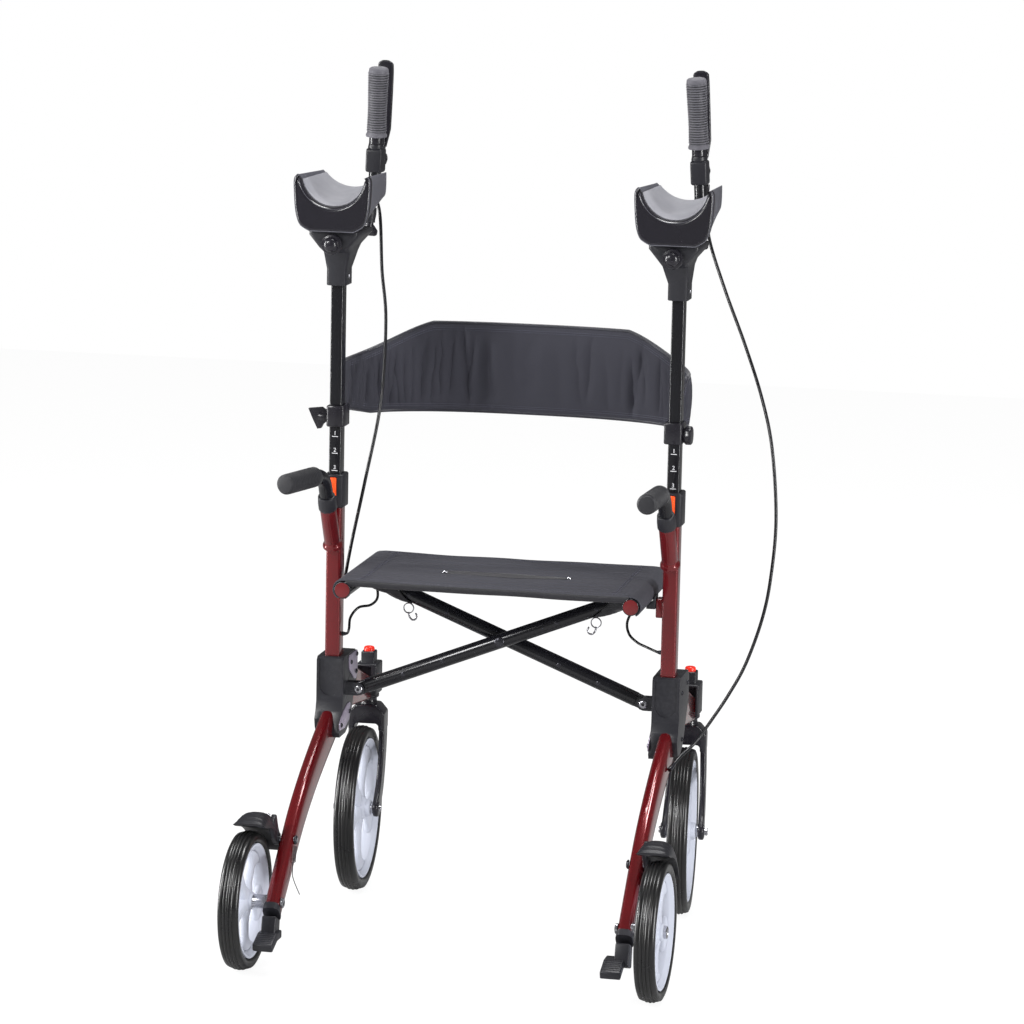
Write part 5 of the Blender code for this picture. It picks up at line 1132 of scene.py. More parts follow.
@dataclass
class SideFrame(SideAssembly):
    """The red post with its arm and branch, its collar, the block and the handle for standing up."""

    post_half: Flat = (0.0113, 0.0139)
    tube_y: float = 0.0118
    branch_foot: Point = (0.0, -0.002, 0.561)
    branch_head: Point = (-0.001, -0.045, 0.637)
    post_top: float = 0.634
    grip_z: float = 0.6825
    bar_y: dict[str, float] = field(default_factory=lambda: {"left": 0.014, "right": 0.038})
    grip_out: dict[str, float] = field(default_factory=lambda: {"left": 0.028, "right": -0.008})

    def build(self) -> None:
        """Make every piece of the side frame."""
        self.post()
        self.moulded_parts()
        self.block_details()
        self.stand_handle()

    def post(self) -> None:
        """The lacquered post, the arm to the caster and the branch."""
        wide, deep = self.post_half
        shape = Shape()
        walls = []
        for inset, z in ((0.0006, 0.338), (0.0, 0.3386), (0.0, 0.6334), (0.0006, 0.634), (0.0017, 0.634),
                         (0.0018, 0.6334), (0.0018, 0.440)):
            corner = 0.004 - inset
            outline = rectangle(-wide + inset, wide - inset, self.tube_y - deep + inset, self.tube_y + deep - inset,
                                corner)
            walls.append([(x, y, z) for x, y in outline])
        shape.loft(walls)
        arm = [(0.005, 0.339), (0.038, 0.339), (0.062, 0.305), (0.216, 0.285), (0.216, 0.3205), (0.060, 0.378),
               (0.005, 0.385)]
        shape.slab(rounded(arm, 0.006), "X", -0.010, 0.010, 0.0035, 4)
        foot, head = Vector(self.branch_foot), Vector(self.branch_head)
        along = (head - foot).normalized()
        shape.tube([foot + along * 0.004, head - along * 0.0122], 0.012, 32, 0.0006)
        weld = [foot + along * step for step in (0.0045, 0.0075, 0.0095, 0.0115, 0.014)]
        shape.tube(weld, [0.0150, 0.0148, 0.0138, 0.0128, 0.0121], 32)
        lug_inner = -0.040 + 0.0158 + 0.0003 + 0.0029 + 0.0003
        shape.slab(rectangle(lug_inner, -wide + 0.001, 0.4840, 0.5120, 0.002), "Y", 0.0, 0.024, 0.002)
        self.dress("lacquered_post", shape, [RED_LACQUER], "frame", "frame_red", "frame_post")

    def moulded_parts(self) -> None:
        """Collar, button with its ribs, saddle and block; all but the ribs are the CAD solids, softened."""
        for node, name, finish, body, slot, bevel in (
            ("height_collar", "collar_sleeve", MOULDED, "frame", "plastic_black", 0.0008),
            ("height_button", "push_button", SIGNAL_ORANGE, "height_catch", "signal_orange", 0.0008),
            ("seat_saddle", "tube_cradle", MOULDED, "frame", "plastic_black", 0.0007),
            ("joint_block", "corner_casting", MOULDED, "frame", "plastic_black", 0.0009),
        ):
            self.soften(name, node, finish, body, slot, bevel)
        middle = self.post_top + GAP + 0.0055 + 0.014
        rear = self.tube_y - 0.0139 - 0.0058 - 0.0025
        ribs = repeated(
            Repeat.ROW, Shape().slab(rectangle(-0.0034, 0.0034, -0.0004, 0.0004), "Y", -0.0004, 0.0004, 0.0002, 1),
            SIGNAL_ORANGE, Count=5, Start=(0.0, rear, middle - 0.006), Step=(0.0, 0.0, 0.003),
        )
        self.dress("button_ribs", Shape().add(ribs), [SIGNAL_ORANGE], "height_catch", "signal_orange")

    def block_details(self) -> None:
        """The bolted inner plate, the fasteners and the rings of the lower pivot."""
        inner = -0.0205
        plate = Shape()
        outline = [(0.072, 0.394), (0.020, 0.394), (0.024, 0.372), (0.052, 0.353), (0.066, 0.350), (0.073, 0.360)]
        plate.slab(rounded(outline, 0.004), "X", inner - 0.0014, inner + 0.0005, 0.0006, 2)
        lower = [(0.034, 0.322), (0.014, 0.322), (-0.010, 0.316), (-0.032, 0.301), (-0.034, 0.290), (0.000, 0.288),
                 (0.026, 0.296)]
        plate.slab(rounded(lower, 0.005), "X", inner - 0.0012, inner + 0.0005, 0.0005, 2)
        self.dress("inner_plate", plate, [LILAC_PLATE], "frame", "rim_silver")
        spots = [((inner - 0.0012, y, z), (-1.0, 0.0, 0.0)) for y, z in
                 ((0.067, 0.388), (0.032, 0.382), (0.064, 0.362), (0.0256, 0.308), (-0.024, 0.297))]
        spots += [((0.0205, y, z), (1.0, 0.0, 0.0)) for y, z in ((0.060, 0.378), (0.020, 0.300), (0.010, 0.372))]
        self.bolts("block_bolts", spots, bolt_head(0.0036, 0.0022), DARK_STEEL, "frame", "plastic_black")
        bar_y = self.bar_y[self.side.name]
        rings = [((-0.040, bar_y + way * 0.0103, PIVOT_Z), (0.0, float(way), 0.0)) for way in (-1, 1)]
        self.bolts("pivot_rings", rings, bolt_head(0.0062, 0.0020), STEEL, "frame", "rim_silver")

    def stand_handle(self) -> None:
        """The bent tube and its foam grip behind the post."""
        foot, head = Vector(self.branch_foot), Vector(self.branch_head)
        along = (head - foot).normalized()
        top = head - along * 0.012
        corner = head + along * ((self.grip_z - head.z) / along.z)
        end = Vector((self.grip_out[self.side.name], -0.180, self.grip_z))
        back = (end - corner).normalized()
        start = end - back * 0.088
        shape = Shape()
        shape.tube(bent_route([top - along * 0.04, corner, end - back * 0.01], 0.038, 14), 0.0102, 28)
        shape.paint = 1
        shape.tube([top + along * GAP, top + along * 0.012, top + along * 0.024], [0.0138, 0.0138, 0.0128], 32,
                   0.0012)
        shape.paint = 2
        steps = [0.0, 0.003, 0.012, 0.05, 0.075, 0.085, 0.088]
        sizes = [0.0138, 0.0148, 0.0144, 0.0146, 0.0148, 0.0148, 0.0126]
        shape.tube([start + back * step for step in steps], sizes, 36, 0.0015)
        ribs = repeated(
            Repeat.PATH,
            Shape().lathe([(0.0140, -0.0008), (0.0150, 0.0), (0.0140, 0.0008), (0.0130, 0.0)], (0, 0, 0), (1, 0, 0),
                          36, True),
            DARK_FOAM_AND_GROOVE_SHADE, [start + back * step for step in (0.010, 0.045, 0.080)], Spacing=0.0042,
        )
        shape.add(ribs)
        self.dress("stand_grip", shape, [BLACK_LACQUER, MOULDED, DARK_FOAM_AND_GROOVE_SHADE], "frame", "tube_black", "stand_handle")


@dataclass
class WheelMaker:
    """A tyre and a cast rim around a given axle.

    Args:
        radius: of the tyre.
        width: of the tyre.
        depth: of the tyre's section.
        hub: radius and half length of the hub.
        grooves: how many grooves run round the tread.
        spokes: how many spokes.
    """

    radius: float
    width: float
    depth: float
    hub: Flat
    grooves: int
    spokes: int = 5

    def tyre(self) -> Shape:
        """The tread with its round grooves."""
        half, inner = self.width / 2, self.radius - self.depth
        profile: list[Flat] = [(inner, -half * 0.40), (inner + 0.002, -half * 0.78),
                               (inner + self.depth * 0.35, -half * 0.98)]
        profile += [(inner + self.depth * 0.62, -half), (inner + self.depth * 0.80, -half * 0.90)]
        crown = [(-0.66 + 1.32 * step / (self.grooves * 4), step) for step in range(self.grooves * 4 + 1)]
        for across, step in crown:
            drop = 0.0016 if step % 4 == 2 else (0.0005 if step % 4 in (1, 3) else 0.0)
            profile.append((self.radius - self.depth * 0.13 * (abs(across) / 0.66) ** 2.2 - drop, half * across))
        profile += [(r, -h) for r, h in reversed(profile[:5])]
        return Shape().lathe(profile, (0, 0, 0), (1, 0, 0), 96, True)

    def spoke(self) -> Shape:
        """One cast spoke along x, in the wheel's plane, its middle line crowned."""
        outer = self.radius - self.depth - 0.0105
        start = self.hub[0] * 0.6
        rings = []
        count = 16
        for step in range(count + 1):
            share = step / count
            along = start + (outer - start) * share
            flare = 0.5 * math.cos(math.pi * min(share / 0.35, 1)) + 0.5
            spread = max((share - 0.55) / 0.45, 0.0) ** 2.2
            half = self.radius * (0.062 + 0.055 * flare + 0.20 * spread)
            thick = self.width * (0.17 + 0.10 * flare + 0.04 * spread)
            ring = []
            for k in range(16):
                angle = math.tau * k / 16
                a, b = math.cos(angle), math.sin(angle)
                a = math.copysign(abs(a) ** 0.75, a)
                b = math.copysign(abs(b) ** 0.6, b)
                ring.append((math.sqrt(max(along ** 2 - (half * a) ** 2, 1e-9)), half * a, thick * b))
            rings.append(ring)
        return Shape().loft(rings)

    def rim(self) -> Shape:
        """Barrel, lips, hub, spokes and cover of the hub."""
        top = self.radius - self.depth + 0.0004
        half = self.width * 0.43
        shape = Shape()
        profile = [
            (top, -half), (top - 0.0018, -half - 0.0006), (top - 0.0040, -half + 0.0002),
            (top - 0.0050, -half + 0.0024),
            (top - 0.0088, -half * 0.62), (top - 0.0098, -half * 0.50), (top - 0.0104, -half * 0.18),
            (top - 0.0104, half * 0.18), (top - 0.0098, half * 0.50), (top - 0.0088, half * 0.62),
            (top - 0.0050, half - 0.0024), (top - 0.0040, half - 0.0002), (top - 0.0018, half + 0.0006), (top, half),
        ]
        shape.lathe(profile, (0, 0, 0), (1, 0, 0), 96, True)
        radius, reach = self.hub
        hub = [(0.0045, -reach), (radius * 0.62, -reach), (radius * 0.72, -reach + 0.0012),
               (radius * 0.74, -reach * 0.62)]
        hub += [(radius * 0.95, -reach * 0.50), (radius, -reach * 0.36)]
        hub += [(r, -h) for r, h in reversed(hub)]
        shape.lathe(hub, (0, 0, 0), (1, 0, 0), 48, True)
        spokes = repeated(Repeat.RING, self.spoke(), RIM_SILVER, Count=self.spokes, Radius=1e-6)
        shape.add(spokes, Matrix.Rotation(math.pi / 2, 4, "Y"))
        return shape


@dataclass
class Caster(SideAssembly):
    """The head with its release button, the fork and the front wheel."""

    crown_bottom: float = 0.247
    crown_top: float = 0.277
    head_bottom: float = 0.292
    cap_top: float = 0.3595
    prong_centre: float = 0.028
    crown_prong: float = 0.0235
    thickness: float = 0.0085

    def build(self) -> None:
        """Make every piece of the caster."""
        self.head()
        self.fork()
        self.wheel()

    def head(self) -> None:
        """The moulded head and the red button in its cap."""
        self.soften("steering_head", "caster_head", MOULDED, "frame", "plastic_black", 0.0009)
        collar = Shape()
        collar.lathe(
            [(0.0155, 0.0), (0.0165, 0.0012), (0.0165, 0.0046), (0.0150, 0.0058), (0.0100, 0.0058), (0.0100, 0.0)],
            (CASTER.x, CASTER.y, self.head_bottom - 0.0052), (0, 0, 1), 40, True,
        )
        self.dress("bearing_cup", collar, [SATIN_PLASTIC], "frame", "plastic_black")
        top = self.cap_top + 0.007
        button = Shape()
        profile = [(0, top), (0.0048, top - 0.0001), (0.0068, top - 0.0007), (0.0080, top - 0.0020),
                   (0.0084, top - 0.004)]
        profile += [(0.0084, top - 0.0115), (0.0, top - 0.0118)]
        button.lathe(profile, (CASTER.x, CASTER.y, 0), (0, 0, 1), 40)
        self.dress("release_cap", button, [SIGNAL_RED], "release", "signal_red", "release_button")

    def prong_outline(self) -> list[Flat]:
        """A prong seen from the side, bowed forward on its way to the axle."""
        line = smooth_line([
            (CASTER.y, self.crown_top - 0.012), (CASTER.y - 0.001, self.crown_bottom - 0.012),
            (CASTER.y - 0.014, 0.197), (CASTER.y - 0.036, 0.160), (FRONT_AXLE.y + 0.014, 0.137),
        ], 5)
        widths = [0.019, 0.016, 0.013, 0.013, 0.0125]
        halves = []
        for index in range(len(line)):
            share = index / 5
            low = min(int(share), 3)
            halves.append(widths[low] + (widths[low + 1] - widths[low]) * (share - low))
        band = strip([(point.x, point.y) for point in line], halves)
        toe = Vector(band[len(line)]) - Vector((line[-1].x, line[-1].y))
        turn = math.atan2(toe.y, toe.x)
        end = arc((FRONT_AXLE.y, FRONT_AXLE.z), 0.013, turn - math.pi, turn, 18)
        return band[: len(line)] + end + band[len(line):]

    def fork(self) -> None:
        """Crown, two prongs, neck and axle."""
        shape = Shape()
        slim = self.crown_prong - self.thickness / 2 - 0.0005
        wide = self.crown_prong + self.thickness / 2 + 0.0005
        low = self.crown_bottom
        arch = [(-wide, low - 0.012), (-slim, low - 0.012), (-slim, low), (slim, low), (slim, low - 0.012),
                (wide, low - 0.012)]
        arch += [(wide, self.crown_top - 0.013), (0.017, self.crown_top), (-0.017, self.crown_top),
                 (-wide, self.crown_top - 0.013)]
        shape.slab(rounded(arch, 0.007, 6), "Y", CASTER.y - 0.019, CASTER.y + 0.019, 0.003)
        flare = (self.prong_centre - self.crown_prong) / (low - FRONT_AXLE.z)
        for way in (-1, 1):
            prong = Shape().slab(
                self.prong_outline(), "X", way * self.crown_prong - self.thickness / 2,
                way * self.crown_prong + self.thickness / 2, 0.0026, 4,
            )
            lean = Matrix(((1, 0, -way * flare, way * flare * low), (0, 1, 0, 0), (0, 0, 1, 0), (0, 0, 0, 1)))
            shape.add(prong.moved(lean).to_mesh("prong"))
            boss = way * (self.prong_centre + self.thickness / 2 - 0.001)
            shape.lathe([(0, 0.0), (0.0105, 0.0), (0.0105, 0.0012), (0.0095, 0.0020), (0, 0.0020)],
                        (boss, FRONT_AXLE.y, FRONT_AXLE.z), (way, 0, 0), 36)
        neck = [(0.0, -0.006), (0.0155, -0.006), (0.0150, 0.001), (0.0134, 0.003), (0.013, 0.006), (0.013, 0.0148),
                (0, 0.0148)]
        shape.lathe(neck, (0, CASTER.y, self.crown_top), (0, 0, 1), 36)
        shape.paint = 1
        for way in (-1, 1):
            shape.tube([(way * 0.0203, FRONT_AXLE.y, FRONT_AXLE.z), (way * 0.0245, FRONT_AXLE.y, FRONT_AXLE.z)],
                       0.009, 32, 0.0006)
        shape.tube([(-0.0362, FRONT_AXLE.y, FRONT_AXLE.z), (0.0362, FRONT_AXLE.y, FRONT_AXLE.z)], 0.0050, 24, 0.0008)
        shape.lathe([(0, 0), (0.0062, 0), (0.0062, 0.0030), (0.0050, 0.0040), (0.0026, 0.0040), (0.0024, 0.0022),
                     (0, 0.0022)],
                    (0.0343, FRONT_AXLE.y, FRONT_AXLE.z), (1, 0, 0), 6)
        shape.moved(Matrix.Translation((CASTER.x, 0, 0)))
        self.dress(
            "caster_yoke", shape, [SATIN_PLASTIC, STEEL], "caster", "plastic_black", "caster_fork",
            self.side.steered()
        )

    def wheel(self) -> None:
        """The front wheel on its axle."""
        maker = WheelMaker(0.127, 0.031, 0.020, (0.018, 0.020), 4)
        self.dress_wheel("front", maker, self.side.steered() @ Matrix.Translation(FRONT_AXLE))


@dataclass
class RearRun(SideAssembly):
    """The rear leg with its wheel, brake shoe and foot pedal."""

    half_width: float = 0.0115
    x: float = 0.002
    depth: Flat = (0.053, 0.031)
    brake_pivot: Flat = (-0.240, 0.174)
    hood_inside: float = 0.105
    pedal_span: dict[str, Flat] = field(default_factory=lambda: {"left": (-0.013, 0.016), "right": (-0.023, 0.006)})

    def build(self) -> None:
        """Make every piece of the rear run."""
        self.leg()
        self.shoe()
        self.pedal()
        maker = WheelMaker(0.100, 0.030, 0.018, (0.017, 0.012), 4)
        self.dress_wheel("rear", maker, self.side.matrix() @ Matrix.Translation(REAR_AXLE))

    def skin(self, play: float = 0.0, sides: int = 40) -> Shape:
        """The oval, tapering leg.

        Args:
            play: how much larger it is all round.
            sides: sides of its section.

        Returns:
            The shape.
        """
        line = smooth_line([
            (0.022, 0.302), (-0.008, 0.291), (-0.070, 0.264), (-0.130, 0.234), (-0.186, 0.200), (-0.235, 0.162),
            (-0.283, 0.121), (-0.325, 0.085),
        ], 5)
        last = len(line) - 1
        rings = []
        for index, here in enumerate(line):
            along = (line[min(index + 1, last)] - line[max(index - 1, 0)]).normalized()
            across = Vector((-along.y, along.x))
            taper = (index / last) ** 1.6
            half = (self.depth[0] + (self.depth[1] - self.depth[0]) * taper) / 2 + play
            centre = here - along * 2 * play if play and index == 0 else here
            ring = []
            for step in range(sides):
                angle = math.tau * step / sides
                out = math.copysign(abs(math.cos(angle)) ** 0.62, math.cos(angle)) * (self.half_width + play)
                deep = math.copysign(abs(math.sin(angle)) ** 0.62, math.sin(angle)) * half
                spot = centre + across * deep
                ring.append((self.x + out, spot.x, spot.y))
            rings.append(ring)
        return Shape().loft(rings)

    def region(self, play: float = 0.0) -> bpy.types.Mesh:
        """The prism behind and below the leg's end that the pedal's cover takes."""
        edge = [(-0.040, 0.014), (-0.040, -0.036), (0.005, -0.036), (-0.0015, -0.021), (-0.0095, -0.002),
                (-0.019, 0.014)]
        outline = [(REAR_AXLE.y + y, REAR_AXLE.z + z) for y, z in edge]
        return Shape().slab(shrunk(outline, -play) if play else outline, "X", -0.03, 0.03, 0.0).to_mesh("region")

    def leg(self) -> None:
        """The lacquered leg with axle, nut, brake pin and, on the left, the brake's spring."""
        shape = Shape().add(cut_by(self.skin().to_mesh("skin"), self.region(GAP)))
        shape.paint = 1
        y, z = REAR_AXLE.y, REAR_AXLE.z
        shape.tube([(0.006, y, z), (0.0317, y, z)], 0.010, 28, 0.0006)
        shape.tube([(0.006, y, z), (0.0590, y, z)], 0.006, 24, 0.0008)
        shape.lathe([(0, 0), (0.0095, 0), (0.0095, 0.0040), (0.0078, 0.0054), (0.0035, 0.0054), (0.003, 0.0035),
                     (0, 0.0035)],
                    (0.0563, y, z), (1, 0, 0), 6)
        shape.lathe([(0, 0), (0.0075, 0), (0.0075, 0.0030), (0.0060, 0.0039), (0, 0.0039)], (-0.0095, y, z),
                    (-1, 0, 0), 32)
        shape.tube([(-0.0128, *self.brake_pivot), (0.0246, *self.brake_pivot)], 0.0040, 20, 0.0008)
        shape.paint = 2
        shape.lathe([(0, 0), (0.0068, 0), (0.0066, 0.0014), (0.0048, 0.0030), (0, 0.0031)],
                    (-0.0095, *self.brake_pivot), (-1, 0, 0), 28)
        shape.lathe([(0, 0.0038), (0.0040, 0.0038), (0.0036, 0.0046), (0, 0.0046)], (-0.0095, y, z), (-1, 0, 0), 6)
        if self.side is LEFT:
            coil = [
                Vector((-0.0122 + 0.0020 * math.cos(turn), -0.250 - 0.006 * turn / 75 + 0.0020 * math.sin(turn),
                        0.167 - 0.022 * turn / 75))
                for turn in (step * 0.5 for step in range(151))
            ]
            shape.tube(coil, 0.00055, 6)
            tail = smooth_line([coil[-1], (-0.0112, -0.260, 0.138), (-0.0125, -0.264, 0.126),
                                (-0.019, -0.270, 0.114), (-0.026, -0.275, 0.103)], 5)
            shape.tube(tail, 0.0006, 6)
        self.dress("lacquered_leg", shape, [RED_LACQUER, STEEL, DARK_STEEL], "frame", "frame_red", "rear_leg",
                   smooth=45)

    def shoe(self) -> None:
        """The arched hood over the rear wheel, its arm and its ribs."""
        stations = [(94, 0.007, 0.15), (85, 0.001, 0.75), (72, 0.0, 1.0), (58, 0.0, 1.0), (45, 0.0, 0.85),
                    (35, 0.0, 0.5), (29, 0.002, 0.12)]
        near, far = 0.0144, 0.0614
        line = smooth_line([(degrees / 100, lift, share) for degrees, lift, share in stations], 12)
        rings = []
        for station in range(17):
            across = math.sin(math.pi * (station / 16 - 0.5))
            dome = max(0.16, (1 - abs(across) ** 3) ** 0.5)
            inside: list[Point] = []
            outside: list[Point] = []
            for degrees, lift, share in line:
                angle = math.radians(degrees * 100)
                rib = max(0.0, math.sin(math.tau * degrees * 100 / 5.0)) * min(share, 1.0)
                rib *= min(1.0, 4 * (1 - abs(across)))
                top = self.hood_inside + lift + 0.021 * max(share, 0.1) * dome + 0.0014 * rib
                x = (near + far) / 2 + (far - near) / 2 * across
                low = self.hood_inside + lift
                inside.append((x, REAR_AXLE.y + low * math.cos(angle), REAR_AXLE.z + low * math.sin(angle)))
                outside.append((x, REAR_AXLE.y + top * math.cos(angle), REAR_AXLE.z + top * math.sin(angle)))
            rings.append(inside + outside[::-1])
        shape = Shape().loft(rings)
        arm = strip([self.brake_pivot, (-0.252, 0.186), (-0.266, 0.208)], [0.009, 0.011, 0.014])
        shape.slab(rounded(arm, 0.004), "X", near + 0.0002, near + 0.0078, 0.0018)
        shape.lathe([(0, 0), (0.009, 0), (0.009, 0.0068), (0.0078, 0.008), (0, 0.008)], (near, *self.brake_pivot),
                    (1, 0, 0), 32)
        self.dress("brake_hood", shape, [MOULDED], "brake", "plastic_black", "brake_shoe")
        crown = math.radians(65)
        spot = ((near + far) / 2 - 0.012, REAR_AXLE.y + 0.1262 * math.cos(crown),
                REAR_AXLE.z + 0.1262 * math.sin(crown))
        outward = (0.0, math.cos(crown), math.sin(crown))
        self.bolts("hood_rivet", [(spot, outward)], bolt_head(0.0034, 0.0014), STEEL, "brake", "rim_silver")

    def pedal(self) -> None:
        """The cover over the leg's end and the ribbed foot pedal."""
        low, high = self.pedal_span[self.side.name]
        end_y, end_z = REAR_AXLE.y - 0.002, REAR_AXLE.z - 0.009
        shape = Shape().add(cut_by(self.skin(0.001).to_mesh("cover"), self.region(), "INTERSECT"))
        neck = [(end_y + 0.001, end_z - 0.016), (end_y - 0.022, end_z - 0.004), (end_y - 0.032, end_z - 0.036),
                (end_y - 0.004, end_z - 0.046)]
        shape.slab(rounded(neck, 0.003), "X", self.x - self.half_width + 0.001, self.x + self.half_width - 0.001,
                   0.0022)
        paddle = strip(
            [(end_y - 0.006, end_z - 0.034), (end_y - 0.030, end_z - 0.033), (end_y - 0.060, end_z - 0.043)],
            [0.006] * 3,
        )
        shape.slab(rounded(paddle, 0.003), "X", low, high, 0.0018)
        slope = math.atan2(-0.010, -0.030)
        rib = Shape().slab(rectangle(low + 0.0025, high - 0.0025, -0.0010, 0.0010, 0.0008), "Z", -0.0006, 0.0006,
                           0.0004, 2)
        top = Vector((0.0, end_y - 0.033, end_z - 0.0342 + 0.0062))
        ribs = repeated(Repeat.ROW, rib, MOULDED, Count=6, Start=tuple(top),
                        Step=(0.0, 0.0046 * math.cos(slope), 0.0046 * math.sin(slope)))
        shape.add(ribs)
        self.dress("foot_pedal", shape, [MOULDED], "frame", "plastic_black", "curb_pedal")


@dataclass
class UpperColumn(SideAssembly):
    """The sliding tube with its marks, the backrest clamp, the bracket, the trough and its knob."""

    half: Flat = (0.0092, 0.0118)
    marks: tuple[tuple[str, float], ...] = (("1", 0.728), ("2", 0.703), ("3", 0.677))
    knob_y: float = 0.0078
    knob_z: float = 0.7556

    def build(self) -> None:
        """Make every piece of the column."""
        self.tube()
        self.clamp()
        self.bracket()
        self.trough()
        self.trough_knob()

    def tube(self) -> None:
        """The black tube and the painted height marks on its rear face."""
        shape = Shape().slab(
            rectangle(-self.half[0], self.half[0], 0.0, 2 * self.half[1], 0.0024), "Z", 0.500, 1.000, 0.0006, 1,
        )
        self.dress("column_tube", shape, [BLACK_LACQUER], "upper", "tube_black", "inner_tube")
        marks = Shape()
        for text, height in self.marks:
            marks.slab(rectangle(-0.0045, 0.0045, height - 0.0005, height + 0.0005, 0.0003), "Y", -0.00012, 0.0002,
                       0.0)
            curve = bpy.data.curves.new("mark", "FONT")
            curve.body = text
            curve.size = 0.0085
            curve.extrude = 0.00012
            curve.align_x = "CENTER"
            holder = linked("mark", curve)
            bpy.context.view_layer.update()
            mesh = bpy.data.meshes.new_from_object(holder.evaluated_get(bpy.context.evaluated_depsgraph_get()))
            turn = Matrix.Translation((0, 0, height + 0.0022)) @ Matrix.Rotation(math.pi / 2, 4, "X")
            marks.add(mesh, Matrix.Diagonal((self.side.sign, 1, 1, 1)) @ turn)
            bpy.data.objects.remove(holder)
        self.dress("height_marks", marks, [MARK_PAINT], "upper", "rim_silver")

    def clamp(self) -> None:
        """The backrest clamp with its knob, winged on the left and round on the right."""
        self.soften("clamp_shell", "backrest_clamp", SATIN_PLASTIC, "backrest", "plastic_black", 0.0009)
        if self.side is LEFT:
            self.soften("wing_knob", "clamp_knob", SATIN_PLASTIC, "band_knob", "plastic_black", 0.0009)
            return
        rings = []
        for height, size in ((0.0, 0.0100), (0.002, 0.0122), (0.004, 0.0138), (0.0108, 0.0138), (0.0124, 0.0122),
                             (0.0128, 0.0085)):
            ring = []
            for k in range(60):
                angle = math.tau * k / 60
                lobe = 1.0 - 0.055 * (0.5 - 0.5 * math.cos(10 * angle)) * (1.0 if 0.001 < height < 0.0126 else 0.4)
                ring.append((0.0128 + height, self.knob_y + size * lobe * math.cos(angle),
                             self.knob_z + size * lobe * math.sin(angle)))
            rings.append(ring)
        self.dress("round_knob", Shape().loft(rings), [SATIN_PLASTIC], "band_knob", "plastic_black", "clamp_knob")

    def bracket(self) -> None:
        """The moulded bracket below the trough and its two screws."""
        self.soften("bracket_casting", "trough_bracket", MOULDED, "upper", "plastic_black", 0.0012)
        spots = [((way * 0.0150, 0.012, 0.966), (float(way), 0.0, 0.0)) for way in (-1, 1)]
        self.bolts("bracket_screws", spots, bolt_head(0.0034, 0.0018), STEEL, "upper", "rim_silver")

    def section(self, share: float, steps: int = 28) -> tuple[list[Flat], list[Flat]]:
        """The gutter's section at a share of its length.

        Args:
            share: 0 at the rear, 1 in front.
            steps: segments of the hollow.

        Returns:
            The hollow from left to right, and the outside back from right to left.
        """
        half = 0.049 - 0.0055 * share
        floor = TROUGH_BOTTOM + 0.033 + (0.0535 - 0.033) * share
        rim = TROUGH_BOTTOM + 0.074
        depth = rim - floor
        radius = (half ** 2 + depth ** 2) / (2 * depth)
        reach = 2 * math.atan(depth / half)
        hollow = arc((0, floor + radius), radius, -math.pi / 2 - reach, reach - math.pi / 2, steps)
        below = floor + radius - math.sqrt(radius ** 2 - (half - 0.018) ** 2) - 0.005
        rear = [
            (half + 0.004, rim + 0.008), (half + 0.008, rim + 0.002), (half + 0.008, rim - 0.015),
            (half + 0.0055, TROUGH_BOTTOM + 0.029), (half, TROUGH_BOTTOM + 0.011),
            (half - 0.008, TROUGH_BOTTOM + 0.004),
            (half - 0.016, TROUGH_BOTTOM),
        ]
        front = [
            (half + 0.004, rim + 0.004), (half + 0.005, rim + 0.002), (half + 0.005, rim - 0.020),
            (half + 0.003, rim - 0.031), (half - 0.003, rim - 0.033), (half - 0.009, rim - 0.028),
            (half - 0.018, below),
        ]
        corners = [Vector(a).lerp(Vector(b), share) for a, b in zip(rear, front)]
        line = smooth_line([(c.x, c.y) for c in corners], 3)
        outside = [(p.x, p.y) for p in line] + [(-p.x, p.y) for p in reversed(line)]
        return hollow, outside

    def trough(self) -> None:
        """The shell, the dark band around its rear end, the keel and the soft lining."""
        shape = Shape()
        count = 12
        rings = []
        for station in range(count + 1):
            share = station / count
            hollow, outside = self.section(share)
            y = max(-0.050 + 0.138 * share, -0.0486)
            rings.append([(TROUGH_X + x, y, z) for x, z in hollow + outside])
        shape.loft(rings)
        shape.paint = 1
        keel = [(-0.044, TROUGH_BOTTOM), (0.076, TROUGH_BOTTOM), (0.076, TROUGH_BOTTOM + 0.0505),
                (-0.044, TROUGH_BOTTOM + 0.031)]
        shape.slab(keel, "X", TROUGH_X - 0.017, TROUGH_X + 0.017, 0.0012)
        shape.lathe([(0.0098, 0), (0.0140, 0), (0.0140, 0.006), (0.0125, 0.0085), (0.0098, 0.0085)],
                    (TROUGH_X, 0.0755, ROD_Z), (0, 1, 0), 36, True)
        self.dress("gutter_shell", shape, [TROUGH_SHELL, MOULDED], "upper", "plastic_black", "arm_trough", smooth=50)
        self.trough_cap()
        self.trough_lining()

    def trough_cap(self) -> None:
        """The dark moulded band around the near end, with scooped upper corners."""
        shape = Shape()
        rings = []
        for y, grow in (
            (-0.0500, -0.0050), (-0.0500, -0.0036), (-0.0496, -0.0022), (-0.0484, -0.0008), (-0.0466, 0.0003),
            (-0.0440, 0.0009), (-0.0372, 0.0009), (-0.0362, 0.0003),
        ):
            hollow, outside = self.section(max((y + 0.050) / 0.138, 0.0))
            centre_z = TROUGH_BOTTOM + 0.055
            ring = []
            for x, z in hollow:
                push = Vector((x, z - centre_z - 0.03)).normalized() * (grow + 0.0004)
                ring.append((TROUGH_X + x - push.x, y, z - push.y))
            for x, z in outside:
                push = Vector((x, z - centre_z)).normalized() * grow
                ring.append((TROUGH_X + x + push.x, y, max(z + push.y, TROUGH_BOTTOM)))
            rings.append(ring)
        shape.loft(rings)
        self.dress("gutter_end_band", shape, [SATIN_PLASTIC], "upper", "plastic_black", smooth=50)

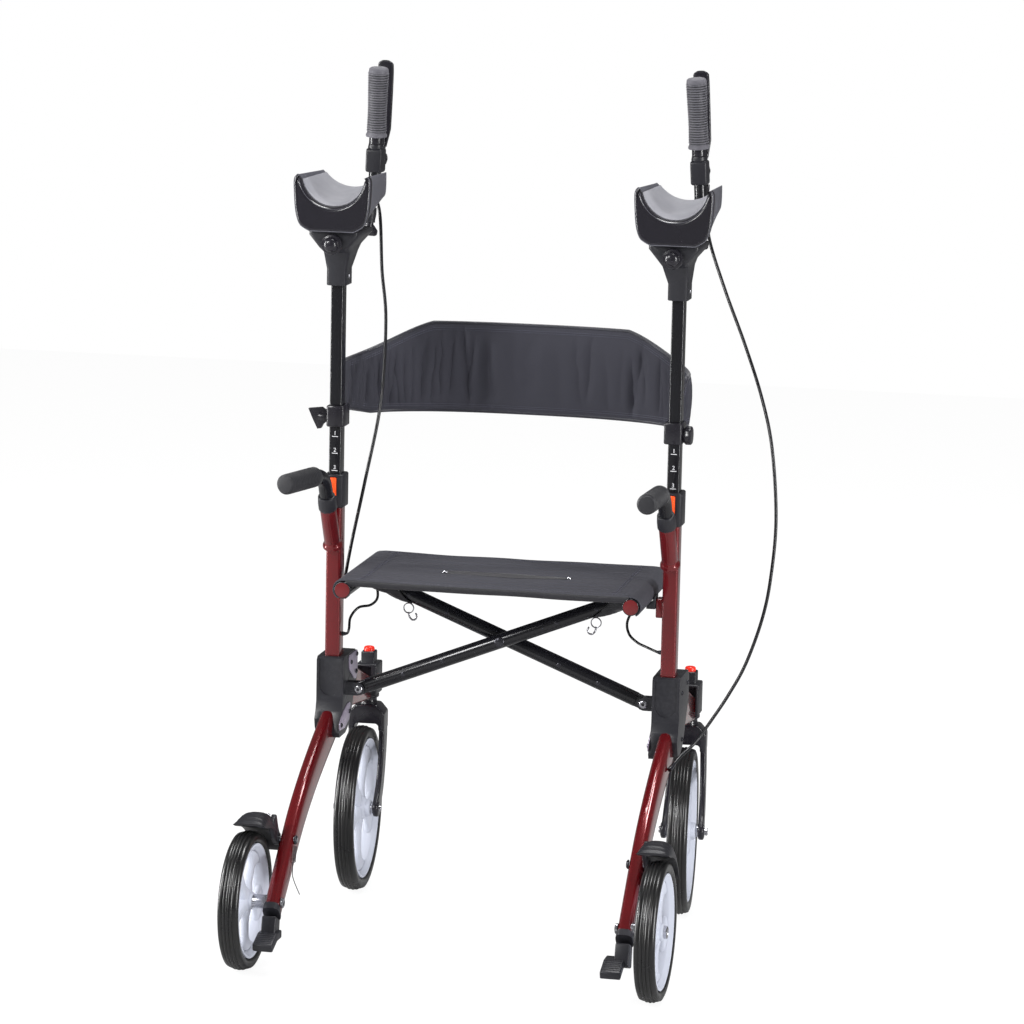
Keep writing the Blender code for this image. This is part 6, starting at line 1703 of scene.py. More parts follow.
    def trough_lining(self) -> None:
        """The padded lining that lies in the gutter."""
        rows, columns = 26, 28
        grid: list[list[Vector]] = []
        thick: list[list[float]] = []
        for i in range(rows + 1):
            y = -0.0355 + 0.1215 * i / rows
            hollow, _ = self.section((y + 0.050) / 0.138, columns)
            row = []
            layer = []
            for j, (x, z) in enumerate(hollow):
                across = j / columns
                edge = min(across, 1 - across, i / rows, 1 - i / rows)
                swell = 0.0034 * min(edge * 9, 1.0) ** 0.5 + 0.0012
                centre_z = TROUGH_BOTTOM + 0.12
                inward = Vector((-x, centre_z - z)).normalized()
                row.append(Vector((TROUGH_X + x + inward.x * 0.0012, y, z + inward.y * 0.0012)))
                layer.append(swell)
            grid.append(row)
            thick.append(layer)
        shape = Shape().quilt(grid, thick)
        lining = self.dress("gutter_lining", shape, [TROUGH_LINING], "upper", "foam_grey", smooth=60)

    def trough_knob(self) -> None:
        """The knob behind the bracket: a boss with a ball in front of it."""
        shape = Shape()
        profile = [(0, 0.0215), (0.0045, 0.0212), (0.0078, 0.0198), (0.0098, 0.0172), (0.0108, 0.0145),
                   (0.0112, 0.0125)]
        profile += [(0.0140, 0.0118), (0.0150, 0.0105), (0.0152, 0.0040), (0.0140, 0.0014), (0.012, GAP), (0, GAP)]
        shape.lathe(profile, (TROUGH_X, -0.038, 1.0177), (0, -1, 0), 48)
        self.dress("clamp_ball", shape, [SATIN_PLASTIC], "trough_clamp", "plastic_black", "trough_knob")


@dataclass
class Handle(SideAssembly):
    """The bent rod with its housing, the grip, the brake lever and the wing knob below."""

    bend_y: float = 0.173
    bend_radius: float = 0.035
    bend_angle: float = math.radians(96.5)
    tilt: float = math.radians(2.8)

    def place(self) -> Matrix:
        """From the upright handle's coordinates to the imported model."""
        axis = Matrix.Translation((TROUGH_X, 0, ROD_Z))
        return self.side.matrix() @ axis @ Matrix.Rotation(-self.tilt, 4, "Y") @ axis.inverted()

    def top(self) -> tuple[Vector, Vector]:
        """Where the bend ends, and the direction of the upright stretch."""
        centre = Vector((TROUGH_X, self.bend_y, ROD_Z + self.bend_radius))
        bend = self.bend_angle
        start = centre + self.bend_radius * Vector((0, math.sin(bend), -math.cos(bend)))
        return start, Vector((0, math.cos(bend), math.sin(bend)))

    def pivot(self) -> Vector:
        """The lever's pivot."""
        start, up = self.top()
        return start + up * 0.0305 + Vector((0, 0.033, 0))

    def build(self) -> None:
        """Make every piece of the handle."""
        self.rod()
        self.grip()
        self.lever()
        self.soften("wing_screw", "rod_knob", SATIN_PLASTIC, "rod_clamp", "plastic_black", 0.0007)

    def rod(self) -> None:
        """The bent rod, the lever's housing and the boss below the bend."""
        start, up = self.top()
        bend = arc((self.bend_y, ROD_Z + self.bend_radius), self.bend_radius, -math.pi / 2,
                   self.bend_angle - math.pi / 2, 18)
        route = [(TROUGH_X, 0.010, ROD_Z)] + [(TROUGH_X, y, z) for y, z in bend] + [tuple(start + up * 0.158)]
        shape = Shape().tube(route, 0.0095, 32, 0.0006)
        shape.paint = 1
        low, high = start + up * 0.012, start + up * 0.049
        outline = [(low.y - 0.015, low.z), (low.y + 0.016, low.z), (high.y + 0.018, high.z), (high.y - 0.014, high.z)]
        shape.slab(rounded(outline, 0.005, 5), "X", TROUGH_X - 0.0125, TROUGH_X + 0.0125, 0.0035, 4)
        pivot = self.pivot()
        for way in (-1, 1):
            near = TROUGH_X + way * (0.005 + GAP)
            far = near + way * 0.004
            cheek = [
                (low.y + 0.004, pivot.z - 0.010), (pivot.y, pivot.z - 0.008), (pivot.y + 0.007, pivot.z - 0.003),
                (pivot.y + 0.007, pivot.z + 0.003), (pivot.y, pivot.z + 0.008), (low.y + 0.004, pivot.z + 0.010),
            ]
            shape.slab(rounded(cheek, 0.003), "X", min(near, far), max(near, far), 0.0009)
        shape.tube([start + up * 0.0488, start + up * 0.0560], [0.0122, 0.0112], 32, 0.0010)
        shape.lathe([(0, -0.0003), (0.0085, -0.0003), (0.0085, -0.004), (0.0098, -0.012), (0.0098, -0.022),
                     (0, -0.022)],
                    (TROUGH_X, self.bend_y + 0.017, ROD_Z - 0.024), (0, 0, -1), 32)
        shape.paint = 2
        shape.tube([(TROUGH_X - 0.0104, pivot.y, pivot.z), (TROUGH_X + 0.0104, pivot.y, pivot.z)], 0.0030, 20, 0.0006)
        shape.tube([start + up * 0.0562, start + up * 0.0580, start + up * 0.0660], [0.0108, 0.0108, 0.0106], 32,
                   0.0005)
        finishes = [BLACK_LACQUER, MOULDED, SATIN_PLASTIC]
        self.dress("handle_bar", shape, finishes, "handle", "tube_black", "handle_rod", self.place())

    def grip(self) -> None:
        """The ribbed foam grip with its collar and cap; its core between the ribs is painted dark as painted shade in
        the grooves.
        """
        start, up = self.top()
        base = start + up * 0.067
        flare = [(0.0, 0.0), (0.0158, 0.0), (0.0160, 0.0010), (0.0160, 0.0030), (0.0150, 0.0046), (0.0142, 0.0072),
                 (0.0, 0.0072)]
        cap = [(0.0, 0.0975), (0.0149, 0.0975), (0.0150, 0.0995), (0.0144, 0.1030), (0.0122, 0.1048),
               (0.0060, 0.1050), (0.0, 0.1050)]
        shape = Shape().lathe(flare, base, up, 40).lathe(cap, base, up, 40)
        # The core between the ribs takes the dark foam as painted shade in the grooves.
        shape.paint = 1
        shape.lathe([(0.0, 0.0068), (0.0136, 0.0068), (0.0131, 0.036), (0.0137, 0.062), (0.0143, 0.090),
                     (0.0144, 0.098), (0.0, 0.098)], base, up, 40)
        shape.paint = 0
        rings = 24
        for number in range(rings):
            height = 0.0095 + 0.0865 * number / (rings - 1)
            share = height / 0.105
            size = 0.0133 + 0.0014 * max(abs(share - 0.36) - 0.06, 0.0) / 0.55
            shape.lathe(
                [(size - 0.0012, height - 0.0013), (size + 0.0010, height - 0.0009), (size + 0.0014, height),
                 (size + 0.0010, height + 0.0009), (size - 0.0012, height + 0.0013)],
                base, up, 40, True,
            )
        self.dress(
            "foam_sleeve", shape, [FOAM, DARK_FOAM_AND_GROOVE_SHADE], "handle", "foam_grey", "hand_grip", self.place(), smooth=50
        )

    def lever(self) -> None:
        """The brake lever in front of the grip, a shallow channel with a hooked tip."""
        pivot = self.pivot()
        root = [(pivot.y, pivot.z), (pivot.y + 0.003, pivot.z + 0.020), (pivot.y + 0.004, pivot.z + 0.040)]
        shape = Shape().slab(rounded(strip(root, [0.006, 0.006, 0.005]), 0.003), "X", TROUGH_X - 0.005,
                             TROUGH_X + 0.005, 0.0012)
        line = smooth_line([(0.0035, 0.018), (0.005, 0.045), (0.0045, 0.075), (0.003, 0.105), (0.000, 0.132),
                            (-0.006, 0.148)], 6)
        rings = []
        for index, point in enumerate(line):
            share = index / (len(line) - 1)
            after = line[min(index + 1, len(line) - 1)]
            before = line[max(index - 1, 0)]
            along = (after - before).normalized()
            across = Vector((along.y, -along.x))
            half = 0.0070 + 0.0050 * min(share * 5, 1.0)
            half *= 1.0 - 0.45 * max((share - 0.93) / 0.07, 0.0) ** 2
            thick = 0.0038 * (1.0 - 0.35 * max((share - 0.93) / 0.07, 0.0) ** 2)
            ring = []
            for k in range(24):
                angle = math.tau * k / 24
                a = math.copysign(abs(math.cos(angle)) ** 0.6, math.cos(angle))
                b = math.copysign(abs(math.sin(angle)) ** 0.7, math.sin(angle))
                bow = 0.0012 * (1 - a * a)
                spot = point + across * (b * thick + bow)
                ring.append((TROUGH_X + half * a, pivot.y + spot.x, pivot.z + spot.y))
            rings.append(ring)
        shape.loft(rings)
        self.dress(
            "brake_blade", shape, [SATIN_PLASTIC], "lever", "plastic_black", "brake_lever", self.place(), smooth=50
        )


@dataclass
class Scissor:
    """The two crossing bars with the seat tubes on their upper ends."""

    rear_y: float = 0.014
    front_y: float = 0.038
    radius: float = 0.011
    tube_radius: float = 0.0125
    tube_span: Flat = (-0.104, 0.148)

    def bar(self, y: float, way: int) -> Shape:
        """A bar that pivots on the side of way and carries the seat tube on the other."""
        shape = Shape()
        pivot = Vector((way * SEAT_TUBE_X, y, PIVOT_Z))
        head = Vector((-way * SEAT_TUBE_X, y, SEAT_TUBE_Z))
        along = (head - pivot).normalized()
        shape.tube([pivot + along * 0.0125, pivot + along * 0.2, head - along * 0.002], self.radius, 36, 0.0008)
        angle = math.atan2(along.z, along.x)
        tongue = arc((pivot.x, pivot.z), 0.0095, angle + math.pi / 2, angle + 3 * math.pi / 2, 16)
        far = pivot + along * 0.0245
        across = Vector((-along.z, along.x)) * 0.0095
        tongue += [(far.x - across.x, far.z - across.y), (far.x + across.x, far.z + across.y)]
        shape.slab(tongue, "Y", y - 0.006, y + 0.006, 0.0010)
        low, high = self.tube_span
        shape.tube([(-way * SEAT_TUBE_X, low, SEAT_TUBE_Z), (-way * SEAT_TUBE_X, high, SEAT_TUBE_Z)],
                   self.tube_radius, 40, 0.0010)
        shape.paint = 1
        for at, out in ((low, -1), (high, 1)):
            cap = [(0, 0.0), (0.0090, 0.0), (0.0116, -0.0005), (0.0123, -0.0016), (0.0123, -0.004), (0, -0.004)]
            shape.lathe([(r, h - 0.00005) for r, h in cap], (-way * SEAT_TUBE_X, at + out * 0.00045, SEAT_TUBE_Z),
                        (0, out, 0), 40)
        shape.paint = 2
        for share in (0.16, 0.30, 0.70, 0.84):
            spot = pivot.lerp(head, share)
            spot.y = y - self.radius + 0.0012
            shape.lathe([(0, 0), (0.0036, 0), (0.0034, 0.0012), (0.0020, 0.0020), (0, 0.0021)], spot, (0, -1, 0), 18)
        return shape

    def build(self) -> None:
        """Make both bars, the crossing bolt with them."""
        finishes = [BLACK_LACQUER, RED_CAP, DARK_STEEL]
        Piece(
            "crossing_bar_front", self.bar(self.front_y, 1), finishes, "cross_front", "tube_black",
            ["cross_bar_front"], WORLD,
        ).build()
        rear = self.bar(self.rear_y, -1)
        crossing = (PIVOT_Z + SEAT_TUBE_Z) / 2
        face = self.front_y + self.radius + GAP
        rear.tube([(0, self.rear_y - 0.0118, crossing), (0, face + 0.003, crossing)], 0.005, 20, 0.0005)
        rear.tube([(0, self.rear_y, crossing), (0, self.front_y - self.radius - GAP, crossing)], 0.0085, 24, 0.0005)
        rear.lathe([(0, 0), (0.008, 0), (0.008, 0.0042), (0.0066, 0.005), (0, 0.005)], (0, face, crossing),
                   (0, 1, 0), 6)
        rear.lathe([(0, 0), (0.0078, 0), (0.0074, 0.0016), (0.0050, 0.0034), (0, 0.0036)],
                   (0, self.rear_y - self.radius + 0.0008, crossing), (0, -1, 0), 28)
        Piece("crossing_bar_rear", rear, finishes, "cross_rear", "tube_black", ["cross_bar_rear"], WORLD).build()


@dataclass
class SeatSling:
    """The seat cloth between the two tubes, its pull strap and its stitching."""

    rear: float = -0.101
    front: float = 0.145
    radius: float = 0.0143
    thickness: float = 0.0028
    wrap: float = math.radians(150)
    channels: tuple[float, ...] = (-0.072, -0.048, -0.024, 0.040, 0.064, 0.088, 0.112)

    def hang(self, piece: bpy.types.Object) -> None:
        """Bake a piece's placement into its mesh."""
        ends = [WORLD @ Vector((way * SEAT_TUBE_X, 0.02, SEAT_TUBE_Z)) for way in (-1, 1)]
        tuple(ends[0])
        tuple(ends[1])
        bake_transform(piece)

    def across(self) -> list[Flat]:
        """The cloth's section from the left wrap over the top to the right wrap."""
        right = arc((SEAT_TUBE_X, SEAT_TUBE_Z), self.radius, math.pi / 2, math.pi / 2 - self.wrap, 12)
        flat = [(SEAT_TUBE_X * (step / 60 * 2 - 1), SEAT_TUBE_Z + self.radius) for step in range(1, 60)]
        return [(-x, z) for x, z in reversed(right)] + flat + right

    def surface(self, x: float, y: float) -> float:
        """How far the cloth dips below its flat height at a point."""
        share = max(1 - (x / SEAT_TUBE_X) ** 2, 0.0)
        across = (y - self.rear) / (self.front - self.rear)
        dip = 0.0030 * share * math.sin(math.pi * (0.15 + 0.7 * across))
        for line in self.channels:
            bend = line + 0.003 * math.sin(x * 17 + line * 90)
            dip += 0.0034 * share ** 0.3 * math.exp(-((y - bend) / 0.0032) ** 2)
        dip -= 0.0022 * share ** 0.5 * noise.noise(Vector((x * 9, y * 70, 1.7)))
        pull = math.exp(-((abs(x - 0.005) - 0.072) / 0.030) ** 2) * math.exp(-((y - 0.010) / 0.018) ** 2)
        return dip - 0.0006 * pull * math.sin(y * 900)

    def build(self) -> None:
        """Make the cloth, its hems, its strap and the clips below."""
        section = self.across()
        lanes = 96
        grid: list[list[Vector]] = []
        thick: list[list[float]] = []
        for lane in range(lanes + 1):
            share = lane / lanes
            y = self.rear + (self.front - self.rear) * share
            roll = min(share, 1 - share) * (self.front - self.rear)
            row, layer = [], []
            for x, z in section:
                on_top = abs(x) < SEAT_TUBE_X - 0.001
                row.append(Vector((x, y, z - (self.surface(x, y) if on_top else 0.0))))
                hem = 0.0012 if 0.002 < roll < 0.012 else 0.0
                layer.append(self.thickness * (0.55 + 0.45 * min(roll / 0.002, 1.0)) + (hem if on_top else 0.0))
            grid.append(row)
            thick.append(layer)
        shape = Shape().quilt(grid, thick)
        sling = Piece(
            "seat_cover", shape, [SEAT_CLOTH], "", "seat_cloth", ["seat_sling"], WORLD, smooth=60,
        ).build()
        self.hang(sling)
        length = sum(math.dist(a, b) for a, b in zip(section, section[1:]))
        self.hem_roll()
        self.flap("left", -1, 0.038, "cross_front")
        self.flap("right", 1, 0.014, "cross_rear")
        self.strap()
        self.stitches()

    def flap(self, name: str, way: int, y: float, body: str) -> None:
        """The gusset that wraps a bar's upper end, with the ring and snap hook that hang from it.

        Args:
            name: left or right.
            way: -1 on the left, 1 on the right.
            y: where the bar lies.
            body: the bar's body.
        """
        head = Vector((way * SEAT_TUBE_X, y, SEAT_TUBE_Z))
        along = (Vector((-way * SEAT_TUBE_X, y, PIVOT_Z)) - head).normalized()
        below = Vector((0, 1, 0)).cross(along)
        below = below if below.z < 0 else -below
        grid = []
        for row in range(13):
            line = []
            for step in range(25):
                angle = math.radians(-118 + 236 * step / 24)
                tip = 0.052 + 0.034 * max(0.0, 1 - abs(math.degrees(angle) + 35) / 75)
                reach = 0.018 + (tip - 0.018) * row / 12
                size = 0.0130 + 0.0012 * math.sin(row * 0.9 + step * 0.7)
                size += 0.004 * (1 - row / 12) * abs(math.sin(angle))
                around = below * math.cos(angle) + Vector((0, 1, 0)) * math.sin(angle)
                line.append(head + along * reach + around * size)
            grid.append(line)
        shape = Shape().quilt(grid, [[0.0016] * 25 for _ in grid])
        Piece(f"seat_gusset_{name}", shape, [SEAT_HEM], body, "seat_cloth", place=WORLD, smooth=60).build()
        metal = Shape()
        low = head + along * 0.080 + below * 0.0128 + Vector((0, -0.0085, 0))
        ring = [low + Vector((0.0075 * math.cos(a), 0, -0.0060 + 0.0075 * math.sin(a))) for a in
                (math.tau * k / 24 for k in range(24))]
        for turn in (-1, 1):
            metal.loft([[
                point + Vector((0, turn * 0.0009, 0))
                + (point - low - Vector((0, 0, -0.006))).normalized() * 0.0008 * math.cos(a)
                + Vector((0, 1, 0)) * 0.0008 * math.sin(a) for a in (math.tau * k / 8 for k in range(8))
            ] for point in ring], wrap=True)
        hook = smooth_line([low + Vector((x * way, 0, z)) for x, z in (
            (0.0, -0.0120), (-0.0010, -0.0185), (-0.0055, -0.0235), (-0.0105, -0.0225), (-0.0125, -0.0175),
            (-0.0105, -0.0130),
        )], 5)
        metal.tube(hook, 0.0014, 10, 0.0004)
        Piece(f"snap_hook_{name}", metal, [STEEL], body, "rim_silver", place=WORLD).build()

    def hem_roll(self) -> None:
        """The thick rolled edges in front and behind."""
        shape = Shape()
        for y, way in ((self.rear + 0.0015, -1), (self.front - 0.0015, 1)):
            rings = []
            for step in range(61):
                x = (SEAT_TUBE_X - 0.004) * (step / 30 - 1)
                middle = SEAT_TUBE_Z + self.radius - 0.0040 - self.surface(x, y)
                angles = [math.tau * k / 16 for k in range(16)]
                rings.append([
                    (x, y + way * 0.0012 + 0.0022 * math.cos(angle), middle + 0.0048 * math.sin(angle))
                    for angle in angles
                ])
            shape.loft(rings)
        roll = Piece("seat_hems", shape, [SEAT_HEM], "", "seat_cloth", place=WORLD).build()
        self.hang(roll)

    def strap(self) -> None:
        """The pull strap that lies in the middle, and the bar tacks at its ends."""
        rows: list[list[Vector]] = []
        for side in range(9):
            v = side / 8 - 0.5
            row = []
            for step in range(49):
                u = step / 48
                x = -0.085 + 0.185 * u
                swell = math.sin(math.pi * min(max(u, 0.02), 0.98)) ** 0.4
                y = 0.012 + 0.004 * math.sin(math.pi * u) + v * 0.022 * (0.25 + 0.75 * swell)
                lift = 0.0028 * math.sin(math.pi * u) ** 0.5
                height = SEAT_TUBE_Z + self.radius + 0.0016 + lift * (1 - 2.2 * abs(v)) - self.surface(x, y)
                row.append(Vector((x, y, height)))
            rows.append(row)
        shape = Shape().quilt(rows, [[0.0014] * 49 for _ in rows])
        strap = Piece("pull_strap", shape, [SEAT_HEM], "", "seat_cloth", place=WORLD, smooth=60).build()
        self.hang(strap)
        tacks = Shape()
        for x in (-0.086, 0.101):
            z = SEAT_TUBE_Z + self.radius + 0.0022 - self.surface(x, 0.012)
            for turn in (-1, 1):
                route = smooth_line([(x - 0.004, 0.012 - 0.004 * turn, z), (x, 0.012, z + 0.0022),
                                     (x + 0.004, 0.012 + 0.004 * turn, z)], 6)
                tacks.tube(route, 0.0009, 10, 0.0003)
        self.hang(Piece("strap_tacks", tacks, [STEEL], "", "rim_silver", place=WORLD).build())

    def stitches(self) -> None:
        """Rows of thread along the two tubes and the two hems."""
        deep, top = self.front - self.rear, SEAT_TUBE_Z + self.radius + self.thickness / 2 + 0.0006
        lines = [
            [(x, self.rear + 0.004 + (deep - 0.008) * step / 39) for step in range(40)]
            for x in (-0.190, -0.186, 0.186, 0.190)
        ]
        lines += [
            [(-0.205 + 0.41 * step / 59, y) for step in range(60)] for y in (self.rear + 0.011, self.front - 0.011)
        ]
        shape = Shape()
        for line in lines:
            stitch = Shape().tube([(-0.0012, 0, 0), (0, 0, 0.0002), (0.0012, 0, 0)], 0.00035, 5)
            route = [(x, y, top - self.surface(x, y)) for x, y in line]
            shape.add(repeated(Repeat.PATH, stitch, THREAD, route, Spacing=0.0042))
        threads = Piece("seat_stitching", shape, [THREAD], "", "seat_cloth", place=WORLD).build()
        self.hang(threads)


@dataclass
class BackrestBand:
    """The wrinkled cloth band that bows forward between the two posts."""

    half_span: float = 0.260
    start_y: float = 0.060
    reach: float = 0.145
    roundness: float = 2.6
    folds: list[tuple[float, float, float, float, float]] = field(default_factory=list)

    def plan(self, share: float) -> Vector:
        """A point of the band in plan; share runs from -1 at the left clamp to 1 at the right."""
        start = 0.0316 + GAP + 0.003
        size = abs(share)
        sign = math.copysign(1.0, share)
        if size > 0.88:
            along = (1 - size) / 0.12
            return Vector((sign * (0.252 + 0.008 * along), start + (self.start_y - start) * along))
        angle = size / 0.88 * math.pi / 2
        across = math.sin(angle) ** (2 / self.roundness)
        ahead = math.cos(angle) ** (2 / self.roundness)
        return Vector((sign * self.half_span * across, self.start_y + self.reach * ahead))

    def edges(self, share: float, x: float) -> Flat:
        """Bottom and top of the band at a share of its length."""
        size = abs(share)
        slope = min(max((abs(x) - 0.150) / 0.110, 0.0), 1.0)
        slope = slope * slope * (3 - 2 * slope) * 0.35 + slope * 0.65
        lift = min(max((size - 0.6) / 0.28, 0.0), 1.0)
        tab = max((size - 0.88) / 0.12, 0.0)
        top = 0.880 - 0.048 * max(slope, float(tab > 0))
        top += (0.797 - top) * tab
        low = 0.747 + 0.015 * lift
        low += (0.757 - low) * tab
        return low, top

    def creases(self) -> list[tuple[float, float, float, float, float]]:
        """Place, width, lift, lean and middle height of each fold, places as shares from left to right."""
        draw = random.Random(11)
        folds = []
        for start, end, count, lift in (
            (0.08, 0.30, 15, 0.0056), (0.30, 0.47, 10, 0.0064), (0.47, 0.64, 7, 0.0034), (0.65, 0.69, 3, 0.0062),
            (0.72, 0.96, 15, 0.0040),
        ):
            for number in range(count):
                place = start + (end - start) * (number + draw.uniform(0.15, 0.85)) / count
                width = draw.uniform(0.0034, 0.0074)
                lean = draw.uniform(-0.10, 0.10) + 0.12 * (0.5 - place)
                folds.append((place, width, lift * draw.uniform(0.4, 1.0), lean, draw.uniform(0.25, 0.75)))
        return folds

    def wrinkle(self, share: float, along: float, height: float) -> float:
        """How far the folds lift the cloth.

        Args:
            share: -1 at the left clamp, 1 at the right.
            along: the whole length of the band, in metres.
            height: 0 at the bottom, 1 at the top.

        Returns:
            The lift, in metres.
        """
        place = (share + 1) / 2
        lift = 0.0
        for centre, width, amount, lean, middle in self.folds:
            reach = (place - centre) * along - lean * (height - middle) * 0.12
            reach += 0.0025 * noise.noise(Vector((height * 5, centre * 40, 0.5)))
            if abs(reach) > 3 * width:
                continue
            lift += amount * math.exp(-(reach / width) ** 2) * math.exp(-((height - middle) / 0.42) ** 4)
        ends = min(1.0, 5 * height, 4.2 * (1 - height)) if 0 < height < 1 else 0.0
        return (lift - 0.0022) * ends

    def build(self) -> None:
        """Make the band, its binding and its stitching."""
        self.folds = self.creases()
        columns, rows = 420, 36
        shares = [2 * step / columns - 1 for step in range(columns + 1)]
        plans = [self.plan(share) for share in shares]
        lengths = [0.0]
        for before, after in zip(plans, plans[1:]):
            lengths.append(lengths[-1] + (after - before).length)
        grid: list[list[Vector]] = []
        thick: list[list[float]] = []
        rim_low: list[Vector] = []
        rim_high: list[Vector] = []
        for row in range(rows + 1):
            height = row / rows
            line, layer = [], []
            for index, share in enumerate(shares):
                here = plans[index]
                along = (plans[min(index + 1, columns)] - plans[max(index - 1, 0)]).normalized()
                out = Vector((-along.y, along.x))
                low, top = self.edges(share, here.x)
                z = low + (top - low) * height
                tabbed = max((abs(share) - 0.88) / 0.12, 0.0)
                fold = self.wrinkle(share, lengths[-1], height) * (1 - tabbed)
                line.append(Vector((here.x + out.x * fold, here.y + out.y * fold, z)))
                swell = max(math.sin(math.pi * height), 0.0) ** 0.5 * (1 - abs(share) ** 6)
                layer.append(0.0040 + 0.0085 * swell)
                if row == 0:
                    rim_low.append(Vector((here.x, here.y, low)))
                if row == rows:
                    rim_high.append(Vector((here.x, here.y, top)))
            grid.append(line)
            thick.append(layer)
        shape = Shape().quilt(grid, thick)
        band = Piece(
            "backrest_cover", shape, [BAND_CLOTH], "backrest_left", "band_cloth", ["backrest_band"], WORLD, smooth=70,
        ).build()
        binding = Shape()
        for rim in (rim_low, rim_high):
            binding.tube(rim[::2], 0.0031, 12, 0.001)
        trim = Piece("band_binding_tape", binding, [BAND_BINDING], "backrest_left", "band_cloth", place=WORLD).build()
        threads = Shape()
        for rim, inset in ((rim_low, 0.010), (rim_low, 0.007), (rim_high, -0.010), (rim_high, -0.007)):
            for face in (-1, 1):
                line = []
                for index in range(12, columns - 11, 3):
                    along = (plans[index + 1] - plans[index - 1]).normalized()
                    out = Vector((-along.y, along.x))
                    share = shares[index]
                    height = abs(inset) / 0.12
                    swell = math.sin(math.pi * height) ** 0.5 * (1 - abs(share) ** 6)
                    shift = face * (0.0020 + 0.00425 * swell + 0.0002)
                    shift += self.wrinkle(share, lengths[-1], height if inset > 0 else 1 - height)
                    spot = rim[index] + Vector((out.x * shift, out.y * shift, inset))
                    line.append(spot)
                stitch = Shape().tube([(-0.0011, 0, 0), (0.0011, 0, 0)], 0.00038, 5)
                threads.add(repeated(Repeat.PATH, stitch, THREAD, line, Spacing=0.0040))
        sewing = Piece("band_stitching", threads, [THREAD], "backrest_left", "band_cloth", place=WORLD).build()
        for piece in (band, trim, sewing):
            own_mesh(piece)


@dataclass
class Cables:
    """The two brake cables and the two short seat-lock cables."""

    brake_radius: float = 0.0025
    lock_radius: float = 0.0020

    def brake_route(self, side: Side) -> list[Point]:
        """The brake cable's route, in the frame's coordinates, x not yet mirrored."""
        handle = Handle(side)
        start, up = handle.top()
        upright = side.matrix().inverted() @ handle.place()
        outlet = upright @ (start + up * (0.012 - GAP) + Vector((0.0085, 0.0118, 0))) + up * -0.0008
        first = (POST_X + outlet.x, outlet.y, outlet.z)
        second = (POST_X + outlet.x + 0.001, outlet.y + 0.003, outlet.z - 0.025)
        if side is RIGHT:
            return [
                first, second, (0.263, 0.215, 1.024), (0.2935, 0.190, 0.949), (0.332, 0.150, 0.873),
                (0.3656, 0.110, 0.799), (0.387, 0.080, 0.729), (0.3986, 0.060, 0.629), (0.3950, 0.048, 0.5435),
                (0.3848, 0.042, 0.482), (0.3646, 0.030, 0.417), (0.3427, 0.019, 0.3725), (0.3204, 0.009, 0.3355),
                (0.2985, -0.008, 0.3025), (0.2815, -0.034, 0.2865), (0.2705, -0.062, 0.272),
            ]
        return [
            first, (POST_X + outlet.x - 0.001, second[1], second[2]), (0.241, 0.208, 1.040), (0.226, 0.165, 0.960),
            (0.208, 0.120, 0.889), (0.199, 0.060, 0.777), (0.216, 0.038, 0.660), (0.236, 0.037, 0.560),
            (0.249, 0.044, 0.490), (0.254, 0.050, 0.440), (0.254, 0.052, 0.3973),
        ]

    def lock_route(self, side: Side) -> list[Point]:
        """The lock cable's route, in the side's coordinates."""
        inner = -0.0113 - 2 * GAP
        tube = Vector((-0.040, 0.060, SEAT_TUBE_Z))
        outlet = tube + Vector((-0.35, 0, -0.937)) * (0.0125 + 3 * GAP)
        if side is LEFT:
            return [
                tuple(outlet), tuple(tube + Vector((-0.013, 0, -0.026))), (-0.055, 0.054, 0.477),
                (-0.046, 0.049, 0.4675), (-0.0296, 0.042, 0.464), (-0.0203, 0.030, 0.451), (-0.0216, 0.016, 0.4365),
                (inner - 0.008, 0.0128, 0.430), (inner - 0.003, 0.0118, 0.429), (inner, 0.0118, 0.429),
            ]
        return [
            tuple(outlet), tuple(tube + Vector((-0.018, 0, -0.026))), (-0.0714, 0.056, 0.466),
            (-0.0677, 0.050, 0.4475),
            (-0.0526, 0.038, 0.4377), (-0.037, 0.027, 0.434), (inner - 0.009, 0.0148, 0.431),
            (inner - 0.003, 0.0118, 0.4305), (inner, 0.0118, 0.4305),
        ]

    def build(self) -> None:
        """Make the four cables with their ferrules."""
        for side in SIDES:
            mirror = WORLD @ Matrix.Diagonal((side.sign, 1, 1, 1))
            route = smooth_line(self.brake_route(side), 8)
            shape = Shape().tube(route, self.brake_radius, 14, 0.0004)
            shape.paint = 1
            head = [route[0], route[0].lerp(route[4], 0.5), route[4]]
            shape.tube(head, [0.0038, 0.0036, 0.0028], 16, 0.0005)
            tail = [route[-5], route[-2], route[-1]]
            shape.tube(tail, [0.0028, 0.0036, 0.0038], 16, 0.0005)
            cable = Piece(
                f"brake_hose_{side.name}", shape, [CABLE, SATIN_PLASTIC], "", "cable_black",
                [f"brake_cable_{side.name}"], mirror,
            ).build()
            low = mirror @ Vector((0.27, 0.05, 0.50))
            high = mirror @ Vector((0.27, 0.05, 1.02))
            high.x, high.y = low.x, low.y
            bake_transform(cable)
            route = smooth_line(self.lock_route(side), 8)
            shape = Shape().tube(route, self.lock_radius, 12, 0.0003)
            shape.paint = 1
            shape.tube([route[-14], route[-8], route[-1]], [0.0024, 0.0032, 0.0034], 14, 0.0004)
            wire = Piece(
                f"lock_wire_{side.name}", shape, [CABLE, DARK_STEEL], f"frame_{side.name}", "cable_black",
                [f"lock_cable_{side.name}"], side.matrix(),
            ).build()
            side.matrix() @ Vector((-0.0113, 0.04, 0.45))
            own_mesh(wire)


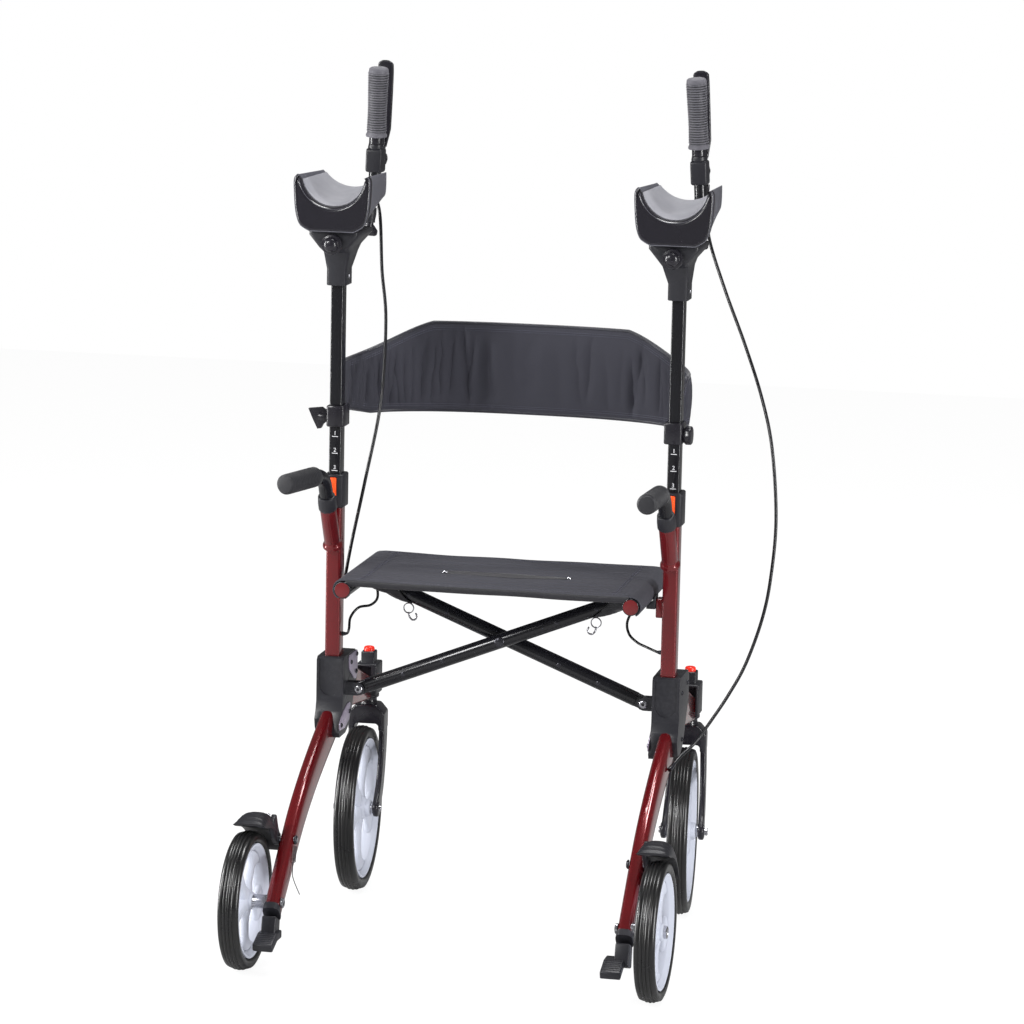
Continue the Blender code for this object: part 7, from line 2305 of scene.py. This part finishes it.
@dataclass(frozen=True)
class Studio:
    """The photograph's camera, the lamps and the pale floor."""

    place: Point = (1.13140, -5.60871, 1.63347)
    turn: float = math.radians(11.53820369)
    dip: float = math.radians(9.8324983)
    roll: float = math.radians(-1.2174091)
    lens: float = 140.56

    def build(self) -> None:
        """Set camera, world, lamps and floor."""
        self.camera()
        self.world()
        self.floor()
        for name, spot, aim, size, power in (
            ("key_lamp", (-2.6, -3.4, 3.0), (0, 0, 0.6), (0.9, 1.5), 110.0),
            ("right_strip", (3.2, -1.6, 1.3), (0, 0, 0.6), (0.35, 2.6), 95.0),
            ("left_strip", (-3.0, -0.6, 1.1), (0, 0, 0.6), (0.35, 2.6), 95.0),
            ("top_lamp", (0.3, 0.8, 4.0), (0, 0, 0.5), (2.0, 0.9), 85.0),
        ):
            self.lamp(name, spot, aim, size, power)

    def camera(self) -> None:
        """The camera at the photograph's place."""
        theta, phi, rho = self.turn, self.dip, self.roll
        forward = Vector((-math.sin(theta) * math.cos(phi), math.cos(theta) * math.cos(phi), -math.sin(phi)))
        right = Vector((math.cos(theta), math.sin(theta), 0.0))
        down = forward.cross(right)
        across = math.cos(rho) * right + math.sin(rho) * down
        below = -math.sin(rho) * right + math.cos(rho) * down
        view = Matrix((across, -below, -forward)).transposed().to_4x4()
        data = bpy.data.cameras.new("photo_camera")
        data.lens = self.lens
        data.sensor_width = 36.0
        data.clip_end = 60.0
        camera = bpy.data.objects.new("photo_camera", data)
        camera.matrix_world = Matrix.Translation(self.place) @ view
        bpy.context.scene.collection.objects.link(camera)
        bpy.context.scene.camera = camera

    def lamp(self, name: str, spot: Point, aim: Point, size: Flat, power: float) -> None:
        """A large soft lamp that looks at a point."""
        data = bpy.data.lights.new(name, "AREA")
        data.shape = "RECTANGLE"
        data.size, data.size_y = size
        data.energy = power
        lamp = bpy.data.objects.new(name, data)
        way = Vector(spot) - Vector(aim)
        lamp.matrix_world = Matrix.Translation(spot) @ way.to_track_quat("Z", "Y").to_matrix().to_4x4()
        bpy.context.scene.collection.objects.link(lamp)

    def world(self) -> None:
        """A white surround, plain for the camera and for reflections."""
        scene = bpy.context.scene
        scene.view_settings.view_transform = "Standard"
        world = bpy.data.worlds.new("white_room")
        world.use_nodes = True
        scene.world = world
        graph = Graph(world.node_tree)
        path = graph.node("ShaderNodeLightPath").outputs
        seen = graph.math("MAXIMUM", path["Is Camera Ray"], path["Is Transmission Ray"])
        plain = graph.node("ShaderNodeMapRange", Value=path["Is Glossy Ray"], To_Min=0.44, To_Max=0.12).outputs[0]
        strength = graph.node("ShaderNodeMapRange", Value=seen, To_Min=plain, To_Max=1.0).outputs[0]
        light = graph.node("ShaderNodeBackground", Strength=strength)
        light.inputs["Color"].default_value = (1, 1, 1, 1)
        graph.node("ShaderNodeOutputWorld", Surface=light.outputs[0])

    def floor(self) -> None:
        """A pale floor that keeps a soft shadow."""
        mesh = bpy.data.meshes.new("studio_floor")
        mesh.from_pydata([(-6, -6, 0), (6, -6, 0), (6, 6, 0), (-6, 6, 0)], [], [(0, 1, 2, 3)])
        floor = linked("studio_floor", mesh)
        material = bpy.data.materials.new("studio_floor")
        material.use_nodes = True
        graph = Graph(material.node_tree)
        path = graph.node("ShaderNodeLightPath").outputs
        pale = graph.node("ShaderNodeMapRange", Value=path["Is Glossy Ray"], To_Min=0.9, To_Max=0.32).outputs[0]
        lit = graph.node("ShaderNodeBsdfDiffuse", Color=pale)
        white = graph.node("ShaderNodeEmission")
        white.inputs["Color"].default_value = (1, 1, 1, 1)
        white.inputs["Strength"].default_value = 1.06
        share = graph.math("MULTIPLY", path["Is Camera Ray"], 0.86)
        mixed = graph.node("ShaderNodeMixShader", i0=share, i1=lit.outputs[0], i2=white.outputs[0])
        graph.node("ShaderNodeOutputMaterial", Surface=mixed.outputs[0])
        mesh.materials.append(material)


def main() -> None:
    """Build the studio and every sub-assembly."""
    logging.basicConfig(level=logging.INFO, format="%(name)s: %(message)s")
    Studio().build()
    Cables().build()
    for side in SIDES:
        LOG.info("side: %s", side.name)
        SideFrame(side).build()
        Caster(side).build()
        RearRun(side).build()
        UpperColumn(side).build()
        Handle(side).build()
    Scissor().build()
    SeatSling().build()
    BackrestBand().build()


if __name__ == "__main__":
    main()
